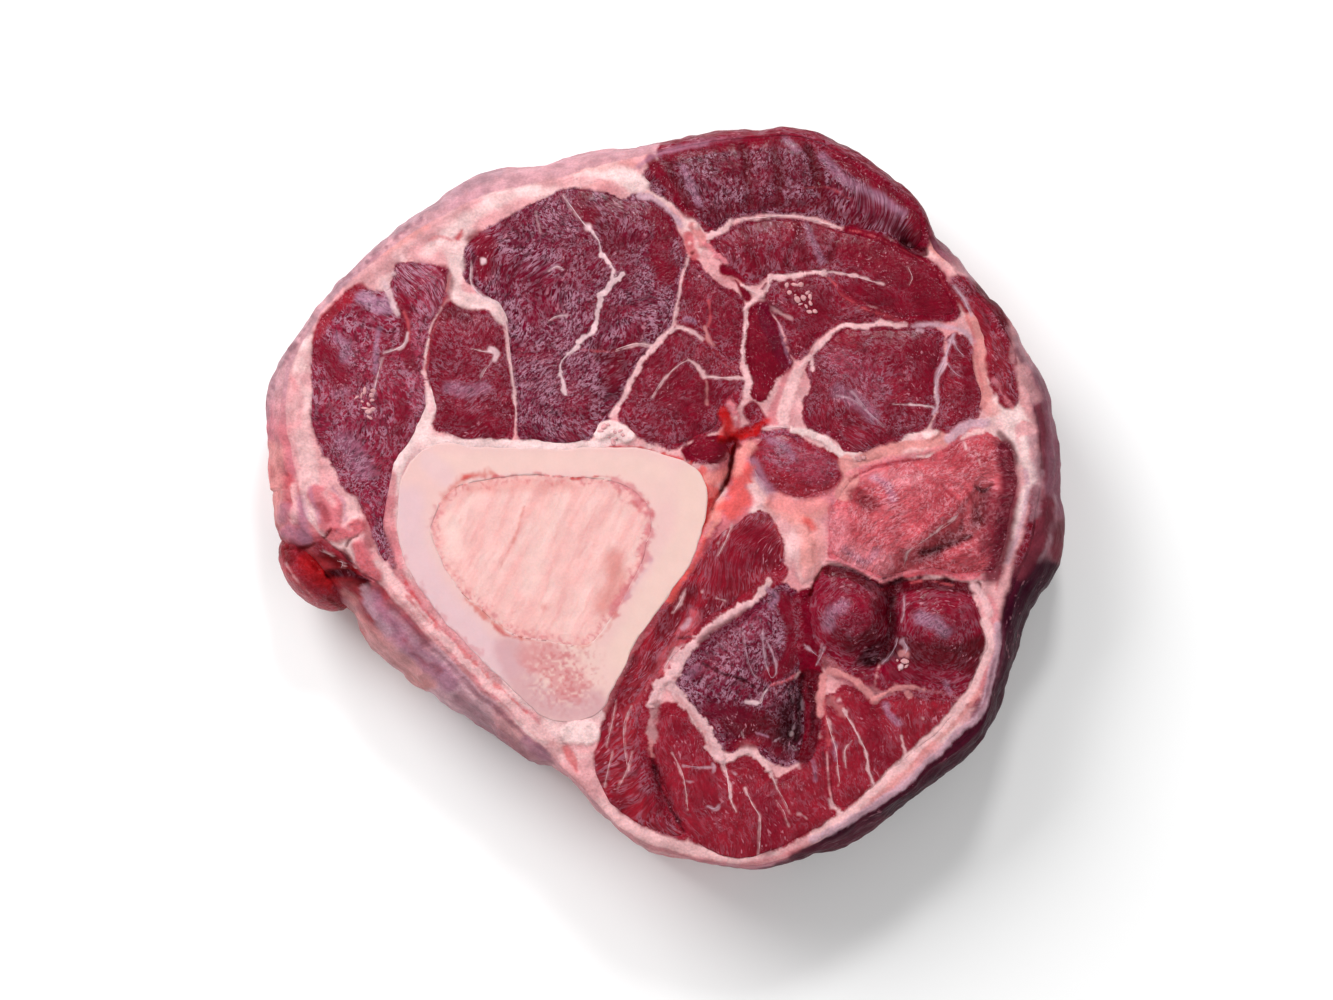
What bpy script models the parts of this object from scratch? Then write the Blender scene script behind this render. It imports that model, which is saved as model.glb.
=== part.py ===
"""A slice of raw beef shank, cut across the upper shin and lying on its lower cut face.

Seen from above, the slice shows a three-cornered shin bone with its marrow, and the muscles
round it, each wrapped in pale connective tissue. The muscles, the bone and the marrow run
through the slice from face to face. One body of fat and connective tissue holds them all and
makes the rounded outer wall. X runs to the right of the cut face, Y up it, and Z out of it.
"""

import math
from dataclasses import dataclass

import bmesh
import bpy
import numpy as np
from mathutils import Vector
from mathutils.geometry import delaunay_2d_cdt

MM = 0.001

# Driving dimensions, in millimetres
THICKNESS = 30.0
PICTURE_SPAN = 266.6
PLACE_STEP = 0.5
SEAM_GAP = 0.3
OUTLINE_STEP = 2.6
FACE_STEP = 4.2
WALL_SPOKES = 156
CROWN_RUN = 7.0
MARROW_SINK = 0.4

# The wall under the rim of the cut face: depth under the face in millimetres, and how far the
# wall has moved out from the rim outline to the belly outline there
WALL_STEPS = ((1.0, 0.3), (3.5, 0.62), (8.0, 0.9), (14.0, 1.0), (21.0, 1.0))
FOOT_INSET = 0.985
FOOT_EDGE_INSET = 0.97
FOOT_EDGE_RISE = 2.0

# The picture in which the outlines are picked. Its middle row spans PICTURE_SPAN of the cut face,
# and it is taken from nearly overhead, with the eye this many degrees over the table.
PICTURE_WIDTH = 1333
PICTURE_MIDDLE = (666.5, 500.0)
LENS = 85.0
SENSOR_WIDTH = 36.0
EYE_ELEVATION_DEG = 84.0

# Place of the slice's own middle on the cut face, from the picture's middle, in millimetres
SLICE_MIDDLE = (-0.2, 2.6)
BELLY_DEPTH = 14.0

# Outlines as picked in the picture, in its pixels, each a closed curve through its points

# Edge of the upper cut face
RIM = (
    (640, 156), (600, 166), (560, 177), (520, 187), (480, 198), (450, 212), (420, 228), (400, 241),
    (380, 256), (360, 272), (343, 287), (328, 303), (314, 321), (302, 342), (294, 362), (288, 382),
    (286, 405), (288, 430), (292, 455), (298, 480), (303, 503), (312, 524), (330, 540), (350, 555),
    (368, 572), (385, 590), (405, 610), (432, 638), (460, 666), (482, 690), (505, 711), (530, 734),
    (550, 752), (566, 772), (582, 788), (600, 806), (618, 825), (645, 842), (680, 854), (715, 862),
    (745, 865), (764, 864), (785, 857), (815, 843), (840, 827), (870, 808), (900, 792), (925, 772),
    (950, 750), (972, 729), (985, 710), (991, 685), (998, 655), (1003, 625), (1008, 598),
    (1020, 568), (1030, 540), (1036, 510), (1040, 480), (1041, 450), (1038, 420), (1032, 392),
    (1022, 366), (1011, 342), (998, 320), (984, 303), (968, 287), (950, 265), (934, 247),
    (927, 232), (922, 212), (908, 195), (890, 182), (870, 170), (852, 157), (835, 150), (818, 141),
    (800, 135), (770, 135), (735, 138), (700, 143), (670, 147),
)

# Widest outline of the wall, BELLY_DEPTH under the cut face
BELLY = (
    (267, 420), (272, 390), (283, 358), (300, 332), (320, 305), (342, 283), (360, 265), (380, 244),
    (408, 220), (440, 200), (475, 178), (520, 169), (560, 163), (600, 154), (640, 149), (690, 139),
    (740, 134), (790, 129), (815, 135), (850, 151), (880, 175), (908, 196), (924, 215), (932, 238),
    (950, 253), (971, 277), (990, 301), (1010, 326), (1024, 352), (1042, 380), (1054, 417),
    (1062, 462), (1065, 500), (1064, 545), (1050, 583), (1030, 614), (1017, 648), (1004, 688),
    (995, 720), (976, 748), (950, 771), (915, 800), (880, 825), (845, 846), (808, 857), (765, 868),
    (735, 868), (690, 859), (650, 851), (615, 829), (585, 794), (560, 773), (525, 760), (480, 727),
    (440, 700), (405, 676), (370, 646), (350, 609), (320, 592), (294, 568), (278, 535), (272, 500),
    (271, 460),
)

# Shin bone, a three-cornered ring with a long corner towards the viewer
BONE = (
    (397, 505), (400, 482), (410, 462), (425, 449), (447, 443), (480, 447), (520, 450), (560, 450),
    (600, 447), (640, 451), (670, 457), (693, 466), (704, 480), (707, 505), (704, 530), (694, 556),
    (679, 581), (660, 606), (641, 632), (626, 660), (613, 690), (600, 710), (582, 720), (560, 721),
    (543, 714), (523, 697), (498, 674), (470, 648), (445, 619), (421, 588), (406, 563), (398, 535),
)

# Marrow inside the bone
MARROW = (
    (433, 520), (440, 500), (456, 486), (480, 479), (520, 475), (560, 477), (600, 479), (625, 486),
    (644, 500), (650, 515), (648, 540), (640, 565), (628, 590), (615, 611), (603, 630), (592, 641),
    (570, 644), (545, 640), (520, 636), (500, 625), (480, 609), (462, 591), (447, 572), (438, 555),
    (433, 540),
)

# Muscles, clockwise from the left
OUTER_LEFT = (
    (398, 266), (420, 264), (438, 267), (446, 282), (442, 300), (433, 318), (425, 340), (420, 362),
    (422, 385), (427, 400), (422, 418), (410, 437), (399, 456), (391, 476), (385, 500), (383, 528),
    (386, 548), (388, 562), (380, 552), (370, 528), (360, 505), (346, 488), (336, 468), (322, 450),
    (315, 425), (312, 395), (312, 365), (315, 340), (322, 322), (336, 304), (350, 292), (366, 289),
    (385, 294), (393, 285),
)

FRONT_LEFT = (
    (446, 310), (458, 306), (470, 315), (484, 317), (496, 323), (502, 342), (505, 365), (508, 390),
    (511, 412), (512, 430), (500, 437), (478, 438), (455, 435), (441, 428), (435, 416), (437, 402),
    (431, 385), (428, 365), (431, 343), (438, 322),
)

MAIN_UPPER = (
    (467, 254), (471, 240), (485, 228), (502, 220), (522, 210), (545, 199), (560, 192), (577, 189),
    (600, 194), (622, 200), (645, 202), (658, 209), (669, 223), (679, 240), (682, 255), (679, 275),
    (673, 297), (667, 318), (660, 333), (648, 346), (636, 360), (625, 378), (617, 395), (608, 411),
    (598, 424), (592, 435), (577, 441), (555, 443), (533, 441), (524, 432), (520, 410), (516, 380),
    (513, 350), (510, 325), (503, 306), (486, 295), (473, 281), (467, 267),
)

DEEP_MIDDLE = (
    (694, 264), (702, 276), (716, 288), (730, 296), (740, 304), (740, 322), (738, 345), (734, 362),
    (722, 354), (710, 342), (698, 332), (686, 325), (678, 322), (680, 308), (685, 290), (689, 275),
)

DEEP_LOWER = (
    (665, 342), (676, 334), (690, 339), (702, 346), (714, 357), (727, 367), (738, 375), (738, 390),
    (728, 396), (720, 405), (718, 418), (712, 428), (697, 434), (684, 442), (668, 446), (650, 442),
    (636, 434), (626, 422), (622, 410), (629, 394), (639, 377), (650, 361), (658, 350),
)

TOP_OUTER = (
    (645, 176), (657, 162), (674, 154), (702, 150), (735, 145), (770, 142), (798, 142), (815, 148),
    (832, 157), (850, 164), (867, 177), (886, 189), (903, 201), (915, 215), (920, 232), (917, 246),
    (903, 240), (885, 234), (862, 228), (838, 221), (815, 215), (790, 211), (760, 212), (738, 214),
    (723, 221), (712, 228), (703, 222), (692, 211), (680, 201), (667, 192), (655, 186),
)

TOP_INNER = (
    (716, 244), (728, 235), (742, 226), (762, 222), (790, 221), (812, 224), (840, 231), (865, 238),
    (888, 245), (908, 254), (925, 266), (938, 280), (948, 296), (954, 311), (940, 315), (915, 314),
    (900, 313), (888, 308), (868, 304), (852, 296), (840, 284), (828, 272), (812, 269), (790, 271),
    (770, 271), (756, 280), (744, 277), (732, 266), (722, 255),
)

DEEP_RIGHT = (
    (772, 283), (790, 279), (812, 277), (824, 280), (836, 292), (850, 303), (866, 310), (877, 314),
    (864, 319), (846, 319), (832, 321), (819, 328), (808, 341), (798, 355), (793, 350), (787, 334),
    (780, 316), (771, 303), (767, 293),
)

DEEP_WEDGE = (
    (753, 311), (762, 308), (770, 318), (777, 335), (782, 351), (785, 363), (777, 374), (769, 387),
    (762, 398), (756, 392), (753, 375), (750, 350), (750, 328),
)

RIGHT_ROUND = (
    (812, 372), (818, 357), (828, 344), (842, 333), (858, 330), (880, 331), (903, 330), (924, 330),
    (936, 336), (938, 352), (934, 368), (928, 384), (930, 400), (930, 412), (922, 422), (908, 430),
    (890, 439), (872, 448), (856, 449), (842, 438), (824, 427), (810, 419), (806, 408), (809, 390),
)

RIGHT_CRESCENT = (
    (954, 338), (965, 343), (972, 358), (977, 378), (981, 396), (976, 412), (964, 421), (948, 427),
    (938, 428), (941, 416), (948, 404), (943, 392), (946, 376), (953, 362), (953, 350),
)

SMALL_OVAL = (
    (752, 463), (753, 450), (763, 439), (779, 436), (795, 440), (810, 449), (826, 458), (837, 467),
    (838, 478), (830, 487), (814, 493), (796, 496), (782, 493), (770, 485), (760, 475),
)

PALE_FLAP = (
    (836, 502), (846, 487), (860, 475), (882, 467), (906, 463), (930, 458), (950, 449), (963, 442),
    (976, 439), (990, 438), (1003, 444), (1012, 457), (1016, 476), (1014, 500), (1009, 525),
    (1003, 548), (996, 566), (988, 573), (972, 573), (955, 571), (935, 568), (915, 569), (897, 573),
    (880, 574), (862, 567), (844, 560), (833, 551), (829, 535), (831, 517),
)

RIGHT_OUTER = (
    (959, 294), (966, 297), (980, 310), (992, 329), (1006, 350), (1012, 375), (1014, 395),
    (1009, 404), (1002, 396), (996, 378), (990, 358), (983, 338), (975, 319), (966, 304),
)

BESIDE_BONE = (
    (736, 524), (747, 515), (762, 515), (774, 524), (781, 538), (782, 554), (776, 568), (762, 580),
    (742, 594), (720, 609), (700, 623), (683, 638), (669, 656), (656, 672), (645, 690), (640, 708),
    (638, 730), (641, 755), (647, 778), (657, 800), (670, 820), (682, 836), (662, 832), (640, 824),
    (622, 813), (608, 798), (597, 776), (594, 757), (599, 740), (605, 722), (612, 706), (621, 690),
    (629, 670), (641, 648), (656, 627), (674, 602), (690, 578), (705, 555), (716, 539), (725, 529),
)

DARK_CENTRE = (
    (702, 652), (722, 637), (746, 619), (766, 601), (779, 589), (788, 593), (795, 606), (798, 630),
    (799, 655), (799, 680), (803, 700), (804, 725), (801, 748), (791, 760), (777, 757), (765, 746),
    (750, 738), (735, 738), (722, 741), (711, 729), (702, 714), (694, 699), (689, 684), (689, 667),
)

DOME_LEFT = (
    (812, 604), (814, 590), (822, 576), (836, 571), (852, 574), (871, 583), (885, 590), (889, 606),
    (889, 628), (884, 645), (876, 660), (871, 677), (862, 676), (848, 667), (834, 659), (823, 651),
    (814, 640), (810, 622),
)

DOME_RIGHT = (
    (902, 600), (907, 591), (926, 587), (948, 588), (964, 594), (975, 605), (983, 620), (986, 640),
    (983, 658), (976, 675), (967, 692), (950, 688), (930, 682), (910, 679), (893, 680), (884, 684),
    (880, 679), (883, 665), (891, 650), (897, 635), (899, 616),
)

CORNER_SMALL = (
    (689, 450), (701, 442), (715, 439), (726, 443), (730, 452), (722, 461), (709, 463), (696, 457),
)

LOWER_RIGHT = (
    (829, 697), (838, 691), (850, 693), (861, 700), (873, 707), (892, 703), (915, 697), (938, 699),
    (958, 706), (948, 720), (930, 737), (910, 753), (891, 770), (870, 787), (851, 801), (839, 809),
    (835, 795), (833, 775), (829, 752), (826, 730), (826, 712),
)

BOTTOM = (
    (664, 718), (674, 714), (686, 725), (698, 741), (709, 756), (719, 768), (733, 767), (749, 768),
    (761, 779), (776, 786), (791, 779), (804, 768), (814, 755), (821, 745), (825, 762), (828, 782),
    (830, 800), (831, 815), (818, 826), (799, 837), (778, 847), (760, 855), (742, 857), (720, 853),
    (702, 845), (690, 832), (678, 815), (667, 796), (658, 774), (654, 752), (657, 732),
)


@dataclass(frozen=True)
class Muscle:
    """One muscle: its outline as picked, how far its cut face swells, and its colour."""

    outline: tuple
    crown: float
    colour: tuple


@dataclass(frozen=True)
class Landform:
    """A rounded hill, or a hollow where the height is below zero, on the cut face."""

    x: float
    y: float
    long_radius: float
    short_radius: float
    turn_deg: float
    height: float


@dataclass(frozen=True)
class Lobe:
    """An egg of meat that hangs out of the side wall: its middle, its half sizes and its turn."""

    middle: tuple
    half_long: float
    half_deep: float
    half_high: float
    turn_deg: float


# The torn end of a muscle, bedded in the wall at the lower left
SIDE_LOBE = Lobe((-71.5, -16.0, 14.5), 9.5, 5.6, 11.5, -47.0)
LOBE_SEGMENTS = 28
LOBE_RINGS = 16

# Colours as seen in daylight, from 0 to 255
PURPLE_RED = (104, 22, 42)
DEEP_RED = (92, 14, 32)
BROWN_RED = (132, 30, 44)
SALMON = (176, 70, 72)
FAT_PINK = (236, 204, 200)
BONE_CREAM = (236, 214, 204)
MARROW_PINK = (238, 196, 182)

MUSCLES = {
    "muscle_outer_left": Muscle(OUTER_LEFT, 0.9, PURPLE_RED),
    "muscle_front_left": Muscle(FRONT_LEFT, 0.7, BROWN_RED),
    "muscle_main_upper": Muscle(MAIN_UPPER, 0.8, PURPLE_RED),
    "muscle_deep_middle": Muscle(DEEP_MIDDLE, 0.5, DEEP_RED),
    "muscle_deep_lower": Muscle(DEEP_LOWER, 0.7, BROWN_RED),
    "muscle_corner_small": Muscle(CORNER_SMALL, 0.4, DEEP_RED),
    "muscle_top_outer": Muscle(TOP_OUTER, 0.8, DEEP_RED),
    "muscle_top_inner": Muscle(TOP_INNER, 0.8, DEEP_RED),
    "muscle_deep_right": Muscle(DEEP_RIGHT, 0.5, DEEP_RED),
    "muscle_deep_wedge": Muscle(DEEP_WEDGE, 0.4, DEEP_RED),
    "muscle_right_round": Muscle(RIGHT_ROUND, 0.9, PURPLE_RED),
    "muscle_right_crescent": Muscle(RIGHT_CRESCENT, 0.6, BROWN_RED),
    "muscle_right_outer": Muscle(RIGHT_OUTER, 0.5, BROWN_RED),
    "muscle_small_oval": Muscle(SMALL_OVAL, 1.0, BROWN_RED),
    "muscle_pale_flap": Muscle(PALE_FLAP, 2.2, SALMON),
    "muscle_beside_bone": Muscle(BESIDE_BONE, 0.6, BROWN_RED),
    "muscle_dark_centre": Muscle(DARK_CENTRE, 0.7, DEEP_RED),
    "muscle_dome_left": Muscle(DOME_LEFT, 1.0, DEEP_RED),
    "muscle_dome_right": Muscle(DOME_RIGHT, 1.0, DEEP_RED),
    "muscle_lower_right": Muscle(LOWER_RIGHT, 0.6, BROWN_RED),
    "muscle_bottom": Muscle(BOTTOM, 0.6, BROWN_RED),
}

# Domes where a muscle end bulges out, hollows where the tissue has drawn back, and folds
LANDFORMS = (
    Landform(37.0, -25.5, 5.4, 5.4, 0.0, 3.0),
    Landform(54.5, -27.0, 7.0, 5.2, -15.0, 2.8),
    Landform(42.0, -33.5, 4.5, 2.6, 20.0, -3.4),
    Landform(45.5, -22.5, 7.0, 2.0, 80.0, -3.0),
    Landform(26.5, -46.0, 9.0, 3.6, 80.0, -3.8),
    Landform(12.5, 2.5, 7.0, 2.2, 70.0, -4.2),
    Landform(15.0, 12.0, 3.5, 3.5, 0.0, -1.6),
    Landform(49.5, 49.5, 4.0, 2.0, -30.0, -2.6),
    Landform(28.0, -13.5, 5.0, 5.0, 0.0, 1.0),
    Landform(55.5, -11.5, 7.5, 2.0, 33.0, -2.6),
    Landform(63.0, -4.0, 6.5, 1.8, 78.0, -2.2),
    Landform(52.5, -8.0, 8.0, 2.4, 33.0, 1.2),
    Landform(-0.5, -60.5, 6.5, 1.4, 110.0, -1.8),
    Landform(14.0, -37.0, 8.0, 8.0, 0.0, 0.8),
    Landform(-70.0, 2.0, 9.0, 4.0, 100.0, -1.0),
    Landform(-20.5, -53.0, 4.0, 3.0, 0.0, -0.8),
)


def clear_scene():
    """Remove every object the scene starts with."""
    for item in list(bpy.data.objects):
        bpy.data.objects.remove(item, do_unlink=True)


def linear_channel(value):
    """Turn one colour channel, 0 to 255 as seen, into a linear one from 0 to 1."""
    share = value / 255.0
    if share <= 0.04045:
        return share / 12.92
    return ((share + 0.055) / 1.055) ** 2.4


def flesh_material(name, colour, roughness):
    """A plain moist material in one colour."""
    material = bpy.data.materials.new(name)
    material.use_nodes = True
    shader = material.node_tree.nodes["Principled BSDF"]
    shader.inputs["Base Color"].default_value = (*map(linear_channel, colour), 1.0)
    shader.inputs["Roughness"].default_value = roughness
    shader.inputs["Metallic"].default_value = 0.0
    return material


def picked_places(picks, depth=0.0):
    """Places in millimetres of points picked in the picture, on the level plane at a depth.

    The depth is measured down from the cut face. Places are kept to PLACE_STEP, because a point
    can't be picked more finely than that.
    """
    pixels = np.array(picks, float)
    focal = LENS / SENSOR_WIDTH * PICTURE_WIDTH
    distance = LENS / SENSOR_WIDTH * PICTURE_SPAN
    sine = math.sin(math.radians(EYE_ELEVATION_DEG))
    cosine = math.cos(math.radians(EYE_ELEVATION_DEG))
    rise = (PICTURE_MIDDLE[1] - pixels[:, 1]) / focal
    up = (rise * (distance + depth * sine) + depth * cosine) / (sine - rise * cosine)
    reach = distance + up * cosine + depth * sine
    across = (pixels[:, 0] - PICTURE_MIDDLE[0]) * reach / focal
    places = np.stack([across, up], axis=1) - SLICE_MIDDLE
    return np.round(places / PLACE_STEP) * PLACE_STEP


def smooth_curve(points, pieces=8):
    """A closed Catmull-Rom curve through the points, as a fine polygon."""
    p1 = points
    p0 = np.roll(p1, 1, axis=0)
    p2 = np.roll(p1, -1, axis=0)
    p3 = np.roll(p1, -2, axis=0)
    steps = []
    for t in np.arange(pieces) / pieces:
        steps.append(
            0.5
            * (
                2 * p1
                + (p2 - p0) * t
                + (2 * p0 - 5 * p1 + 4 * p2 - p3) * t**2
                + (3 * p1 - p0 - 3 * p2 + p3) * t**3
            )
        )
    return np.stack(steps, axis=1).reshape(-1, 2)


def signed_area(loop):
    """Area of a polygon, above zero where it runs counterclockwise."""
    following = np.roll(loop, -1, axis=0)
    return 0.5 * float(np.sum(loop[:, 0] * following[:, 1] - loop[:, 1] * following[:, 0]))


def even_loop(points, step):
    """The smooth curve through the points, counterclockwise, with even steps along it."""
    curve = smooth_curve(points)
    if signed_area(curve) < 0:
        curve = curve[::-1]
    closed = np.vstack([curve, curve[:1]])
    along = np.concatenate([[0.0], np.cumsum(np.linalg.norm(np.diff(closed, axis=0), axis=1))])
    count = max(8, round(along[-1] / step))
    stations = np.arange(count) * along[-1] / count
    return np.stack([np.interp(stations, along, closed[:, axis]) for axis in (0, 1)], axis=1)


def widened(loop, distance):
    """A counterclockwise loop moved out along its normals, or in where distance is below zero."""
    tangent = np.roll(loop, -1, axis=0) - np.roll(loop, 1, axis=0)
    tangent /= np.linalg.norm(tangent, axis=1, keepdims=True)
    outward = np.stack([tangent[:, 1], -tangent[:, 0]], axis=1)
    return loop + outward * distance


def spoke_loop(points, count):
    """Where evenly turned spokes from the middle cross the smooth curve through the points."""
    curve = smooth_curve(points)
    angles = np.arctan2(curve[:, 1], curve[:, 0]) % math.tau
    order = np.argsort(angles)
    reach = np.linalg.norm(curve, axis=1)
    spokes = np.arange(count) * math.tau / count
    radius = np.interp(spokes, angles[order], reach[order], period=math.tau)
    return np.stack([np.cos(spokes), np.sin(spokes)], axis=1) * radius[:, None]


def inside(points, loop):
    """Which points lie inside the loop."""
    x, y = points[:, 0, None], points[:, 1, None]
    start, end = loop, np.roll(loop, -1, axis=0)
    crosses = (start[:, 1] > y) != (end[:, 1] > y)
    rise = np.where(end[:, 1] == start[:, 1], 1e-12, end[:, 1] - start[:, 1])
    at_x = start[:, 0] + (y - start[:, 1]) * (end[:, 0] - start[:, 0]) / rise
    return np.count_nonzero(crosses & (x < at_x), axis=1) % 2 == 1


def distance_to(points, loop):
    """Shortest distance from each point to the loop."""
    start, run = loop, np.roll(loop, -1, axis=0) - loop
    offset = points[:, None] - start
    share = np.clip(np.sum(offset * run, axis=2) / np.sum(run * run, axis=1), 0.0, 1.0)
    return np.linalg.norm(offset - share[:, :, None] * run, axis=2).min(axis=1)


def inner_points(loops, step):
    """A staggered grid of points inside the first loop, clear of it and of the holes after it."""
    low, high = loops[0].min(axis=0), loops[0].max(axis=0)
    row_step = step * math.sqrt(3) / 2
    rows = []
    for row, y in enumerate(np.arange(low[1], high[1], row_step)):
        xs = np.arange(low[0] + (row % 2) * step / 2, high[0], step)
        rows.append(np.stack([xs, np.full_like(xs, y)], axis=1))
    grid = np.vstack(rows)
    keep = inside(grid, loops[0])
    for hole in loops[1:]:
        keep &= ~inside(grid, hole)
    for loop in loops:
        keep &= distance_to(grid, loop) > 0.6 * step
    return grid[keep]


def fill_face(loops, extra):
    """Triangles between the first loop and the holes after it, through the extra points too."""
    points = np.vstack([*loops, extra])
    edges = []
    first = 0
    for loop in loops:
        count = len(loop)
        edges += [(first + i, first + (i + 1) % count) for i in range(count)]
        first += count
    result = delaunay_2d_cdt([Vector(p) for p in points], edges, [], 0, 1e-7)
    if len(result[0]) != len(points):
        raise ValueError("two outline points fall on each other")
    triangles = np.array(result[2])
    middles = points[triangles].mean(axis=1)
    keep = inside(middles, loops[0])
    for hole in loops[1:]:
        keep &= ~inside(middles, hole)
    return points, triangles[keep]


def landform_height(points):
    """Height of all hills and hollows together at each point, in millimetres."""
    total = np.zeros(len(points))
    for form in LANDFORMS:
        turn = math.radians(form.turn_deg)
        dx, dy = points[:, 0] - form.x, points[:, 1] - form.y
        along = (dx * math.cos(turn) + dy * math.sin(turn)) / form.long_radius
        across = (dy * math.cos(turn) - dx * math.sin(turn)) / form.short_radius
        total += form.height * np.exp(-(along**2 + across**2))
    return total


def muscle_height(points, outline, crown):
    """Height of a muscle's cut face: highest in its middle, level with the tissue at its edge."""
    share = np.clip(distance_to(points, outline) / CROWN_RUN, 0.0, 1.0)
    return crown * (1.0 - (1.0 - share) ** 2) + landform_height(points)


def flat_height(sink):
    """A height rule for a sawn face that is flat, sunk by the given depth."""
    return lambda points: np.full(len(points), -sink)


def loft(name, loops, wall, height, material):
    """A closed solid from the table up to a cut face.

    loops holds the outline of the cut face and of its holes. wall holds (outline, z) pairs for
    the outer side from just under the cut face down to z 0, and height gives the face's relief.
    """
    body = bmesh.new()
    face_points, face_triangles = fill_face(loops, inner_points(loops, FACE_STEP))
    face_z = THICKNESS + height(face_points)
    face = [body.verts.new((*p, z)) for p, z in zip(face_points * MM, face_z * MM)]
    for triangle in face_triangles:
        body.faces.new([face[i] for i in triangle])

    foot_loops = [wall[-1][0], *loops[1:]]
    foot_points, foot_triangles = fill_face(foot_loops, np.empty((0, 2)))
    foot = [body.verts.new((*p, 0.0)) for p in foot_points * MM]
    for triangle in foot_triangles:
        body.faces.new([foot[i] for i in triangle])

    rings = [face[: len(loops[0])]]
    for outline, z in wall[:-1]:
        rings.append([body.verts.new((*p, z * MM)) for p in outline * MM])
    rings.append(foot[: len(loops[0])])
    bands = list(zip(rings, rings[1:]))
    first = len(loops[0])
    for hole in loops[1:]:
        last = first + len(hole)
        bands.append((face[first:last], foot[first:last]))
        first = last
    for upper, lower in bands:
        for i in range(len(upper)):
            j = (i + 1) % len(upper)
            body.faces.new((upper[i], lower[i], lower[j], upper[j]))

    bmesh.ops.triangulate(body, faces=[f for f in body.faces if len(f.verts) > 3])
    bmesh.ops.recalc_face_normals(body, faces=body.faces)
    mesh = bpy.data.meshes.new(name)
    body.to_mesh(mesh)
    body.free()
    mesh.materials.append(material)
    mesh.shade_smooth()
    mesh.set_sharp_from_angle(angle=math.radians(35.0))
    return bpy.data.objects.new(name, mesh)


def lobe_object(name, grow):
    """The side lobe as a closed egg, made larger on all sides by grow."""
    body = bmesh.new()
    bmesh.ops.create_uvsphere(body, u_segments=LOBE_SEGMENTS, v_segments=LOBE_RINGS, radius=1.0)
    half = Vector((SIDE_LOBE.half_long, SIDE_LOBE.half_deep, SIDE_LOBE.half_high))
    bmesh.ops.scale(body, verts=body.verts, vec=(half + Vector((grow, grow, grow))) * MM)
    mesh = bpy.data.meshes.new(name)
    body.to_mesh(mesh)
    body.free()
    mesh.shade_smooth()
    lobe = bpy.data.objects.new(name, mesh)
    lobe.location = Vector(SIDE_LOBE.middle) * MM
    lobe.rotation_euler.z = math.radians(SIDE_LOBE.turn_deg)
    return lobe


def outer_wall():
    """The (outline, z) pairs of the slice's rounded side, under the rim."""
    rim = spoke_loop(picked_places(RIM), WALL_SPOKES)
    belly = spoke_loop(picked_places(BELLY, BELLY_DEPTH), WALL_SPOKES)
    wall = []
    for depth, share in WALL_STEPS:
        wall.append((rim + (belly - rim) * share, THICKNESS - depth))
    wall.append((belly * FOOT_INSET, FOOT_EDGE_RISE))
    wall.append((belly * FOOT_EDGE_INSET, 0.0))
    return rim, wall


def build():
    """Make every piece of the slice in one collection."""
    clear_scene()
    collection = bpy.data.collections.new("raw_beef_shank")
    bpy.context.scene.collection.children.link(collection)

    bone_loop = even_loop(picked_places(BONE), OUTLINE_STEP)
    marrow_loop = even_loop(picked_places(MARROW), OUTLINE_STEP)
    half_gap = SEAM_GAP / 2
    pieces = []
    tissue_holes = [widened(bone_loop, half_gap)]

    for name, muscle in MUSCLES.items():
        loop = even_loop(picked_places(muscle.outline), OUTLINE_STEP)
        tissue_holes.append(widened(loop, half_gap))
        face = widened(loop, -half_gap)
        material = flesh_material(name, muscle.colour, 0.35)

        def height(points, outline=face, crown=muscle.crown):
            return muscle_height(points, outline, crown)

        pieces.append(loft(name, [face], [(face, 0.0)], height, material))

    bone_face = widened(bone_loop, -half_gap)
    bone_material = flesh_material("bone", BONE_CREAM, 0.5)
    bone_loops = [bone_face, widened(marrow_loop, half_gap)]
    pieces.append(loft("bone", bone_loops, [(bone_face, 0.0)], flat_height(0.0), bone_material))

    marrow_face = widened(marrow_loop, -half_gap)
    marrow_material = flesh_material("marrow", MARROW_PINK, 0.4)
    marrow_height = flat_height(MARROW_SINK)
    pieces.append(loft("marrow", [marrow_face], [(marrow_face, 0.0)], marrow_height, marrow_material))

    rim, wall = outer_wall()
    fat_material = flesh_material("fat_and_fascia", FAT_PINK, 0.4)
    fat_loops = [rim, *tissue_holes]
    tissue = loft("fat_and_fascia", fat_loops, wall, landform_height, fat_material)
    pieces.append(tissue)

    lobe = lobe_object("muscle_side_lobe", 0.0)
    lobe.data.materials.append(flesh_material("muscle_side_lobe", DEEP_RED, 0.25))
    pieces.append(lobe)
    for piece in pieces:
        collection.objects.link(piece)

    cutters = bpy.data.collections.new("cutters")
    bpy.context.scene.collection.children.link(cutters)
    bed = lobe_object("side_lobe_bed", SEAM_GAP)
    bed.hide_render = True
    bed.display_type = "WIRE"
    cutters.objects.link(bed)
    hollow = tissue.modifiers.new("side_lobe_bed", "BOOLEAN")
    hollow.operation = "DIFFERENCE"
    hollow.solver = "EXACT"
    hollow.object = bed


build()
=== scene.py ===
"""Raw beef shank: the finished look of the cut slice, fitted over the solids of the frame.

Every solid is replaced by a finer piece with the same outline. One cut face gives all pieces
their relief and their colours, so that the pieces meet without a step. Lengths are in
millimetres until a mesh is made, which is in metres. Strokes of pigment are picked in the
picture, in its pixels, and on_face turns them into places on the cut face.
"""

from __future__ import annotations

import logging
import math
from collections.abc import Callable, Sequence
from dataclasses import dataclass, field
from enum import Enum

import bpy
import numpy as np
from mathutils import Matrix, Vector, kdtree
from mathutils.geometry import delaunay_2d_cdt

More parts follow.
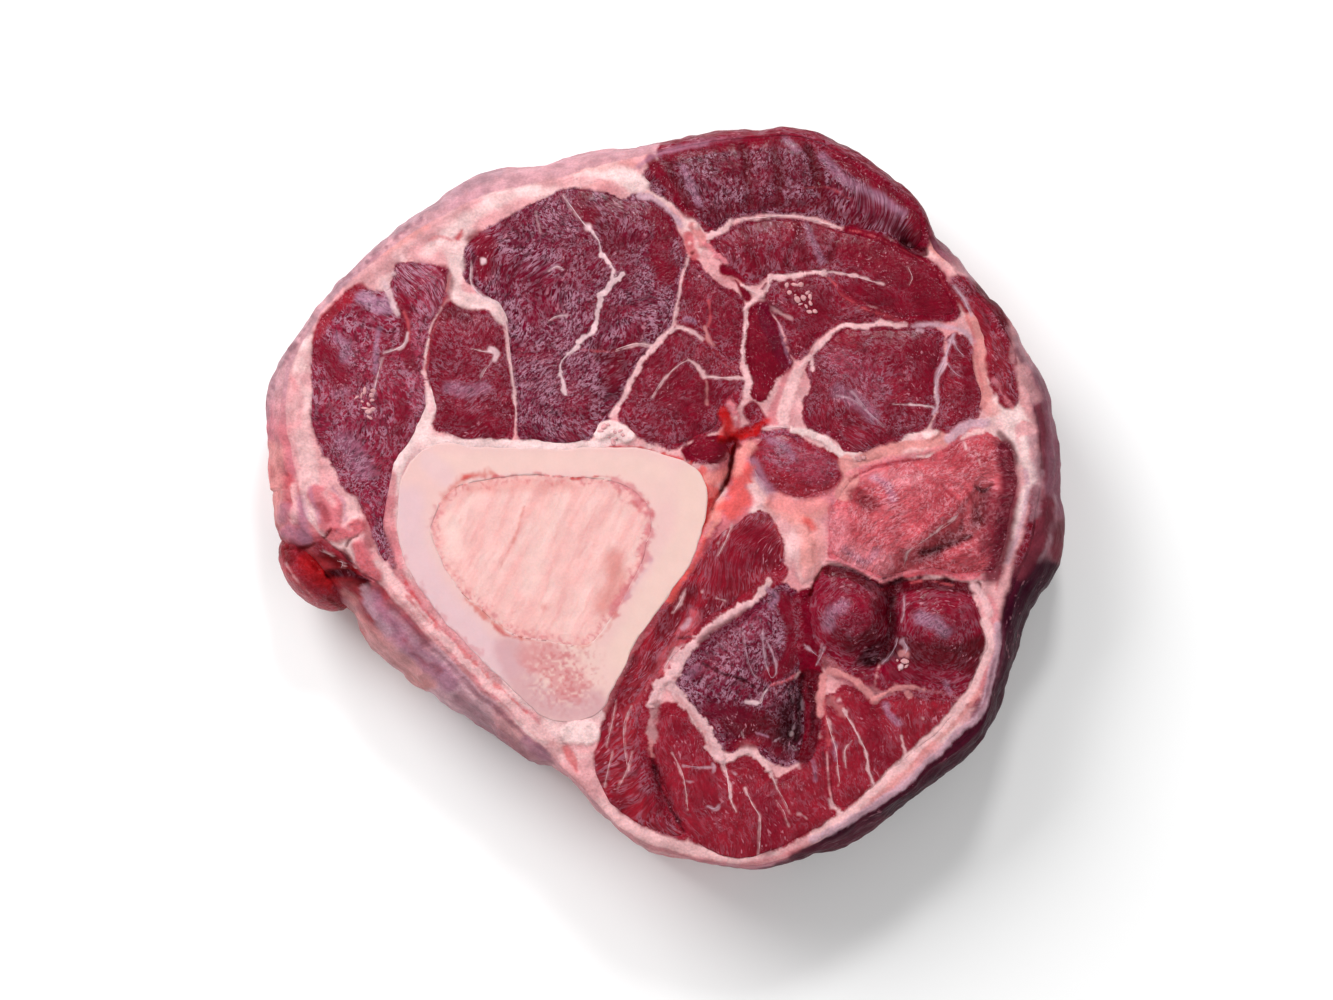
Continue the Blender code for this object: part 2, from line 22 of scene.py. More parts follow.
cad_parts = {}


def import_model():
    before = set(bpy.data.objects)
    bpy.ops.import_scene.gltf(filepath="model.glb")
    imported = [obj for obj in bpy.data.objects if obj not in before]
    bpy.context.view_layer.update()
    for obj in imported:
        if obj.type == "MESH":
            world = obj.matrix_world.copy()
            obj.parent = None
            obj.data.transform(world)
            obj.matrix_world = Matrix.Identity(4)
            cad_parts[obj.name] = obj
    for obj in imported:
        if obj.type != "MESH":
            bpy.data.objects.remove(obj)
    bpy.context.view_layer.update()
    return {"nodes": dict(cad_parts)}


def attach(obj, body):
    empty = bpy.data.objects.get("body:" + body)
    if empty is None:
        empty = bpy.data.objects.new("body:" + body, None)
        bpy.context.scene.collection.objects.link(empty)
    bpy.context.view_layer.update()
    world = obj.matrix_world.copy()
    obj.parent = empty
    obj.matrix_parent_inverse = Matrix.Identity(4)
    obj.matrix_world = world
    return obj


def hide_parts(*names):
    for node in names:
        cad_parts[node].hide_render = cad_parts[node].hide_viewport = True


LOG = logging.getLogger("beef_shank")
MM = 0.001
THICKNESS = 30.0

# The picture: its size in pixels, the width of cut face that its middle row spans, and the eye
PICTURE_WIDTH = 1333
PICTURE_HEIGHT = 1000
PICTURE_SPAN = 266.6
LENS = 85.0
SENSOR_WIDTH = 36.0
EYE_ELEVATION_DEG = 84.0
EYE_DISTANCE = LENS / SENSOR_WIDTH * PICTURE_SPAN
PICTURE_MIDDLE = (0.2, -2.6)

# How the studio's light shows a pigment: its gain, and the haze that the wet surface adds
LIGHT_GAIN = 1.27
HAZE = 0.004

# Spacing of points, in millimetres
COARSE_STEP = 1.4
MEAT_STEP = 1.0
WEB_STEP = 1.3
REFINEMENTS = 2
FINE_FACTOR = 2**REFINEMENTS
FOOT_STEP = 1.1
PIECE_LAP = 0.12
GROOVE_DEPTH = 0.05
GROOVE_WIDTH = 0.3
CROWN_RUN = 7.0

# The side wall: how far it has moved from rim to belly at each depth, its inset at the foot, and
# how far inside the rim the eye must see a place for the rim to hide it
RIM_SHARE = 0.3
RIM_REACH = 9.0
WALL_DEPTHS = (0.0, 1.0, 3.5, 8.0, 14.0, 30.0)
WALL_SHARES = (0.0, 0.3, 0.62, 0.9, 1.0, 1.0)
FOOT_DEPTHS = (21.0, 28.0, 30.0)
FOOT_INSETS = (1.0, 0.994, 0.985)
ARC_PER_DEGREE = 1.3
WALL_BORDER_DEG = 18.0
HIDDEN_REACH = 0.4
OUT_OF_SIGHT = 1000.0

# Width of the pale seam for the width of tissue between two muscles
SEAM_SPANS = (0.0, 1.5, 3.4, 5.4, 7.0)
SEAM_HALVES = (0.15, 0.2, 0.3, 1.1, 3.4)

# How slowly the pattern of a muscle with rings changes along a ring
RING_STRETCH = 2.6

# Painted shade in the hollows of the meat: the share of brightness that the deepest lose, and how deep
# those are
HOLLOW_SHADE = 0.5
HOLLOW_DEPTH = 2.8

Points = np.ndarray
Pick = tuple[int, int]
Tip = tuple[float, ...]


class Layer(Enum):
    """Which pieces a stroke is painted on."""

    CORE = "bone and marrow"
    WEB = "fat and connective tissue"
    FACE = "meat, fat and side wall"


class Slot(Enum):
    """The record's slots for finishes."""

    MUSCLE = "muscle"
    PALE_MUSCLE = "pale_muscle"
    FAT = "fat"
    BONE = "bone"
    MARROW = "marrow"


@dataclass(frozen=True)
class Pigment:
    """A tissue colour as wanted in the picture, 0 to 255, with its shares of flesh and sheen."""

    red: int
    green: int
    blue: int
    flesh: float = 0.0
    # Share of painted light: pale glints laid into the colour, with painted shade in the crevices
    # between them
    sheen: float = 0.0

    def linear(self) -> Points:
        """The surface's own linear colour, which the studio's light shows as the wanted one."""
        wanted = linear_colour((self.red, self.green, self.blue))
        return np.maximum(wanted - HAZE, 0.0) / LIGHT_GAIN


@dataclass(frozen=True)
class Stroke:
    """A line or spot of one pigment, which may also lift or sink the surface.

    The half width, the softness of the edge, the lift and the wobble, which is how ragged the
    edge is, are in millimetres. Strength is the share of pigment laid down. A tip gives these
    five in the order of the fields, and may leave out the last ones.
    """

    layer: Layer
    pigment: Pigment
    picks: tuple[Pick, ...]
    half_width: float
    soft: float = 0.3
    strength: float = 1.0
    lift: float = 0.0
    wobble: float = 0.2


@dataclass(frozen=True)
class Landform:
    """A rounded hill, or a hollow where the height is below zero, on the cut face."""

    x: float
    y: float
    long_radius: float
    short_radius: float
    turn_deg: float
    height: float


def core(pigment: Pigment, tip: Tip, *picks: Pick) -> Stroke:
    """A stroke on the bone and the marrow."""
    return Stroke(Layer.CORE, pigment, picks, *tip)


def web(pigment: Pigment, tip: Tip, *picks: Pick) -> Stroke:
    """A stroke on the fat and connective tissue alone."""
    return Stroke(Layer.WEB, pigment, picks, *tip)


def face(pigment: Pigment, tip: Tip, *picks: Pick) -> Stroke:
    """A stroke on the meat, the fat and the side wall alike."""
    return Stroke(Layer.FACE, pigment, picks, *tip)


FAT_WHITE = Pigment(244, 206, 206)
FAT_PALE = Pigment(242, 188, 190)
FAT_PINK = Pigment(228, 164, 168)
FAT_ROSE = Pigment(212, 116, 126)
FAT_TAN = Pigment(220, 144, 142)
FAT_DULL = Pigment(198, 142, 146)
FAT_GREY = Pigment(172, 132, 142)
SEAM = Pigment(236, 184, 188)
SEAM_TAN = Pigment(214, 136, 138)
SEAM_RED = Pigment(200, 84, 92, flesh=0.3)
VEIN = Pigment(232, 192, 198)
LILAC = Pigment(178, 120, 144, flesh=0.2, sheen=0.1)
LILAC_PALE = Pigment(208, 164, 178)
MEMBRANE = Pigment(118, 62, 78, flesh=0.2)
MAUVE = Pigment(138, 82, 98, flesh=0.2)
# The next two: partly the side's own dark purple, partly painted shade where the wall faces away from
# the key light
WALL_DARK_IN_SHADE = Pigment(58, 18, 34, flesh=0.6)
WALL_PURPLE_IN_SHADE = Pigment(84, 26, 44, flesh=0.6)
WALL_MAROON = Pigment(114, 48, 60, flesh=0.5)
BLOOD = Pigment(206, 30, 30, flesh=0.5, sheen=0.1)
# Dark clotted blood, and painted shade in cracks, crevices and under overhangs
DARK_BLOOD_AND_SHADE = Pigment(104, 6, 16, flesh=0.8)
KNOT_RED = Pigment(232, 92, 88)
KNOT_PINK = Pigment(246, 156, 150)
LOBE_RED = Pigment(170, 28, 32, flesh=0.8)
LOBE_MEAT = Pigment(144, 28, 38, flesh=0.7, sheen=0.2)
LOBE_DARK = Pigment(104, 12, 22, flesh=0.8)
LOBE_GLOW = Pigment(150, 14, 18, flesh=0.6)
FLESH = Pigment(132, 22, 40, flesh=1.0, sheen=0.5)
FLESH_BROWN = Pigment(146, 28, 44, flesh=1.0, sheen=0.22)
FLESH_FIBROUS = Pigment(144, 26, 40, flesh=1.0, sheen=0.48)
# Painted shade: meat as dark as it shows deep in crevices, valleys and under overhanging edges
FLESH_IN_SHADE = Pigment(64, 6, 20, flesh=1.0, sheen=0.1)
FLESH_MAROON = Pigment(92, 8, 24, flesh=1.0, sheen=0.15)
FLESH_WET = Pigment(120, 12, 34, flesh=1.0, sheen=0.05)
FLESH_DEEP = Pigment(104, 14, 36, flesh=1.0, sheen=0.06)
FLESH_DUSKY = Pigment(98, 12, 34, flesh=1.0, sheen=0.8)
FLESH_PLUM = Pigment(128, 24, 50, flesh=1.0, sheen=0.95)
FLESH_PURPLE = Pigment(102, 14, 40, flesh=1.0, sheen=1.0)
FLESH_CRIMSON = Pigment(122, 18, 38, flesh=1.0, sheen=0.45)
FLESH_ROSY = Pigment(152, 52, 74, flesh=1.0, sheen=1.0)
DOME = Pigment(132, 14, 40, flesh=1.0, sheen=0.36)
# Painted sheen: the lilac-grey glare of wet meat, with a high sheen share for painted glints
SHEEN_LILAC = Pigment(158, 110, 136, flesh=1.0, sheen=0.9)
SALMON_DARK = Pigment(150, 40, 52, flesh=1.0, sheen=0.2)
SALMON = Pigment(202, 84, 94, flesh=1.0, sheen=0.36)
SALMON_LIGHT = Pigment(228, 130, 140, flesh=1.0, sheen=0.35)
SALMON_DEEP = Pigment(172, 52, 64, flesh=1.0, sheen=0.3)
BONE_CREAM = Pigment(240, 196, 193)
BONE_WARM = Pigment(243, 206, 196)
BONE_SPONGY = Pigment(220, 148, 150)
BONE_LILAC = Pigment(214, 162, 168)
BONE_COOL = Pigment(232, 194, 201)
MARROW_PINK = Pigment(247, 194, 190)
MARROW_ROSE = Pigment(240, 166, 164)
MARROW_LIGHT = Pigment(250, 212, 206)
MARROW_RUST = Pigment(216, 118, 110)

# Hills and hollows of the cut face, the same as those of the solids
LANDFORMS = (
    Landform(37.0, -25.5, 5.4, 5.4, 0.0, 3.0),
    Landform(54.5, -27.0, 7.0, 5.2, -15.0, 2.8),
    Landform(42.0, -33.5, 4.5, 2.6, 20.0, -3.4),
    Landform(45.5, -22.5, 7.0, 2.0, 80.0, -3.0),
    Landform(26.5, -46.0, 9.0, 3.6, 80.0, -3.8),
    Landform(12.5, 2.5, 7.0, 2.2, 70.0, -4.2),
    Landform(15.0, 12.0, 3.5, 3.5, 0.0, -1.6),
    Landform(49.5, 49.5, 4.0, 2.0, -30.0, -2.6),
    Landform(28.0, -13.5, 5.0, 5.0, 0.0, 1.0),
    Landform(55.5, -11.5, 7.5, 2.0, 33.0, -2.6),
    Landform(63.0, -4.0, 6.5, 1.8, 78.0, -2.2),
    Landform(52.5, -8.0, 8.0, 2.4, 33.0, 1.2),
    Landform(-0.5, -60.5, 6.5, 1.4, 110.0, -1.8),
    Landform(14.0, -37.0, 8.0, 8.0, 0.0, 0.8),
    Landform(-70.0, 2.0, 9.0, 4.0, 100.0, -1.0),
    Landform(-20.5, -53.0, 4.0, 3.0, 0.0, -0.8),
    Landform(60.0, -4.5, 4.0, 1.0, 65.0, -1.0),
    Landform(40.0, -3.2, 3.6, 2.4, -45.0, -1.4),
)

# Strokes, picked in the picture, in its pixels, region by region

BONE_STROKES = (
    core(BONE_WARM, (3.0, 3.0, 0.8), (692, 480), (690, 530), (652, 600), (622, 655)),
    core(BONE_WARM, (2.0, 2.5, 0.5), (440, 462), (520, 462), (600, 462), (660, 470)),
    core(BONE_COOL, (3.0, 3.5, 0.8), (408, 500), (412, 540), (432, 590), (470, 632), (506, 668)),
    core(BONE_COOL, (2.0, 2.5, 0.5), (430, 462), (444, 476)),
    core(BONE_LILAC, (3.0, 2.5, 0.75), (510, 650), (530, 690), (560, 706), (592, 704)),
    core(BONE_SPONGY, (3.6, 2.4, 0.8, 0.0, 0.6), (538, 656), (560, 664), (570, 684)),
    core(SEAM_RED, (0.2, 1.0, 0.3, 0.0, 0.6), (560, 650), (575, 652), (588, 650)),
    core(MARROW_RUST, (2.0, 3.0, 0.55), (614, 560), (616, 585), (604, 604)),
    core(MARROW_RUST, (0.6, 1.2, 0.45, 0.0, 0.4), (546, 608)),
    core(MARROW_RUST, (1.2, 2.0, 0.3), (470, 488), (520, 486), (570, 488)),
    core(MARROW_RUST, (0.7, 1.2, 0.75, 0.0, 0.5), (443, 494), (451, 487), (462, 479), (475, 475),
        (492, 474)),
    core(BLOOD, (0.15, 0.4, 0.6, 0.0, 0.4), (443, 494), (450, 488), (458, 482), (466, 477), (478, 475)),
    core(SEAM_RED, (0.15, 0.5, 0.7, 0.0, 0.4), (480, 477), (510, 475), (530, 474), (560, 477),
        (580, 478), (600, 476), (612, 477)),
    core(BLOOD, (0.2, 0.4, 0.7, 0.0, 0.4), (566, 479), (578, 479)),
    core(BLOOD, (0.15, 0.4, 0.6, 0.0, 0.4), (588, 477), (596, 476)),
    core(FAT_ROSE, (0.8, 1.2, 0.65, 0.0, 0.8), (612, 481), (628, 489), (641, 500), (650, 513),
        (650, 530), (647, 548), (641, 564), (632, 580), (622, 596), (612, 614)),
    core(SEAM_RED, (0.15, 0.7, 0.5, 0.0, 0.5), (618, 490), (621, 500), (636, 505), (640, 514)),
    core(SEAM_RED, (0.2, 0.5, 0.5, 0.0, 0.5), (642, 499), (650, 505), (652, 515)),
    core(LILAC_PALE, (0.3, 0.8, 0.4, 0.0, 0.4), (650, 560), (640, 578), (626, 598)),
    core(FAT_ROSE, (0.3, 1.0, 0.5, 0.0, 0.7), (436, 505), (433, 525), (437, 545), (442, 558)),
    core(MARROW_RUST, (0.35, 0.8, 0.8, 0.0, 0.4), (466, 598), (480, 612), (495, 624), (508, 634),
        (520, 638)),
    core(SEAM_RED, (0.12, 0.4, 0.6, 0.0, 0.2), (494, 624), (505, 633), (518, 638)),
    core(MARROW_RUST, (0.15, 0.7, 0.5, 0.0, 0.4), (520, 638), (545, 642), (570, 645), (592, 643),
        (606, 632), (616, 612)),
    core(MARROW_RUST, (0.12, 0.7, 0.6), (524, 506), (519, 526), (510, 548), (501, 570)),
    core(MARROW_LIGHT, (1.6, 1.5, 0.5), (450, 520), (456, 550)),
    core(MARROW_LIGHT, (2.0, 2.5, 0.5), (560, 500), (540, 540), (530, 585)),
    core(FAT_ROSE, (0.4, 0.8, 0.4, 0.0, 0.8), (404, 560), (420, 590), (446, 622), (480, 654)),
)

# Broad fat of the rim and round the bone
BROAD_FAT_STROKES = (
    web(FAT_WHITE, (1.8, 1.6, 0.5), (304, 395), (303, 430), (308, 470), (316, 500)),
    web(FAT_ROSE, (0.6, 1.4, 0.4), (292, 380), (300, 400), (298, 425)),
    web(FAT_DULL, (2.0, 1.6, 0.6, 0.0, 0.7), (356, 284), (378, 264), (404, 246), (430, 228),
        (460, 206)),
    web(FAT_WHITE, (1.2, 1.6, 0.7), (428, 252), (455, 228), (485, 208), (515, 194), (535, 189)),
    web(SEAM_RED, (0.35, 1.0, 0.9, 0.0, 0.4), (457, 238), (461, 230)),
    face(FAT_GREY, (1.2, 1.0, 0.8, 0.0, 0.6), (258, 440), (264, 400), (276, 368), (292, 338),
        (318, 300), (344, 275), (374, 247), (404, 224), (434, 204), (466, 184), (498, 171)),
    face(MEMBRANE, (0.3, 0.8, 0.5, 0.0, 0.6), (266, 402), (280, 372), (300, 336), (330, 296),
        (360, 268), (396, 238), (430, 212)),
    web(FAT_TAN, (1.0, 1.4, 0.7), (384, 250), (402, 240), (425, 226)),
    web(SEAM_RED, (0.25, 0.7, 0.5), (430, 240), (440, 236), (452, 240)),
    web(FAT_WHITE, (1.5, 0.8, 0.8), (456, 262), (454, 290), (464, 300), (490, 304), (503, 318)),
    web(FAT_WHITE, (1.4, 0.8), (432, 392), (430, 410), (424, 425), (410, 440), (398, 462), (392, 490)),
    web(FAT_WHITE, (1.0, 0.4), (425, 440), (470, 443), (520, 446), (560, 447), (600, 443), (622, 438)),
    web(FAT_WHITE, (1.8, 1.4), (590, 165), (615, 172), (640, 184)),
    web(FAT_TAN, (0.8, 1.4, 0.5), (560, 172), (600, 166), (632, 162)),
    web(FAT_ROSE, (1.3, 1.0, 0.7), (390, 478), (388, 510), (391, 545), (399, 575), (412, 600),
        (435, 628), (465, 660), (500, 696), (535, 722)),
    web(FAT_PALE, (1.0, 0.6, 0.95), (378, 566), (400, 592), (425, 619), (455, 650), (490, 684),
        (520, 714), (548, 737)),
    face(BLOOD, (0.12, 0.4, 0.5, 0.0, 0.5), (396, 560), (408, 588), (432, 618), (462, 650), (495, 684),
        (525, 711)),
    face(SEAM_RED, (0.25, 0.5, 0.6, 0.0, 0.3), (404, 594), (420, 612), (440, 630)),
    face(MEMBRANE, (0.4, 0.7, 0.65), (362, 578), (384, 600), (410, 626), (436, 652), (465, 682),
        (494, 708), (520, 730), (545, 752)),
    web(FAT_WHITE, (2.2, 0.8, 1.0, 0.4), (572, 732), (590, 733)),
    web(BLOOD, (0.8, 0.9, 0.55, -0.3), (566, 748), (572, 758), (578, 768)),
    web(FAT_PINK, (1.6, 0.8), (585, 765), (592, 785), (606, 805)),
    web(FAT_PALE, (1.3, 0.8), (600, 804), (620, 822), (650, 838), (690, 850), (735, 859), (765, 860)),
    face(FAT_ROSE, (0.3, 0.6, 0.55), (612, 826), (640, 842), (680, 855), (725, 863)),
)

RIGHT_FAT_STROKES = (
    web(FAT_TAN, (1.6, 1.2), (932, 240), (945, 252), (960, 268), (968, 282)),
    web(FAT_PALE, (1.0, 1.0, 0.6), (950, 262), (958, 280)),
    web(FAT_TAN, (1.2, 0.8), (970, 318), (980, 338), (980, 360), (983, 385), (988, 396)),
    web(FAT_WHITE, (2.6, 1.4), (1004, 404), (1018, 424), (1022, 450)),
    web(FAT_TAN, (1.4, 1.0, 0.7), (985, 402), (992, 410)),
    web(FAT_PINK, (2.0, 0.8), (1026, 430), (1030, 455), (1032, 478), (1026, 500), (1020, 520),
        (1014, 540), (1008, 560), (1002, 582), (998, 610)),
    web(FAT_WHITE, (0.9, 0.8), (1024, 440), (1026, 460), (1034, 476), (1024, 500), (1017, 520),
        (1011, 540), (1005, 560)),
)

# Muscle that reaches the rim
UPPER_LEFT_STROKES = (
    web(FLESH_BROWN, (2.0, 0.7), (320, 342), (330, 322), (344, 306), (360, 294)),
    face(FLESH_BROWN, (1.2, 0.8), (318, 334), (328, 316), (342, 302), (356, 292)),
    face(FAT_GREY, (0.4, 0.7, 0.6), (306, 336), (316, 315), (332, 296), (350, 280)),
)

OUTER_LEFT_STROKES = (
    face(FLESH_ROSY, (1.8, 1.4, 0.8), (428, 270), (436, 282), (430, 300), (420, 325), (414, 350),
        (414, 375), (418, 400)),
    face(FLESH_WET, (0.9, 0.9, 0.6), (442, 268), (450, 282), (445, 305)),
    face(FLESH_WET, (2.4, 2.0, 0.75), (322, 352), (334, 362), (338, 380)),
    face(FLESH_WET, (1.2, 0.9, 0.8), (402, 300), (406, 322), (405, 345), (412, 366)),
    face(FLESH_WET, (1.0, 1.0, 0.7), (404, 398), (402, 415), (396, 430)),
    face(SHEEN_LILAC, (1.6, 1.1, 0.85), (364, 298), (376, 306), (388, 306)),
    face(SHEEN_LILAC, (1.0, 1.2, 0.55), (338, 338), (348, 346), (344, 358)),
    face(SHEEN_LILAC, (0.5, 0.7, 0.75), (379, 330), (376, 350), (375, 372)),
    face(SHEEN_LILAC, (2.0, 2.2, 0.4), (344, 440), (356, 455), (366, 472)),
    face(SHEEN_LILAC, (0.7, 1.4, 0.4), (334, 395), (346, 392)),
    face(VEIN, (0.6, 0.7, 0.85, 0.1, 0.4), (385, 284), (391, 297), (398, 314)),
    face(VEIN, (0.45, 0.6, 0.85, 0.1), (394, 275)),
    face(SEAM_RED, (0.3, 0.5, 0.7), (405, 312), (409, 328), (409, 340)),
    face(VEIN, (0.3, 0.4, 0.8, 0.1), (408, 334), (404, 345), (394, 351), (384, 354)),
    face(VEIN, (0.2, 0.5, 0.4), (382, 360), (377, 380), (374, 396)),
    face(SEAM_RED, (0.2, 0.5, 0.5), (450, 274), (447, 295), (440, 314), (431, 342), (425, 370)),
    face(SEAM, (0.45, 0.3, 1.0, 0.1, 0.35), (424, 372), (428, 384), (432, 396), (432, 412)),
)

FRONT_LEFT_STROKES = (
    face(VEIN, (0.55, 0.5, 0.85, 0.1), (492, 350), (498, 353), (496, 360)),
    face(VEIN, (0.12, 0.3, 0.5), (472, 349), (484, 352), (492, 352)),
    face(VEIN, (0.12, 0.3, 0.5), (494, 360), (486, 370), (482, 378)),
    face(SHEEN_LILAC, (1.3, 1.6, 0.45), (450, 388), (468, 392), (484, 388)),
    face(FLESH_WET, (1.8, 1.6, 0.6), (450, 418), (475, 424), (498, 424)),
    face(FLESH_MAROON, (1.2, 1.2, 0.5), (444, 315), (455, 312), (468, 318)),
    face(VEIN, (0.2, 0.4, 0.55), (471, 262), (471, 283), (483, 297), (500, 306)),
    face(SEAM, (0.28, 0.3, 0.85), (503, 312), (507, 331), (511, 362), (514, 392), (517, 420)),
)

# Main upper muscle and its vein
MAIN_UPPER_STROKES = (
    face(FLESH_WET, (2.0, 1.8, 0.85), (476, 238), (486, 246), (484, 272)),
    face(FLESH_WET, (1.6, 1.4, 0.7), (584, 196), (580, 208), (590, 218)),
    face(FLESH_WET, (2.2, 1.8, 0.85), (655, 214), (664, 232), (660, 256), (668, 272)),
    face(FLESH_MAROON, (2.0, 2.0, 0.6), (600, 352), (618, 360), (610, 385)),
    face(FLESH_WET, (1.8, 1.8, 0.45), (640, 330), (625, 352), (610, 380)),
    face(FLESH_MAROON, (2.4, 2.0, 0.5), (610, 232), (616, 250)),
    face(VEIN, (0.2, 0.5, 0.4), (563, 196), (572, 208), (582, 222), (588, 229)),
    face(VEIN, (0.8, 0.9, 0.85, 0.1), (588, 229)),
    face(VEIN, (0.25, 0.25, 1.0, 0.1), (589, 230), (598, 240), (601, 250), (604, 258)),
    face(VEIN, (0.5, 0.2, 1.0, 0.12, 0.4), (603, 254), (608, 261), (612, 268), (615, 276)),
    face(VEIN, (0.5, 0.2, 1.0, 0.12, 0.4), (621, 275), (616, 281), (609, 286)),
    face(VEIN, (0.7, 0.2, 1.0, 0.12, 0.4), (612, 274), (611, 283), (604, 290), (599, 295)),
    face(VEIN, (0.5, 0.2, 1.0, 0.12, 0.35), (600, 293), (600, 305), (597, 318), (594, 331), (585, 338),
        (578, 342)),
    face(VEIN, (0.32, 0.2, 1.0, 0.1, 0.35), (578, 341), (576, 349), (567, 356), (561, 364), (561, 374),
        (564, 384), (567, 394)),
    face(SEAM_RED, (0.15, 0.4, 0.5), (582, 350), (600, 351), (616, 350)),
    face(SEAM, (0.3, 0.35, 0.75, 0.0, 0.3), (616, 350), (628, 346), (640, 344), (652, 346)),
    face(VEIN, (0.75, 0.4, 0.9, 0.2), (483, 262)),
    face(VEIN, (0.2, 0.3, 0.5), (551, 270), (557, 267), (563, 269)),
    face(VEIN, (0.15, 0.3, 0.5), (548, 322), (556, 317), (567, 316)),
    face(VEIN, (0.15, 0.5, 0.3), (536, 212), (541, 232)),
)

TOP_OUTER_STROKES = (
    face(FLESH_CRIMSON, (2.2, 0.6), (668, 150), (700, 144), (735, 140), (770, 138), (800, 139),
        (822, 147), (842, 156), (862, 168), (886, 185), (906, 202), (917, 218), (920, 238)),
    face(FLESH_WET, (1.3, 1.0, 0.9), (652, 160), (664, 178), (678, 196), (690, 214)),
    face(LILAC, (0.5, 0.7, 0.65), (640, 166), (655, 154), (680, 147), (710, 142), (740, 138)),
    face(FLESH_WET, (1.3, 1.0, 0.8), (715, 146), (745, 141), (775, 140), (800, 142)),
    face(FLESH_WET, (1.4, 1.0, 0.9), (840, 158), (862, 172), (886, 190), (908, 206), (918, 224),
        (918, 242)),
    # Dark stripes in the sunk folds, here and below: partly the meat's own colour, partly painted
    # shade.
    face(FLESH_MAROON, (1.0, 2.0, 0.6, -0.3), (744, 150), (748, 168), (746, 184)),
    face(FLESH_MAROON, (1.0, 2.0, 0.6, -0.3), (776, 148), (783, 166), (784, 186)),
    face(FLESH_MAROON, (1.0, 1.8, 0.8, -0.35), (806, 146), (816, 164), (820, 180)),
    face(FLESH_WET, (0.8, 1.6, 0.7, -0.3), (826, 150), (840, 172), (852, 186)),
    face(SHEEN_LILAC, (0.7, 1.1, 0.55), (682, 168), (690, 184), (700, 206)),
    face(SHEEN_LILAC, (0.9, 1.4, 0.6), (823, 156), (848, 182), (880, 198), (904, 214)),
    face(SHEEN_LILAC, (0.8, 1.4, 0.5), (786, 140), (796, 150)),
    face(SEAM_RED, (0.15, 0.6, 0.5), (803, 190), (826, 187), (849, 198)),
    face(FLESH_MAROON, (0.9, 1.6, 0.5), (700, 210), (720, 216), (745, 206), (790, 203), (830, 210),
        (866, 222)),
    face(FLESH_MAROON, (0.8, 1.4, 0.75, -0.3), (668, 160), (678, 184), (690, 206)),
    face(FLESH_MAROON, (0.7, 1.6, 0.6, -0.3), (742, 146), (748, 174), (752, 204)),
    face(FLESH_MAROON, (0.8, 1.4, 0.75, -0.3), (774, 150), (779, 180), (781, 208)),
    face(FLESH_MAROON, (0.9, 1.6, 0.75, -0.3), (808, 150), (816, 176), (824, 202)),
    face(FLESH_DEEP, (1.0, 1.6, 0.7), (862, 196), (880, 214), (900, 236)),
    face(FLESH_MAROON, (0.8, 1.6, 0.6), (796, 222), (800, 244), (806, 262)),
    face(FLESH_MAROON, (0.7, 1.6, 0.6), (744, 226), (750, 250), (756, 266)),
)

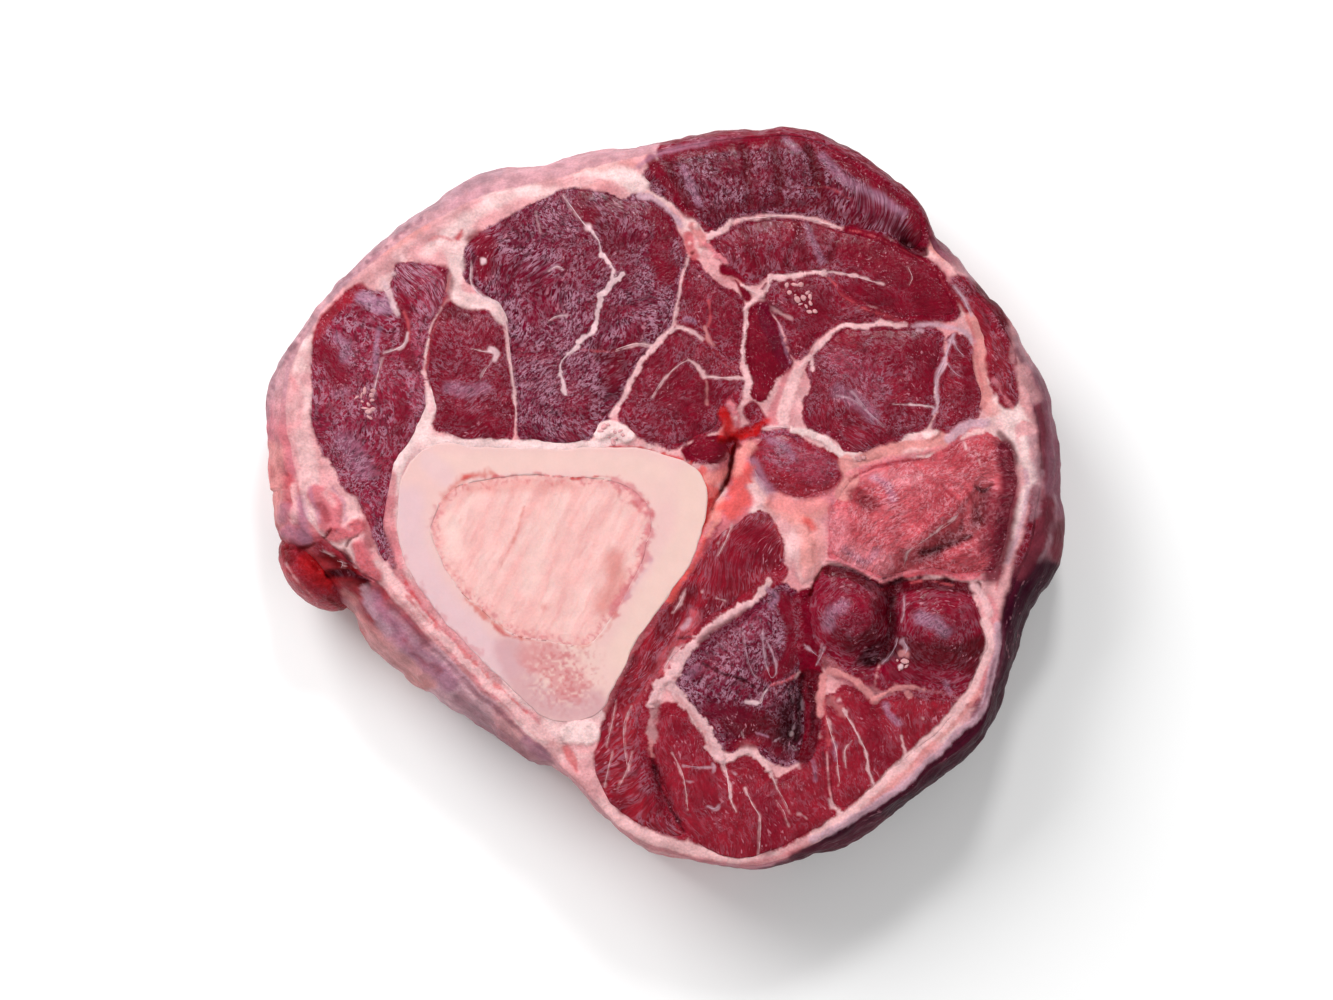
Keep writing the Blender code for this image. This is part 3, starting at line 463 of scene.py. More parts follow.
UPPER_SEAM_STROKES = (
    web(FLESH_CRIMSON, (1.2, 0.5), (648, 208), (662, 218), (674, 232), (682, 250)),
    web(FLESH_CRIMSON, (1.0, 0.5), (668, 194), (684, 206), (698, 216), (708, 226)),
    web(FLESH_CRIMSON, (1.6, 0.6), (692, 264), (698, 282), (702, 300), (704, 320)),
    web(FLESH_CRIMSON, (1.1, 0.5), (716, 244), (732, 256), (744, 268), (756, 280)),
    web(FLESH_WET, (1.0, 0.5), (722, 268), (736, 276), (748, 298)),
    web(FLESH, (0.8, 0.4), (690, 333), (708, 343), (722, 355), (736, 366)),
    face(LILAC_PALE, (0.5, 0.4, 1.0, 0.2), (640, 196), (654, 199), (664, 206), (674, 216), (682, 227)),
    face(SEAM_RED, (0.9, 0.7, 0.8), (689, 236), (692, 248), (696, 256)),
    face(SEAM_TAN, (0.9, 0.6, 1.0, 0.35), (693, 227), (700, 236), (702, 244)),
    face(FAT_PALE, (0.5, 0.6, 0.9, 0.3), (696, 226)),
    face(FAT_PALE, (0.35, 0.4, 0.9, 0.2), (691, 243)),
    # A small dark spot, sunk: dark blood and painted shade.
    face(DARK_BLOOD_AND_SHADE, (0.4, 0.5, 0.9, -0.3), (694, 253)),
    face(FAT_PINK, (0.5, 0.5, 1.0, 0.2), (704, 250), (706, 262), (713, 271), (719, 277)),
    face(SEAM, (0.5, 0.35, 1.0, 0.25, 0.4), (709, 236), (721, 230), (731, 223), (742, 219)),
    face(SEAM, (0.35, 0.3, 1.0, 0.15), (742, 219), (760, 218), (780, 216), (800, 216)),
    face(SEAM, (0.3, 0.3, 0.85), (800, 216), (820, 222), (840, 227)),
    face(SALMON_LIGHT, (0.4, 0.4, 1.0, 0.3, 0.4), (706, 244), (712, 250), (719, 257), (727, 263)),
    face(SEAM, (0.28, 0.4, 0.85, 0.1), (689, 258), (686, 268), (682, 278), (680, 292), (677, 304),
        (675, 316), (671, 328)),
    face(SEAM_RED, (0.25, 0.5, 0.7), (708, 300), (710, 314), (708, 326)),
    face(SEAM_TAN, (0.4, 0.5, 0.8, 0.15), (705, 328), (708, 340), (714, 346)),
    face(SEAM_TAN, (0.18, 0.4, 0.8), (720, 275), (733, 278), (743, 286)),
    face(SEAM, (0.35, 0.35, 1.0, 0.15, 0.3), (743, 286), (750, 291), (757, 294)),
    face(FAT_PALE, (0.8, 0.6, 1.0, 0.3, 0.3), (760, 294)),
    face(SEAM, (0.35, 0.35, 1.0, 0.15), (766, 290), (769, 282), (769, 275)),
    face(SEAM, (0.45, 0.35, 1.0, 0.2), (757, 298), (751, 303), (746, 309)),
    face(FAT_DULL, (0.35, 0.4, 0.8), (763, 299), (771, 307), (780, 313), (790, 318)),
    face(SEAM, (0.32, 0.35, 1.0, 0.15, 0.35), (746, 309), (746, 325), (744, 342), (743, 354),
        (745, 366)),
    face(SEAM, (0.65, 0.4, 1.0, 0.25, 0.35), (746, 368), (748, 382), (746, 394)),
    face(SEAM, (0.38, 0.3, 1.0, 0.12, 0.3), (769, 276), (782, 278), (800, 275), (826, 271)),
    face(SEAM, (0.2, 0.3, 0.85), (826, 272), (845, 274), (862, 279), (882, 285)),
    face(FLESH_WET, (1.0, 0.6), (846, 228), (870, 236), (900, 248), (922, 260), (940, 278), (952, 300)),
    face(SEAM_RED, (0.12, 0.3, 0.9), (838, 227), (860, 233), (885, 242), (905, 251), (925, 262),
        (938, 275), (950, 292)),
    face(SEAM, (0.5, 0.3, 1.0, 0.12, 0.35), (672, 328), (662, 338), (650, 351), (638, 368), (628, 386),
        (620, 402), (612, 416)),
    face(SEAM, (0.3, 0.4, 0.85), (664, 337), (672, 330), (682, 329), (693, 333), (702, 340)),
    face(SEAM_RED, (0.12, 0.35, 0.7), (713, 352), (722, 362), (738, 372)),
    face(SHEEN_LILAC, (0.6, 0.8, 0.6), (686, 320), (694, 322)),
    web(FAT_WHITE, (1.5, 0.5, 1.0, 0.5), (600, 432), (612, 428), (628, 436)),
    face(FLESH, (0.8, 0.4), (832, 280), (845, 294), (858, 306), (878, 314), (898, 319), (930, 321)),
    face(SEAM_RED, (0.14, 0.35, 0.85), (829, 279), (842, 294), (862, 309), (886, 316), (902, 320)),
    face(SEAM_RED, (0.12, 0.35, 0.8), (886, 310), (904, 304), (926, 301), (948, 299)),
    face(FLESH_DEEP, (1.4, 0.8), (764, 306), (770, 328), (780, 350), (786, 362)),
    face(SHEEN_LILAC, (0.25, 0.5, 0.6), (777, 322), (783, 342), (789, 362)),
    web(FLESH_CRIMSON, (1.2, 0.6), (800, 352), (808, 340), (820, 328), (836, 318)),
    face(SEAM, (0.5, 0.35, 1.0, 0.15, 0.3), (800, 366), (812, 355), (822, 342), (832, 333), (846, 327),
        (885, 325), (905, 324)),
    face(SEAM, (0.35, 0.35, 1.0, 0.1), (812, 357), (812, 370)),
    face(LILAC_PALE, (0.45, 0.5, 0.85), (912, 325), (930, 324), (950, 327), (966, 333), (974, 342)),
    face(LILAC_PALE, (0.35, 0.5, 0.85, 0.0, 0.3), (953, 334), (948, 350), (944, 362), (936, 380),
        (937, 394), (939, 402), (933, 414)),
    face(LILAC_PALE, (0.15, 0.3, 0.7), (953, 340), (958, 350), (964, 356)),
    face(LILAC_PALE, (0.12, 0.3, 0.6), (946, 362), (954, 372), (962, 378)),
    face(SEAM_RED, (0.2, 0.5, 0.5), (952, 292), (964, 312), (974, 338), (980, 370), (984, 396)),
)

# Top inner and deep right muscles
TOP_INNER_STROKES = (
    face(SHEEN_LILAC, (0.7, 1.0, 0.5), (806, 226), (814, 244), (822, 262)),
    face(FLESH_WET, (2.4, 2.0, 0.9), (850, 250), (878, 264), (905, 278), (935, 300)),
    face(FLESH_WET, (1.6, 1.4, 0.85), (862, 290), (895, 300), (925, 310)),
    face(FLESH_MAROON, (0.5, 1.4, 0.6, -0.25), (800, 226), (792, 250), (786, 266)),
    face(FLESH_MAROON, (0.7, 1.4, 0.6, -0.2), (836, 240), (830, 260)),
    face(SALMON, (0.3, 0.6, 0.55), (866, 246), (871, 256), (879, 262)),
    face(SEAM, (0.15, 0.5, 0.6), (908, 268), (912, 278), (909, 286)),
    face(FLESH_WET, (2.0, 1.6, 0.7), (800, 292), (820, 300), (812, 330)),
    face(FLESH_WET, (3.4, 2.8, 0.75), (868, 252), (900, 262), (930, 284), (944, 304)),
    face(FLESH_WET, (2.0, 2.4, 0.6), (850, 292), (880, 306), (910, 316)),
)

DEEP_LOWER_STROKES = (
    face(FLESH_WET, (2.2, 1.6, 0.8), (665, 392), (685, 380), (705, 392), (690, 412)),
    face(SEAM, (0.18, 0.35, 0.75), (652, 397), (660, 384), (668, 375), (678, 366), (687, 361)),
    face(SEAM, (0.4, 0.4, 0.85, 0.0, 0.3), (688, 361), (696, 367), (704, 377)),
    face(SEAM, (0.25, 0.35, 0.8), (704, 377), (716, 378), (728, 378), (742, 379)),
    face(SEAM_TAN, (0.2, 0.5, 0.6), (706, 380), (708, 392), (706, 404)),
)

RIGHT_ROUND_STROKES = (
    face(FLESH_ROSY, (2.6, 2.4, 0.5), (835, 360), (860, 372), (880, 390)),
    face(FLESH_WET, (2.0, 1.8, 0.8), (912, 348), (925, 368), (918, 392)),
    face(SHEEN_LILAC, (1.6, 1.8, 0.45), (838, 392), (858, 402), (872, 416)),
    face(VEIN, (0.1, 0.25, 0.9), (893, 405), (915, 406), (934, 406)),
    face(LILAC_PALE, (0.12, 0.4, 0.6), (852, 392), (862, 404), (870, 414), (884, 426)),
    face(LILAC_PALE, (0.1, 0.4, 0.5), (836, 396), (852, 400), (866, 410)),
    face(LILAC_PALE, (0.35, 0.5, 0.7), (917, 328), (923, 330)),
    face(FLESH_WET, (1.4, 1.4, 0.6), (960, 350), (968, 372), (970, 398), (955, 420)),
)

RIGHT_OUTER_STROKES = (
    face(FLESH, (2.2, 0.7), (960, 284), (978, 296), (992, 314), (1002, 336), (1006, 358), (1006, 380),
        (1008, 398)),
    face(SALMON_DARK, (1.2, 1.4, 0.5), (996, 340), (1002, 362), (1003, 386)),
    face(FLESH_MAROON, (1.0, 0.9, 0.8), (982, 290), (996, 308), (1006, 326)),
    face(LILAC_PALE, (0.35, 0.6, 0.75), (954, 286), (964, 300), (971, 316)),
    face(FAT_DULL, (0.6, 0.9, 0.6), (1010, 330), (1015, 342), (1012, 360)),
    face(SALMON_LIGHT, (0.4, 0.6, 0.6, 0.0, 0.4), (996, 380), (1004, 396), (1012, 408)),
    face(BLOOD, (0.4, 1.0, 0.35), (1024, 421)),
)

# Seams round oval and flap
FLAP_SEAM_STROKES = (
    face(FAT_ROSE, (1.9, 0.8, 0.7), (792, 376), (786, 392), (779, 408), (776, 420)),
    face(FAT_PALE, (1.3, 0.8, 1.0, 0.2), (796, 374), (790, 390), (785, 406), (782, 420)),
    face(SEAM, (0.35, 0.35, 0.9, 0.15), (764, 429), (778, 427), (790, 428)),
    face(FAT_WHITE, (0.75, 0.35, 1.0, 0.3), (792, 430), (806, 431), (818, 437), (829, 444), (838, 452),
        (848, 457), (860, 457)),
    face(FAT_TAN, (1.8, 0.8, 0.9), (846, 464), (851, 478), (843, 492)),
    face(FAT_TAN, (1.5, 0.6, 1.0, 0.1), (862, 461), (884, 453), (905, 449), (925, 447), (942, 440)),
    face(FAT_PALE, (0.4, 0.6, 0.7, 0.2), (904, 454), (914, 451), (926, 450)),
    face(SALMON_LIGHT, (0.4, 0.5, 0.7), (846, 474), (866, 466), (890, 459), (915, 455), (940, 447)),
    web(FAT_WHITE, (0.6, 0.5, 0.7, 0.3), (868, 458), (878, 454)),
    web(FAT_WHITE, (0.7, 0.6, 0.8, 0.4), (926, 436), (936, 434)),
    face(LILAC_PALE, (0.9, 0.6, 0.9, 0.2), (948, 440), (960, 431), (974, 424), (988, 424)),
    face(FAT_WHITE, (0.35, 0.4, 0.7), (962, 440), (972, 434), (985, 433)),
    face(FLESH_MAROON, (0.6, 0.9, 0.7), (1000, 434), (1009, 446), (1016, 462)),
    face(LILAC_PALE, (0.5, 0.8, 0.75), (1026, 470), (1028, 490), (1024, 515), (1016, 540), (1008, 562)),
    face(FAT_WHITE, (0.25, 0.4, 0.7), (1034, 470), (1034, 486), (1024, 486), (1020, 500), (1018, 520)),
    face(SEAM_RED, (0.15, 0.4, 0.5), (1017, 490), (1014, 515), (1006, 545), (1001, 570), (996, 590)),
)

# Pink fat and blood between bone and oval
KNOT_STROKES = (
    web(FAT_ROSE, (3.0, 1.2), (748, 450), (742, 475), (738, 500), (728, 520), (712, 545), (692, 575),
        (672, 602), (656, 626)),
    web(FLESH, (1.6, 0.7), (735, 398), (722, 412), (706, 424), (698, 436)),
    web(FLESH, (1.8, 0.7), (752, 410), (760, 424), (746, 434), (722, 448), (704, 456)),
    web(FLESH_ROSY, (1.0, 0.6), (764, 436), (780, 434), (796, 440)),
    face(SALMON_LIGHT, (0.8, 0.7, 1.0, 0.2), (731, 404), (736, 414), (738, 424)),
    face(FAT_PALE, (0.4, 0.6, 0.8, 0.2), (736, 417)),
    face(BLOOD, (0.9, 1.6, 0.85), (726, 410), (727, 424), (722, 436)),
    # Dark blood, and painted shade along the sunk crack that runs down from it.
    face(DARK_BLOOD_AND_SHADE, (0.7, 1.0, 0.9, -0.5), (728, 432), (738, 436), (748, 432)),
    face(BLOOD, (0.5, 1.2, 0.8), (752, 434), (760, 425), (768, 420)),
    face(BLOOD, (0.6, 1.4, 0.7), (735, 445), (731, 462), (724, 484)),
    face(DARK_BLOOD_AND_SHADE, (0.3, 0.5, 0.95, -1.0), (736, 442), (732, 456), (729, 470), (723, 484), (716, 496),
        (713, 508)),
    face(SALMON_LIGHT, (0.8, 0.8, 0.8), (712, 474), (718, 470), (724, 462), (729, 456)),
    face(SALMON_LIGHT, (1.5, 1.2, 0.8), (745, 446), (742, 462), (738, 480), (732, 496)),
    face(FAT_PALE, (0.5, 0.8, 0.8, 0.3), (742, 452)),
    face(FAT_PALE, (0.6, 0.8, 0.8, 0.3), (752, 445)),
    face(SEAM_RED, (0.2, 0.5, 0.7, -0.2), (742, 466), (748, 474), (752, 482)),
    web(FAT_PALE, (1.8, 1.2, 1.0, 0.3), (757, 486), (762, 498)),
    web(SALMON_LIGHT, (1.6, 1.0, 0.9), (776, 502), (796, 508), (818, 502), (836, 494)),
    face(FAT_TAN, (2.2, 1.2, 0.6), (800, 520), (812, 532), (812, 552), (808, 568)),
    web(FAT_PALE, (1.9, 1.2, 1.0, 0.5), (800, 530), (803, 550), (805, 572)),
    web(FAT_PINK, (0.8, 0.8, 1.0, 0.3), (806, 572), (806, 592)),
    face(BLOOD, (0.5, 0.8, 0.6, -0.2), (809, 522)),
    face(DARK_BLOOD_AND_SHADE, (0.25, 0.4, 0.9, -0.6), (821, 568), (814, 582), (810, 594)),
    face(BLOOD, (0.2, 0.5, 0.9), (610, 446), (640, 448), (660, 455), (685, 464), (701, 474), (708, 498),
        (706, 530), (698, 552)),
    face(BLOOD, (0.5, 1.1, 0.5), (712, 515), (704, 538), (690, 562), (672, 590)),
    face(FLESH_ROSY, (3.0, 2.0, 0.55), (776, 452), (800, 462), (822, 470)),
    face(SALMON_DARK, (1.0, 1.6, 0.6), (790, 490), (812, 494), (832, 484)),
    face(LILAC, (1.0, 1.2, 0.75), (754, 462), (760, 474), (768, 486), (774, 496)),
    face(SHEEN_LILAC, (0.8, 1.4, 0.6), (770, 440), (784, 446), (792, 456)),
    face(LILAC_PALE, (0.12, 0.4, 0.7), (752, 462), (758, 478), (768, 492)),
    face(KNOT_PINK, (2.2, 1.6, 0.6), (776, 504), (796, 512), (816, 508)),
    face(KNOT_PINK, (1.6, 1.4, 0.5), (806, 536), (808, 560)),
    face(KNOT_RED, (0.9, 1.4, 0.75), (806, 520), (812, 527)),
    face(KNOT_RED, (1.5, 1.0, 0.8, 0.0, 0.5), (702, 474), (710, 500), (705, 526), (694, 550),
        (682, 572), (668, 596)),
    face(KNOT_PINK, (0.9, 0.8, 0.8, 0.0, 0.4), (722, 500), (716, 516), (708, 534)),
    face(KNOT_RED, (1.9, 1.6, 0.8, 0.0, 0.6), (746, 470), (738, 488), (742, 500), (730, 508)),
    face(KNOT_PINK, (1.3, 1.2, 0.8, 0.2), (750, 446), (742, 456), (738, 470)),
    face(KNOT_PINK, (1.0, 0.8, 0.8), (708, 478), (716, 475), (724, 471)),
    face(BLOOD, (0.35, 0.5, 0.8, 0.0, 0.5), (712, 498), (706, 520), (698, 542), (686, 566), (672, 590)),
    face(BLOOD, (0.45, 0.7, 0.8, 0.0, 0.6), (628, 449), (650, 453), (672, 457), (690, 463)),
    face(BLOOD, (1.1, 1.2, 0.75), (724, 412), (730, 427), (742, 432), (756, 430)),
    face(DARK_BLOOD_AND_SHADE, (0.6, 0.8, 0.9), (722, 440), (734, 438), (740, 444)),
    face(DARK_BLOOD_AND_SHADE, (0.5, 0.6, 0.95), (735, 446), (732, 462), (728, 476), (722, 487)),
    face(FLESH_WET, (3.4, 2.4, 0.6), (736, 552), (754, 538), (768, 552)),
    face(FLESH_WET, (2.6, 2.2, 0.5), (720, 580), (736, 576)),
)

LOWER_SEAM_STROKES = (
    web(FLESH_FIBROUS, (1.2, 0.6, 0.75), (716, 520), (705, 545), (688, 572), (668, 600), (650, 625),
        (634, 652), (620, 680), (608, 708)),
    face(SALMON_LIGHT, (0.35, 0.7, 0.6, 0.0, 0.4), (712, 522), (700, 545), (686, 568), (668, 594)),
    web(FLESH_BROWN, (1.6, 0.6), (780, 572), (760, 590), (735, 604), (712, 620)),
    web(FLESH_BROWN, (1.6, 0.6), (700, 632), (680, 650), (664, 672), (652, 700), (648, 740), (655, 780),
        (668, 812), (682, 834)),
    web(FLESH_BROWN, (1.6, 0.6), (664, 712), (676, 712), (682, 722), (674, 736)),
    face(FLESH_WET, (1.6, 1.8, 0.5), (756, 530), (765, 545), (750, 565)),
    face(FLESH_MAROON, (1.5, 1.6, 0.7), (690, 590), (674, 612), (660, 634)),
    face(FLESH_MAROON, (1.2, 1.4, 0.5), (634, 660), (622, 684), (614, 706)),
    face(FLESH_WET, (1.3, 1.2, 0.6), (700, 622), (712, 606), (730, 600)),
    face(SEAM, (0.15, 0.5, 0.5), (732, 524), (726, 540), (718, 556)),
    face(VEIN, (0.12, 0.4, 0.5), (726, 530), (718, 544)),
    face(SEAM_RED, (0.2, 0.5, 0.5), (774, 524), (782, 540), (781, 556)),
    face(SALMON, (1.3, 1.0, 0.75, 0.0, 0.7), (696, 616), (684, 634), (668, 656), (654, 676)),
    face(LILAC_PALE, (0.55, 0.8, 0.75), (690, 620), (684, 628)),
    face(FLESH_MAROON, (0.2, 0.5, 0.8, -0.3), (678, 640), (684, 640), (690, 638)),
    face(SEAM, (0.3, 0.6, 0.65, 0.0, 0.6), (682, 646), (672, 656), (664, 668)),
    face(SEAM, (0.16, 0.5, 0.6, 0.0, 0.4), (686, 590), (680, 602), (674, 612)),
    face(SEAM, (0.35, 0.5, 0.8, 0.0, 0.4), (703, 591)),
    face(SEAM, (0.35, 0.4, 0.85, 0.0, 0.3), (717, 598), (724, 600)),
    face(SALMON_DEEP, (1.0, 1.2, 0.65, 0.0, 0.6), (648, 686), (634, 704), (626, 720), (624, 742)),
    face(SEAM, (0.12, 0.5, 0.6), (631, 706), (624, 724), (624, 746), (628, 770)),
    face(SEAM, (0.12, 0.5, 0.6), (616, 700), (612, 724), (606, 748)),
    face(SEAM, (0.12, 0.5, 0.5), (612, 752), (608, 770), (604, 788)),
    face(SEAM, (0.1, 0.5, 0.5), (632, 752), (626, 772), (618, 790)),
    face(FLESH_WET, (1.0, 1.2, 0.5), (618, 690), (608, 720), (606, 745)),
    face(FLESH, (1.8, 1.6, 0.8), (640, 760), (650, 790), (664, 820)),
    face(SEAM, (0.62, 0.3, 1.0, 0.3, 0.6), (770, 583), (757, 597), (743, 607), (730, 614), (716, 626),
        (700, 637)),
    face(SEAM, (0.95, 0.35, 1.0, 0.35, 0.5), (706, 634), (690, 648), (679, 662), (669, 675), (659, 687),
        (653, 700)),
    face(SEAM, (1.1, 0.5, 1.0, 0.3, 0.4), (668, 682), (658, 694), (653, 706)),
    face(FAT_DULL, (0.8, 0.5, 0.85, 0.0, 0.5), (656, 704), (654, 720), (652, 738)),
    face(SALMON_DARK, (0.14, 0.4, 0.7, -0.3), (658, 712), (655, 722), (657, 730)),
    face(SEAM_TAN, (0.4, 0.5, 0.8, 0.0, 0.4), (651, 742), (652, 756)),
    face(SEAM, (0.95, 0.3, 1.0, 0.35, 0.6), (670, 684), (681, 697), (692, 712), (702, 727), (711, 742),
        (719, 755)),
    face(SEAM_TAN, (0.3, 0.6, 0.5, 0.0, 0.5), (678, 697), (690, 714), (702, 732), (712, 748)),
    face(SEAM, (0.7, 0.3, 1.0, 0.35, 0.5), (722, 757), (733, 757), (742, 750), (753, 752), (761, 761),
        (766, 768)),
    face(SEAM, (0.28, 0.4, 0.8, 0.0, 0.4), (766, 768), (772, 776), (777, 788)),
    face(SEAM, (0.14, 0.5, 0.45), (777, 788), (784, 800), (790, 812)),
    # Painted shade in the sunk dark line.
    face(FLESH_IN_SHADE, (0.3, 0.8, 0.9, -0.8), (652, 760), (658, 780), (664, 796), (673, 812), (685, 832)),
    web(FLESH_BROWN, (1.4, 0.6), (730, 765), (752, 762), (768, 778), (785, 790), (800, 778), (812, 764),
        (822, 745)),
)

DARK_CENTRE_STROKES = (
    web(FLESH_PURPLE, (1.5, 0.4), (682, 684), (700, 712), (716, 736), (732, 746)),
    web(FLESH_WET, (2.6, 0.6), (806, 600), (808, 625), (808, 650), (810, 672)),
    web(FLESH_MAROON, (2.4, 0.6), (810, 680), (810, 705), (808, 730), (804, 752)),
    face(FLESH_ROSY, (2.4, 2.2, 0.35), (712, 672), (725, 660), (738, 640), (752, 622)),
    face(FLESH_DEEP, (1.2, 1.4, 0.7), (703, 642), (726, 628), (748, 612)),
    face(FLESH_WET, (1.7, 1.4, 0.95), (784, 600), (792, 622), (794, 645), (786, 666), (770, 676)),
    face(FLESH, (0.9, 1.0, 0.7), (796, 600), (799, 622), (798, 648)),
    face(FLESH_MAROON, (3.2, 2.6, 0.85), (734, 720), (758, 726), (784, 732)),
    face(FLESH_DEEP, (1.6, 1.8, 0.7), (712, 710), (728, 712), (744, 714)),
    # Painted shade: this dark patch and the sunk dark lines below, in the crevice, the folds and the
    # crease.
    face(FLESH_IN_SHADE, (1.4, 2.2, 0.5), (782, 708), (790, 720), (784, 734)),
    face(FLESH_WET, (1.2, 1.2, 0.8), (728, 746), (746, 742), (766, 744), (780, 752)),
    face(SALMON_DARK, (0.4, 0.8, 0.7), (734, 746), (746, 742), (760, 742)),
    face(FLESH_IN_SHADE, (0.45, 1.0, 0.95, -0.7), (803, 676), (802, 694), (800, 714), (798, 740)),
    face(FLESH_MAROON, (1.2, 0.9), (811, 680), (813, 702), (812, 726), (806, 750)),
    face(FLESH_WET, (0.4, 0.8, 0.7, 0.3), (806, 690), (808, 714), (806, 736)),
    face(FLESH_IN_SHADE, (0.2, 0.7, 0.8, -0.5), (812, 686), (814, 708), (811, 734)),
    face(FLESH_IN_SHADE, (0.25, 0.7, 0.8, -0.5), (790, 690), (794, 710), (790, 736)),
    face(LILAC_PALE, (0.14, 0.4, 0.7), (805, 645), (812, 651), (819, 657)),
    face(LILAC_PALE, (0.12, 0.35, 0.7), (824, 648), (821, 657), (816, 665)),
    # Painted glints: the pale specks and short lines of the next five strokes, on the dark meat by the
    # crevice.
    face(LILAC_PALE, (0.13, 0.3, 0.8), (803, 692), (804, 708)),
    face(LILAC_PALE, (0.12, 0.3, 0.7), (797, 716), (794, 728)),
    face(LILAC_PALE, (0.1, 0.3, 0.7), (795, 694), (794, 700)),
    face(VEIN, (0.35, 0.3, 0.8), (792, 733)),
    face(LILAC_PALE, (0.22, 0.3, 0.85, 0.0, 0.4), (773, 742), (780, 737)),
    face(LILAC, (0.14, 0.4, 0.8), (756, 733), (768, 737)),
    face(VEIN, (0.22, 0.3, 0.7), (741, 733), (744, 737)),
    face(SHEEN_LILAC, (0.5, 0.9, 0.7), (768, 590), (776, 596), (770, 608)),
    face(SHEEN_LILAC, (0.9, 1.2, 0.4), (686, 676), (696, 668)),
    face(VEIN, (0.3, 0.3, 0.9, 0.2), (746, 702), (753, 703), (761, 703), (763, 696), (767, 690)),
    face(SALMON, (0.3, 0.4, 0.85, 0.25), (770, 687), (780, 684), (789, 680), (797, 674)),
    face(SEAM, (0.2, 0.3, 0.8), (796, 677), (799, 672)),
    face(FLESH_IN_SHADE, (0.22, 0.5, 0.8, -0.5), (702, 664), (718, 673), (733, 677), (745, 682), (756, 690),
        (763, 692), (770, 684)),
    face(LILAC_PALE, (0.1, 0.35, 0.5), (744, 632), (746, 652), (752, 672), (758, 680)),
    face(LILAC_PALE, (0.12, 0.35, 0.65), (763, 626), (763, 645), (765, 662), (771, 678), (776, 672),
        (773, 656), (766, 640)),
    face(FLESH_DEEP, (0.14, 0.35, 0.7), (766, 632), (767, 652), (772, 668)),
)

DOME_STROKES = (
    # Painted shade in the deep valley between the domes.
    face(FLESH_IN_SHADE, (1.0, 1.4), (891, 580), (893, 600), (893, 620), (890, 640), (882, 658),
        (866, 662)),
    face(FLESH_IN_SHADE, (0.8, 1.0), (884, 578), (900, 578)),
    face(FLESH_IN_SHADE, (0.5, 1.0, 0.7), (858, 662), (868, 652), (882, 640)),
    face(FLESH, (1.6, 0.9, 0.8), (826, 662), (850, 678), (872, 688), (892, 690)),
    face(FLESH_MAROON, (1.3, 0.7), (828, 570), (855, 576), (880, 590), (905, 586), (940, 584),
        (975, 588)),
    # The flap's lip: a pale edge line, and under it a painted shadow.
    face(SALMON_LIGHT, (0.3, 0.4, 0.85, 0.3), (826, 560), (842, 562), (860, 569), (880, 580),
        (902, 574), (929, 569), (953, 576), (986, 580)),
    face(FLESH_IN_SHADE, (0.2, 0.7, 1.0, -0.6), (828, 565), (846, 567), (862, 575), (880, 586), (902, 580),
        (929, 576), (953, 582)),
    face(SEAM_RED, (0.12, 0.3, 0.7), (910, 582), (930, 580), (952, 585)),
    face(SEAM, (0.7, 0.8, 0.9, 0.2), (972, 585), (984, 598), (991, 614)),
    web(FAT_ROSE, (1.0, 0.9, 0.6), (990, 600), (996, 620), (995, 645), (990, 668), (984, 688)),
    # Painted shade on the lower side of the right dome, turned from the light.
    face(FLESH_MAROON, (2.2, 2.4), (900, 648), (930, 654), (958, 654), (982, 646)),
    face(FLESH_MAROON, (1.4, 1.4, 0.7), (960, 664), (975, 668)),
    face(FLESH, (1.3, 0.6, 0.8), (900, 690), (930, 694), (960, 700), (974, 700)),
    # Painted highlight on the lit middle of the right dome.
    face(SHEEN_LILAC, (1.4, 1.6, 0.75), (920, 618), (934, 624), (944, 632)),
    face(DOME, (1.6, 2.0, 0.6), (904, 606), (920, 598), (945, 600)),
    face(LILAC_PALE, (0.12, 0.4, 0.75), (904, 596), (904, 612), (901, 622)),
    face(LILAC_PALE, (0.15, 0.4, 0.65), (882, 664), (890, 656), (896, 646), (898, 638)),
    face(LILAC_PALE, (0.3, 0.6, 0.6, 0.0, 0.4), (903, 640), (907, 648), (905, 654)),
    face(SEAM_TAN, (0.6, 0.5, 0.8), (902, 653), (908, 655)),
    face(VEIN, (0.62, 0.3, 0.95, 0.4), (901, 666)),
    # Painted highlight on the lit upper left of the left dome; painted shade on its lower and right
    # sides.
    face(SHEEN_LILAC, (1.2, 1.8, 0.55), (842, 606), (830, 616), (828, 628)),
    face(FLESH_MAROON, (1.6, 2.2, 0.8), (868, 640), (850, 644), (836, 638)),
    face(FLESH_MAROON, (1.6, 2.2, 0.8), (878, 600), (880, 620), (872, 636)),
    face(LILAC_PALE, (0.1, 0.4, 0.7), (806, 648), (818, 656)),
    face(LILAC_PALE, (0.1, 0.4, 0.5), (822, 645), (818, 662)),
)

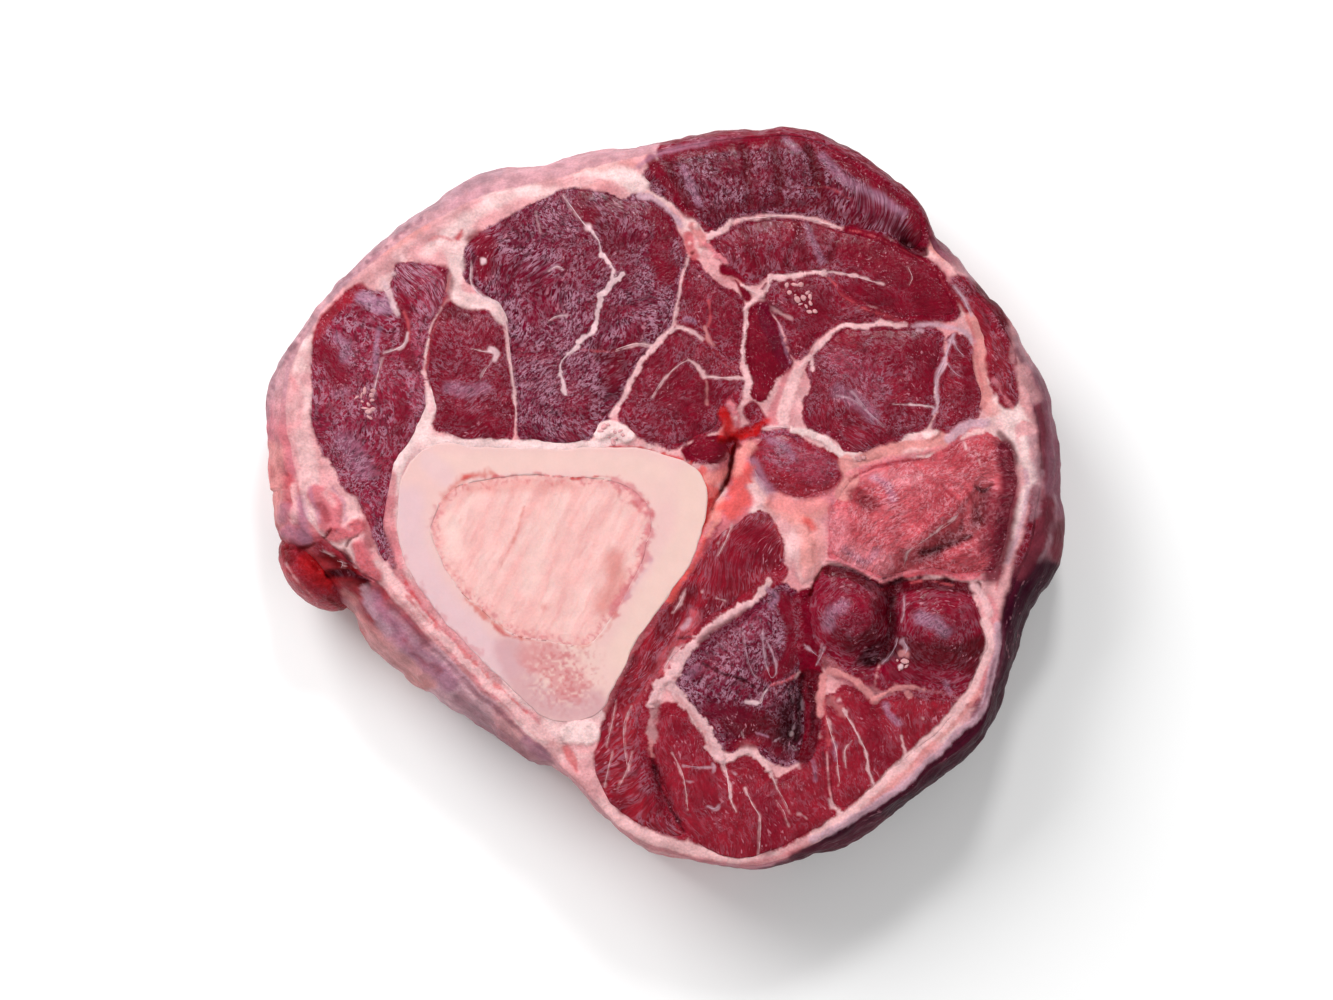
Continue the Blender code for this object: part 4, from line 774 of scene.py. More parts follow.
PALE_FLAP_STROKES = (
    face(SALMON_LIGHT, (2.2, 2.0, 0.6), (836, 520), (840, 545), (862, 558), (884, 564)),
    face(SALMON_LIGHT, (1.4, 1.8, 0.5), (866, 474), (890, 478), (914, 480)),
    # The sunk dent, darker: partly the meat's own colour, partly painted shade.
    face(SALMON_DARK, (1.5, 1.6, 0.8, -0.4), (854, 494), (864, 502), (872, 506)),
    face(SHEEN_LILAC, (0.8, 1.4, 0.6), (874, 478), (886, 486), (892, 500)),
    face(SHEEN_LILAC, (0.6, 1.4, 0.5), (846, 550), (864, 562), (878, 552)),
    face(SALMON_DEEP, (2.6, 2.0, 0.6), (922, 514), (945, 506), (935, 524)),
    face(SALMON_DEEP, (2.2, 1.8, 0.8), (955, 456), (972, 462), (984, 452)),
    face(FLESH_DEEP, (1.9, 2.0, 0.9), (1004, 450), (1009, 480), (1008, 515), (1001, 550), (993, 575)),
    face(FLESH_DEEP, (2.2, 2.2, 0.7), (992, 500), (994, 525), (988, 548)),
    face(SALMON_DARK, (2.0, 1.6, 0.6), (922, 562), (950, 564), (974, 562)),
    # Painted shade in the sunk folds below; the salmon stroke among them is their raised ridge.
    face(FLESH_MAROON, (0.6, 1.4, 0.85, -0.5), (922, 552), (940, 548), (956, 543), (970, 536)),
    face(FLESH_MAROON, (0.4, 0.9, 0.8, -0.4), (974, 488), (983, 492), (992, 486)),
    face(SALMON_DARK, (0.25, 0.8, 0.8, -0.3), (942, 488), (953, 500), (961, 514), (960, 530)),
    face(SALMON, (0.5, 0.8, 0.7, 0.3), (952, 492), (966, 508), (970, 526)),
    face(SALMON_DARK, (0.25, 0.8, 0.8, -0.3), (964, 490), (974, 506), (982, 522)),
    face(SEAM, (0.13, 0.3, 0.85, 0.4), (904, 566), (908, 552), (918, 545), (930, 537), (942, 529),
        (952, 522), (958, 514)),
    face(SEAM, (0.3, 0.4, 0.85, 0.2), (964, 441), (966, 450)),
    face(SEAM, (0.25, 0.4, 0.8, 0.2), (978, 460), (981, 467)),
    face(SALMON_DARK, (0.2, 0.4, 0.8), (850, 480), (866, 470), (884, 464), (905, 460), (925, 459)),
)

LOWER_RIGHT_STROKES = (
    face(SEAM_TAN, (0.75, 0.4, 1.0, 0.25, 0.4), (821, 714), (820, 696), (823, 680), (830, 672),
        (842, 674), (855, 681), (866, 690), (876, 698)),
    face(SEAM_TAN, (0.5, 0.4, 1.0, 0.2, 0.4), (876, 697), (886, 691), (900, 687), (912, 687),
        (922, 688)),
    face(SEAM_TAN, (0.5, 0.4, 0.8), (906, 693), (910, 697)),
    face(SEAM_RED, (0.3, 0.5, 0.6), (824, 700), (826, 722), (828, 745)),
    face(SEAM_TAN, (0.9, 1.0, 0.4, 0.0, 0.7), (832, 700), (838, 708), (842, 714)),
    face(SEAM, (0.5, 0.6, 0.7), (838, 700)),
    face(SEAM, (0.18, 0.4, 0.6, 0.0, 0.3), (826, 716), (831, 734), (836, 750), (838, 770), (840, 784)),
    face(SEAM, (0.22, 0.35, 0.8, 0.0, 0.25), (842, 710), (850, 722), (858, 736), (866, 752), (869, 770),
        (874, 786)),
    face(SEAM, (0.2, 0.5, 0.6), (852, 740), (845, 750), (846, 768)),
    face(SEAM, (0.2, 0.35, 0.75), (901, 736), (905, 755)),
    face(SHEEN_LILAC, (0.7, 1.0, 0.6), (886, 704), (892, 716), (898, 724)),
    face(SHEEN_LILAC, (0.6, 0.9, 0.5), (946, 682), (950, 692)),
    face(SHEEN_LILAC, (0.4, 0.7, 0.5), (834, 742), (836, 760)),
    face(SEAM, (0.35, 0.5, 0.6), (923, 718)),
    face(FLESH_WET, (1.8, 1.8, 0.5), (868, 708), (876, 735), (884, 762)),
    face(FLESH_MAROON, (0.25, 0.6, 0.55), (822, 752), (830, 778), (834, 806)),
)

BOTTOM_STROKES = (
    face(SEAM, (0.28, 0.4, 0.8, 0.0, 0.25), (722, 758), (727, 774), (730, 797), (736, 812)),
    face(VEIN, (0.4, 0.4, 0.8), (730, 797)),
    face(SEAM, (0.2, 0.4, 0.8, 0.0, 0.2), (745, 788), (752, 804), (760, 818), (760, 838), (759, 854)),
    face(SEAM, (0.13, 0.4, 0.6), (672, 752), (682, 772), (686, 792), (688, 810)),
    face(LILAC_PALE, (0.12, 0.4, 0.6), (684, 765), (696, 767), (712, 767)),
    face(LILAC_PALE, (0.2, 0.6, 0.6, 0.0, 0.5), (707, 806), (713, 809), (719, 806)),
    face(LILAC_PALE, (0.18, 0.5, 0.7, 0.0, 0.4), (732, 770), (736, 775)),
    face(LILAC_PALE, (0.14, 0.5, 0.6, 0.0, 0.4), (686, 780), (693, 781)),
    face(LILAC_PALE, (0.2, 0.5, 0.6, 0.0, 0.4), (713, 764), (714, 770)),
    face(SEAM, (0.12, 0.4, 0.5), (776, 800), (784, 812), (788, 826)),
    face(SEAM, (0.3, 0.6, 0.55, 0.0, 0.5), (800, 812), (806, 818)),
    face(SEAM, (0.5, 0.5, 0.7), (830, 800), (832, 806)),
    face(SEAM, (0.35, 0.6, 0.5), (796, 764), (800, 768)),
    face(SHEEN_LILAC, (0.3, 0.6, 0.5), (812, 760), (816, 780)),
    face(FLESH_WET, (2.2, 2.0, 0.6), (760, 800), (775, 820), (765, 845)),
    face(FLESH_WET, (1.6, 1.6, 0.5), (676, 728), (690, 750)),
)

LOWER_RIM_STROKES = (
    # The dark side wall below the lower right rim: partly its own dark purple, partly painted shade
    # where it faces away from the key light.
    face(WALL_PURPLE_IN_SHADE, (5.0, 1.2), (1034, 586), (1024, 630), (1018, 665), (1008, 700), (989, 735),
        (954, 770), (914, 804), (880, 826)),
    face(WALL_DARK_IN_SHADE, (4.2, 2.2, 0.9), (1040, 592), (1026, 640), (1020, 672), (1010, 712), (990, 750),
        (954, 782), (914, 812), (880, 834)),
    face(WALL_PURPLE_IN_SHADE, (2.6, 1.2), (884, 828), (852, 846), (824, 856), (800, 862)),
    face(WALL_PURPLE_IN_SHADE, (1.1, 1.0), (812, 860), (792, 864), (778, 869)),
    face(FAT_PALE, (0.95, 0.5), (986, 620), (990, 640), (985, 662), (974, 688), (958, 708), (942, 726),
        (918, 748), (895, 770), (870, 794), (842, 816), (815, 836)),
    face(FAT_TAN, (0.4, 0.6, 0.7), (980, 690), (966, 710), (945, 732), (920, 756), (896, 778),
        (870, 800)),
    face(LILAC_PALE, (0.7, 0.5, 0.9, 0.3), (998, 624), (997, 645), (992, 672), (988, 694), (978, 716),
        (960, 730), (944, 748), (922, 768), (900, 786), (880, 800), (858, 814), (834, 828), (812, 840)),
    face(MAUVE, (0.3, 0.5, 0.6), (994, 660), (986, 700), (972, 716)),
    face(MEMBRANE, (0.3, 0.6, 0.6), (1002, 620), (1003, 645), (998, 675)),
    face(FAT_ROSE, (0.5, 0.7, 0.6), (800, 848), (770, 860), (740, 866)),
)

RIGHT_WALL_STROKES = (
    face(MAUVE, (4.0, 1.6), (1048, 380), (1056, 420), (1062, 460), (1066, 500)),
    face(FAT_DULL, (1.2, 1.4, 0.8), (1020, 368), (1028, 382), (1036, 398)),
    face(WALL_MAROON, (0.9, 1.2, 0.85), (1040, 408), (1042, 430), (1041, 455), (1043, 478)),
    face(FLESH, (1.4, 1.2), (1037, 492), (1034, 518), (1028, 542), (1020, 562)),
    face(WALL_MAROON, (1.8, 1.4), (1048, 505), (1044, 530), (1036, 552), (1024, 572)),
    face(WALL_MAROON, (2.4, 1.6), (1066, 528), (1060, 552)),
    face(FAT_GREY, (0.3, 0.9, 0.8), (1056, 496), (1055, 518), (1049, 542), (1038, 562)),
    # Partly the wall's own dark colour, partly painted shade where it faces away from the key light.
    face(WALL_DARK_IN_SHADE, (4.0, 2.0), (1046, 580), (1036, 600), (1024, 618)),
    face(FAT_GREY, (1.0, 1.2, 0.6, 0.0, 0.5), (1031, 440), (1038, 478), (1034, 516)),
    face(FAT_GREY, (0.8, 1.0, 0.7), (1018, 340), (1026, 358), (1040, 374)),
    face(MEMBRANE, (0.5, 0.8, 0.6), (1018, 350), (1022, 360)),
    face(FAT_GREY, (0.7, 0.9, 0.7), (946, 244), (960, 260), (974, 280)),
    face(FLESH_MAROON, (0.8, 0.9, 0.95, -0.8), (905, 242), (916, 248), (924, 250)),
    face(FLESH_MAROON, (1.2, 1.2, 0.6), (986, 288), (1002, 310)),
)

# Left wall, its lumps and the lobe
LEFT_WALL_STROKES = (
    face(FAT_TAN, (2.6, 1.6, 0.8), (270, 455), (270, 490), (272, 520)),
    face(SEAM_RED, (0.7, 0.9, 0.75, -0.5), (287, 474), (290, 490), (288, 503)),
    face(SEAM_RED, (0.5, 1.2, 0.5), (268, 462), (272, 475)),
    face(FAT_PALE, (0.8, 1.0, 0.7, 0.3), (292, 486), (296, 505), (294, 520)),
    face(LILAC, (1.1, 1.0, 0.7, -0.3), (303, 498), (304, 520), (306, 538)),
    face(LILAC, (1.0, 1.2, 0.55, 0.3), (284, 506), (282, 520)),
    face(SALMON_DARK, (0.8, 1.0, 0.7), (276, 528), (280, 538)),
    face(LILAC, (1.4, 1.2, 0.6, 0.4), (288, 532), (300, 540)),
    face(FAT_PALE, (1.5, 1.4, 0.8), (303, 476), (312, 500)),
    face(FAT_ROSE, (2.2, 1.2, 0.95, 0.5), (318, 494), (330, 506), (330, 522)),
    face(FAT_PALE, (0.8, 1.0, 0.5), (326, 492), (332, 503)),
    face(LILAC, (0.4, 0.8, 0.6), (309, 488), (313, 500), (320, 522)),
    face(SALMON_DARK, (0.9, 1.2, 0.6, -0.2), (320, 506), (328, 520)),
    face(FAT_PALE, (1.4, 1.2, 0.8, 0.4), (350, 502), (352, 518)),
    face(LILAC, (0.3, 0.7, 0.5), (334, 486), (342, 500), (346, 520)),
    face(SALMON, (1.6, 1.2, 0.85, 0.3), (334, 536), (348, 533), (356, 528)),
    face(SEAM, (0.4, 0.8, 0.4), (345, 524), (352, 530)),
    face(SALMON, (1.6, 1.2, 0.85, 0.4), (360, 550), (366, 562), (374, 576)),
    face(FAT_ROSE, (0.8, 1.0, 0.6), (364, 545), (372, 556)),
    face(SALMON_DARK, (0.8, 0.9, 0.6), (366, 510), (368, 530), (370, 545)),
    face(FLESH_PURPLE, (0.7, 0.8, 0.7), (378, 520), (386, 545), (394, 568)),
    # Painted shade in the sunk dark lines between the lumps.
    face(DARK_BLOOD_AND_SHADE, (0.2, 0.6, 0.8, -0.5), (332, 530), (324, 539), (318, 545)),
    face(DARK_BLOOD_AND_SHADE, (0.2, 0.6, 0.8, -0.5), (358, 537), (350, 542), (346, 552)),
    # The lobe. Painted shade: the dark strokes in its sunk crevice and the dark line under the lump
    # that overhangs it. Painted glints: the small pale seam spots and short lines.
    face(SALMON_DARK, (3.2, 2.0, 0.75), (290, 556), (300, 578), (326, 596)),
    face(LOBE_RED, (1.8, 2.6, 0.8), (306, 562), (316, 574), (332, 584)),
    face(DARK_BLOOD_AND_SHADE, (0.5, 1.4, 0.6, -0.4), (300, 552), (310, 560), (318, 570)),
    face(SALMON_DARK, (1.6, 1.2, 0.9), (320, 548), (334, 556), (344, 568)),
    face(SALMON_DARK, (1.0, 1.0, 0.8), (344, 556), (352, 566), (362, 576)),
    face(DARK_BLOOD_AND_SHADE, (0.9, 1.6, 0.85), (330, 574), (346, 577), (362, 584)),
    face(SALMON, (1.0, 1.6, 0.75), (280, 562), (290, 584), (306, 598), (328, 607), (344, 611)),
    face(SEAM_RED, (0.3, 0.6, 0.6), (288, 566), (298, 582), (310, 593)),
    face(DARK_BLOOD_AND_SHADE, (0.35, 0.8, 0.9, -0.5), (284, 548), (296, 548), (306, 546), (314, 543)),
    face(DARK_BLOOD_AND_SHADE, (1.2, 1.2, 0.6), (284, 552), (290, 558)),
    face(DARK_BLOOD_AND_SHADE, (1.2, 1.2, 0.9, -0.8), (326, 558), (340, 566), (352, 572)),
    face(FLESH_IN_SHADE, (0.8, 0.9, 0.9, -0.8), (330, 574), (345, 574), (356, 576), (366, 582)),
    face(FLESH_IN_SHADE, (0.5, 0.9, 0.7), (346, 552), (348, 562)),
    face(SEAM, (0.4, 0.5, 0.75, 0.4), (326, 552), (330, 556)),
    face(SEAM, (0.15, 0.4, 0.6), (336, 560), (342, 562), (340, 567)),
    face(SEAM, (0.12, 0.4, 0.6), (352, 560), (356, 567)),
    face(SALMON_DARK, (1.2, 1.2, 0.8), (338, 590), (352, 594)),
    face(FAT_TAN, (0.7, 1.0, 0.6), (344, 592), (354, 600), (350, 606)),
    face(SEAM, (0.15, 0.5, 0.45), (286, 564), (292, 574), (299, 583)),
    face(SEAM, (0.12, 0.4, 0.5), (306, 590), (312, 597)),
    face(DARK_BLOOD_AND_SHADE, (0.4, 0.8, 0.7), (330, 600), (340, 608), (350, 612)),
    face(FAT_TAN, (1.8, 1.2, 0.7), (352, 618), (364, 630), (380, 646), (400, 660), (430, 680)),
    face(SEAM_RED, (0.7, 1.2, 0.5), (352, 622), (362, 632)),
    face(LILAC, (1.8, 1.4, 0.8), (372, 600), (386, 618), (402, 636), (425, 660), (450, 684)),
    # Painted highlights on the streaks of the grey-mauve wall.
    face(LILAC_PALE, (0.9, 1.0, 0.7, 0.3), (364, 590), (372, 606), (380, 620), (388, 632)),
    face(LILAC_PALE, (0.6, 1.2, 0.5), (392, 612), (404, 626), (418, 640)),
    face(MAUVE, (0.8, 1.0, 0.3), (378, 590), (398, 612), (420, 634), (446, 660), (478, 690),
        (510, 718)),
    face(SALMON_DARK, (0.5, 1.0, 0.5), (404, 640), (425, 662), (440, 672)),
    face(LILAC_PALE, (0.4, 0.8, 0.45), (410, 640), (430, 662)),
    face(FAT_TAN, (0.8, 0.9, 0.7, 0.3), (408, 676), (424, 688)),
    face(MAUVE, (1.4, 1.4, 0.6), (460, 700), (490, 728), (520, 750), (545, 764)),
    face(SALMON_DARK, (0.8, 1.2, 0.4), (450, 714), (480, 740), (505, 756)),
    face(LILAC, (1.0, 1.2, 0.6), (525, 740), (545, 756)),
)

STROKES = (
    *BONE_STROKES,
    *BROAD_FAT_STROKES,
    *RIGHT_FAT_STROKES,
    *UPPER_LEFT_STROKES,
    *OUTER_LEFT_STROKES,
    *FRONT_LEFT_STROKES,
    *MAIN_UPPER_STROKES,
    *TOP_OUTER_STROKES,
    *UPPER_SEAM_STROKES,
    *TOP_INNER_STROKES,
    *DEEP_LOWER_STROKES,
    *RIGHT_ROUND_STROKES,
    *RIGHT_OUTER_STROKES,
    *FLAP_SEAM_STROKES,
    *KNOT_STROKES,
    *LOWER_SEAM_STROKES,
    *DARK_CENTRE_STROKES,
    *DOME_STROKES,
    *PALE_FLAP_STROKES,
    *LOWER_RIGHT_STROKES,
    *BOTTOM_STROKES,
    *LOWER_RIM_STROKES,
    *RIGHT_WALL_STROKES,
    *LEFT_WALL_STROKES,
)


@dataclass(frozen=True)
class Cluster:
    """A patch of fat crumbs: its middle in the picture and its reach in millimetres."""

    pick: Pick
    reach: float


CRUMB_CLUSTERS = (
    Cluster((367, 397), 2.2),
    Cluster((370, 412), 1.4),
    Cluster((794, 288), 1.6),
    Cluster((804, 300), 1.8),
    Cluster((812, 312), 1.2),
    Cluster((616, 436), 1.4),
    Cluster((604, 428), 1.1),
    Cluster((902, 664), 1.3),
    Cluster((861, 458), 1.2),
)


@dataclass(frozen=True)
class MuscleLook:
    """How one muscle's cut face looks: its pigment, its swell and the run of its fibres."""

    pigment: Pigment
    crown: float
    fibre_deg: float = 0.0
    stretch: float = 1.3
    rings_about: tuple[float, float] | None = None
    slot: Slot = Slot.MUSCLE


MUSCLE_LOOKS = {
    "muscle_outer_left": MuscleLook(FLESH_PLUM, 0.9, 100.0),
    "muscle_front_left": MuscleLook(FLESH_CRIMSON, 0.7, 30.0),
    "muscle_main_upper": MuscleLook(FLESH_PURPLE, 0.8, 60.0),
    "muscle_deep_middle": MuscleLook(FLESH_CRIMSON, 0.5, 80.0),
    "muscle_deep_lower": MuscleLook(FLESH_CRIMSON, 0.7, 40.0),
    "muscle_corner_small": MuscleLook(FLESH_WET, 0.4, 0.0),
    "muscle_top_outer": MuscleLook(FLESH_DUSKY, 0.8, 110.0),
    "muscle_top_inner": MuscleLook(FLESH_CRIMSON, 0.8, 110.0),
    "muscle_deep_right": MuscleLook(FLESH_CRIMSON, 0.5, 130.0),
    "muscle_deep_wedge": MuscleLook(FLESH_WET, 0.4, 90.0),
    "muscle_right_round": MuscleLook(FLESH_CRIMSON, 0.9, 130.0),
    "muscle_right_crescent": MuscleLook(FLESH, 0.6, 120.0),
    "muscle_right_outer": MuscleLook(FLESH_BROWN, 0.5, 125.0, 3.0),
    "muscle_small_oval": MuscleLook(FLESH_BROWN, 1.0, 160.0),
    "muscle_pale_flap": MuscleLook(SALMON, 2.2, 20.0, slot=Slot.PALE_MUSCLE),
    "muscle_beside_bone": MuscleLook(FLESH_FIBROUS, 0.6, 66.0, 3.4),
    "muscle_dark_centre": MuscleLook(FLESH_PURPLE, 0.7, 60.0),
    "muscle_dome_left": MuscleLook(DOME, 1.0, rings_about=(37.0, -25.4)),
    "muscle_dome_right": MuscleLook(DOME, 1.0, rings_about=(55.0, -30.0)),
    "muscle_lower_right": MuscleLook(FLESH_BROWN, 0.6, 105.0, 2.2),
    "muscle_bottom": MuscleLook(FLESH_BROWN, 0.6, 105.0, 2.2),
}


def linear_colour(colour: Sequence[float]) -> Points:
    """Turn a colour as seen, 0 to 255, into linear red, green and blue from 0 to 1."""
    share = np.asarray(colour, float) / 255.0
    return np.where(share <= 0.04045, share / 12.92, ((share + 0.055) / 1.055) ** 2.4)


def on_face(picks: Sequence[Pick]) -> Points:
    """Places on the plane of the cut face, in millimetres, of points picked in the picture.

    Args:
        picks: points in the picture, in its pixels from its upper left corner.

    Returns:
        Their places, one row of x and y for each.
    """
    pixels = np.asarray(picks, float)
    focal = LENS / SENSOR_WIDTH * PICTURE_WIDTH
    tilt = math.radians(EYE_ELEVATION_DEG)
    rise = (PICTURE_HEIGHT / 2 - pixels[:, 1]) / focal
    up = rise * EYE_DISTANCE / (math.sin(tilt) - rise * math.cos(tilt))
    reach = EYE_DISTANCE + up * math.cos(tilt)
    across = (pixels[:, 0] - PICTURE_WIDTH / 2) * reach / focal
    return np.column_stack([across, up]) + np.array(PICTURE_MIDDLE)


def smooth_share(values: Points) -> Points:
    """Ease values from 0 to 1, flat at both ends and beyond them."""
    share = np.clip(values, 0.0, 1.0)
    return share * share * (3.0 - 2.0 * share)


def lattice_noise(points: Points, cell: float, seed: int) -> Points:
    """Smooth noise from -1 to 1 that changes over about one cell.

    Args:
        points: places in two or three dimensions, in millimetres.
        cell: size of one cell, in millimetres.
        seed: number that picks the pattern.

    Returns:
        One value for each point.
    """
    place = points / cell
    corner = np.floor(place).astype(np.int64)
    share = place - corner
    share = share * share * (3.0 - 2.0 * share)
    dims = points.shape[1]
    primes = np.array([73856093, 19349663, 83492791][:dims], dtype=np.int64)
    total = np.zeros(len(points))
    for mask in range(2**dims):
        bits = np.array([(mask >> axis) & 1 for axis in range(dims)], dtype=np.int64)
        mixed = ((corner + bits) * primes).sum(axis=1) + seed * 2654435
        mixed = (mixed ^ (mixed >> 13)) & 0xFFFFFFFF
        mixed = (mixed * 1274126177) & 0xFFFFFFFF
        mixed = (mixed ^ (mixed >> 15)) & 0xFFFFFFFF
        value = mixed / 0x7FFFFFFF - 1.0
        weight = np.prod(np.where(bits == 1, share, 1.0 - share), axis=1)
        total += value * weight
    return total


def layered_noise(points: Points, cell: float, seed: int, layers: int = 3) -> Points:
    """Noise with finer and weaker layers on top of each other, about -1 to 1.

    Args:
        points: places, in millimetres.
        cell: size of the coarsest layer's cells, in millimetres.
        seed: number that picks the pattern.
        layers: how many layers there are.

    Returns:
        One value for each point.
    """
    total = np.zeros(len(points))
    for layer in range(layers):
        total += lattice_noise(points, cell / 2**layer, seed + 17 * layer) / 2**layer
    return total / (2.0 - 0.5 ** (layers - 1))


def stretches(row: Points, pieces: int) -> Points:
    """Draw Catmull-Rom curves through a row of points, from the second to the last but one.

    Args:
        row: the points, the first and the last of which only bend the curve.
        pieces: number of steps between two points.

    Returns:
        The curve's points, without its very end.
    """
    p0, p1, p2, p3 = row[:-3], row[1:-2], row[2:-1], row[3:]
    steps = []
    for t in np.arange(pieces) / pieces:
        bend = (p2 - p0) * t + (2 * p0 - 5 * p1 + 4 * p2 - p3) * t**2
        steps.append(0.5 * (2 * p1 + bend + (3 * p1 - p0 - 3 * p2 + p3) * t**3))
    return np.stack(steps, axis=1).reshape(-1, 2)


def smooth_curve(points: Points, pieces: int) -> Points:
    """A closed smooth curve through the points, as a fine polygon."""
    return stretches(np.vstack([points[-1:], points, points[:2]]), pieces)


def open_curve(points: Points, pieces: int = 5) -> Points:
    """Draw a smooth open curve.

    Args:
        points: the points that it runs through.
        pieces: number of steps between two points.

    Returns:
        The curve's points, or the points themselves where there are fewer than three.
    """
    if len(points) < 3:
        return points
    before, after = 2 * points[:1] - points[1:2], 2 * points[-1:] - points[-2:-1]
    return np.vstack([stretches(np.vstack([before, points, after]), pieces), points[-1:]])


def around(angle: Points, reach: Points) -> Points:
    """Places in the plane, from their direction and their distance to the middle."""
    return np.column_stack([reach * np.cos(angle), reach * np.sin(angle)])


def signed_area(loop: Points) -> float:
    """Area of a polygon, above zero where it runs counterclockwise."""
    following = np.roll(loop, -1, axis=0)
    return 0.5 * float(np.sum(loop[:, 0] * following[:, 1] - loop[:, 1] * following[:, 0]))


@dataclass
class Outline:
    """A closed counterclockwise curve that can be sampled in even steps."""

    curve: Points
    along: Points = field(init=False)

    def __post_init__(self) -> None:
        """Close the curve and measure along it."""
        if signed_area(self.curve) < 0:
            self.curve = self.curve[::-1]
        self.curve = np.vstack([self.curve, self.curve[:1]])
        steps = np.linalg.norm(np.diff(self.curve, axis=0), axis=1)
        self.along = np.concatenate([[0.0], np.cumsum(steps)])

    @property
    def length(self) -> float:
        """Length once round, in millimetres."""
        return float(self.along[-1])

    def sample(self, count: int) -> Points:
        """The given number of points, evenly spaced along the curve.

        Args:
            count: how many points.

        Returns:
            The points, in order.
        """
        stations = np.arange(count) * self.length / count
        return np.stack(
            [np.interp(stations, self.along, self.curve[:, axis]) for axis in (0, 1)], axis=1
        )

    def widened(self, distance: float) -> Outline:
        """The same outline moved out by a distance, or in where it is below zero.

        Args:
            distance: how far out, in millimetres.

        Returns:
            The new outline.
        """
        loop = self.curve[:-1]
        tangent = np.roll(loop, -2, axis=0) - np.roll(loop, 2, axis=0)
        tangent /= np.linalg.norm(tangent, axis=1, keepdims=True)
        outward = np.column_stack([tangent[:, 1], -tangent[:, 0]])
        return Outline(loop + outward * distance)


def inside(points: Points, loop: Points) -> Points:
    """Which points lie inside the loop.

    Args:
        points: places in the plane.
        loop: a closed polygon.

    Returns:
        True or False for each point.
    """
    found = np.zeros(len(points), bool)
    low, high = loop.min(axis=0), loop.max(axis=0)
    near = np.all((points >= low) & (points <= high), axis=1)
    x, y = points[near, 0, None], points[near, 1, None]
    start, end = loop, np.roll(loop, -1, axis=0)
    rise = np.where(end[:, 1] == start[:, 1], 1e-12, end[:, 1] - start[:, 1])
    slope = (end[:, 0] - start[:, 0]) / rise
    crosses = (start[:, 1] > y) != (end[:, 1] > y)
    at_x = start[:, 0] + (y - start[:, 1]) * slope
    found[near] = np.count_nonzero(crosses & (x < at_x), axis=1) % 2 == 1
    return found


def search_tree(stations: Points) -> kdtree.KDTree:
    """Put points of the plane in a search tree.

    Args:
        stations: the points.

    Returns:
        The tree, which finds the nearest of them.
    """
    tree = kdtree.KDTree(len(stations))
    for index, (x, y) in enumerate(stations):
        tree.insert((x, y, 0.0), index)
    tree.balance()
    return tree


def distance_to_curves(points: Points, curves: Sequence[Points]) -> Points:
    """Distance from each point to the nearest of the curves' points, in millimetres."""
    tree = search_tree(np.vstack(curves))
    return np.array([tree.find((x, y, 0.0))[2] for x, y in points])


def nearest_indices(points: Points, stations: Points) -> Points:
    """Index of the station nearest to each point."""
    tree = search_tree(stations)
    return np.array([tree.find((x, y, 0.0))[1] for x, y in points], dtype=int)


def within_box(points: Points, line: Points, reach: float) -> Points:
    """Indices of the points inside a line's upright box, widened by a reach."""
    low, high = line.min(axis=0) - reach, line.max(axis=0) + reach
    return np.nonzero(np.all((points > low) & (points < high), axis=1))[0]


def distance_to_line(points: Points, line: Points) -> Points:
    """Distance from each point to an open line through the given points.

    Args:
        points: places in the plane.
        line: the line's points, or one point alone.

    Returns:
        One distance for each point, in millimetres.
    """
    if len(line) == 1:
        return np.linalg.norm(points - line[0], axis=1)
    best = np.full(len(points), np.inf)
    for start, end in zip(line, line[1:]):
        run = end - start
        share = np.clip(((points - start) @ run) / (run @ run), 0.0, 1.0)
        best = np.minimum(best, np.linalg.norm(points - start - share[:, None] * run, axis=1))
    return best


def inner_points(loops: Sequence[Points], step: float) -> Points:
    """A staggered grid inside the first loop, clear of it and of the holes after it.

    Args:
        loops: the outer loop, then the holes.
        step: spacing of the grid, in millimetres.

    Returns:
        The grid's points.
    """
    low, high = loops[0].min(axis=0), loops[0].max(axis=0)
    rows = []
    for row, y in enumerate(np.arange(low[1], high[1], step * math.sqrt(3) / 2)):
        xs = np.arange(low[0] + (row % 2) * step / 2, high[0], step)
        rows.append(np.column_stack([xs, np.full_like(xs, y)]))
    grid = np.vstack(rows)
    keep = inside(grid, loops[0])
    for hole in loops[1:]:
        keep &= ~inside(grid, hole)
    grid = grid[keep]
    return grid[distance_to_curves(grid, loops) > 0.62 * step]


def fill_face(loops: Sequence[Points], extra: Points) -> tuple[Points, Points]:
    """Triangles between the first loop and the holes after it, through the extra points too.

    Args:
        loops: the outer loop, then the holes.
        extra: more points inside the face.

    Returns:
        The points, loops first, and the triangles as rows of three indices.
    """
    points = np.vstack([*loops, extra])
    edges = []
    first = 0
    for loop in loops:
        count = len(loop)
        edges += [(first + i, first + (i + 1) % count) for i in range(count)]
        first += count
    result = delaunay_2d_cdt([Vector(p) for p in points], edges, [], 0, 1e-7)
    if len(result[0]) != len(points):
        raise ValueError("two outline points fall on each other")
    triangles = np.array(result[2])
    middles = points[triangles].mean(axis=1)
    keep = inside(middles, loops[0])
    for hole in loops[1:]:
        keep &= ~inside(middles, hole)
    triangles = triangles[keep]
    a, b, c = points[triangles[:, 0]], points[triangles[:, 1]], points[triangles[:, 2]]
    turned = np.cross(b - a, c - a) < 0
    triangles[turned] = triangles[turned][:, ::-1]
    return points, triangles


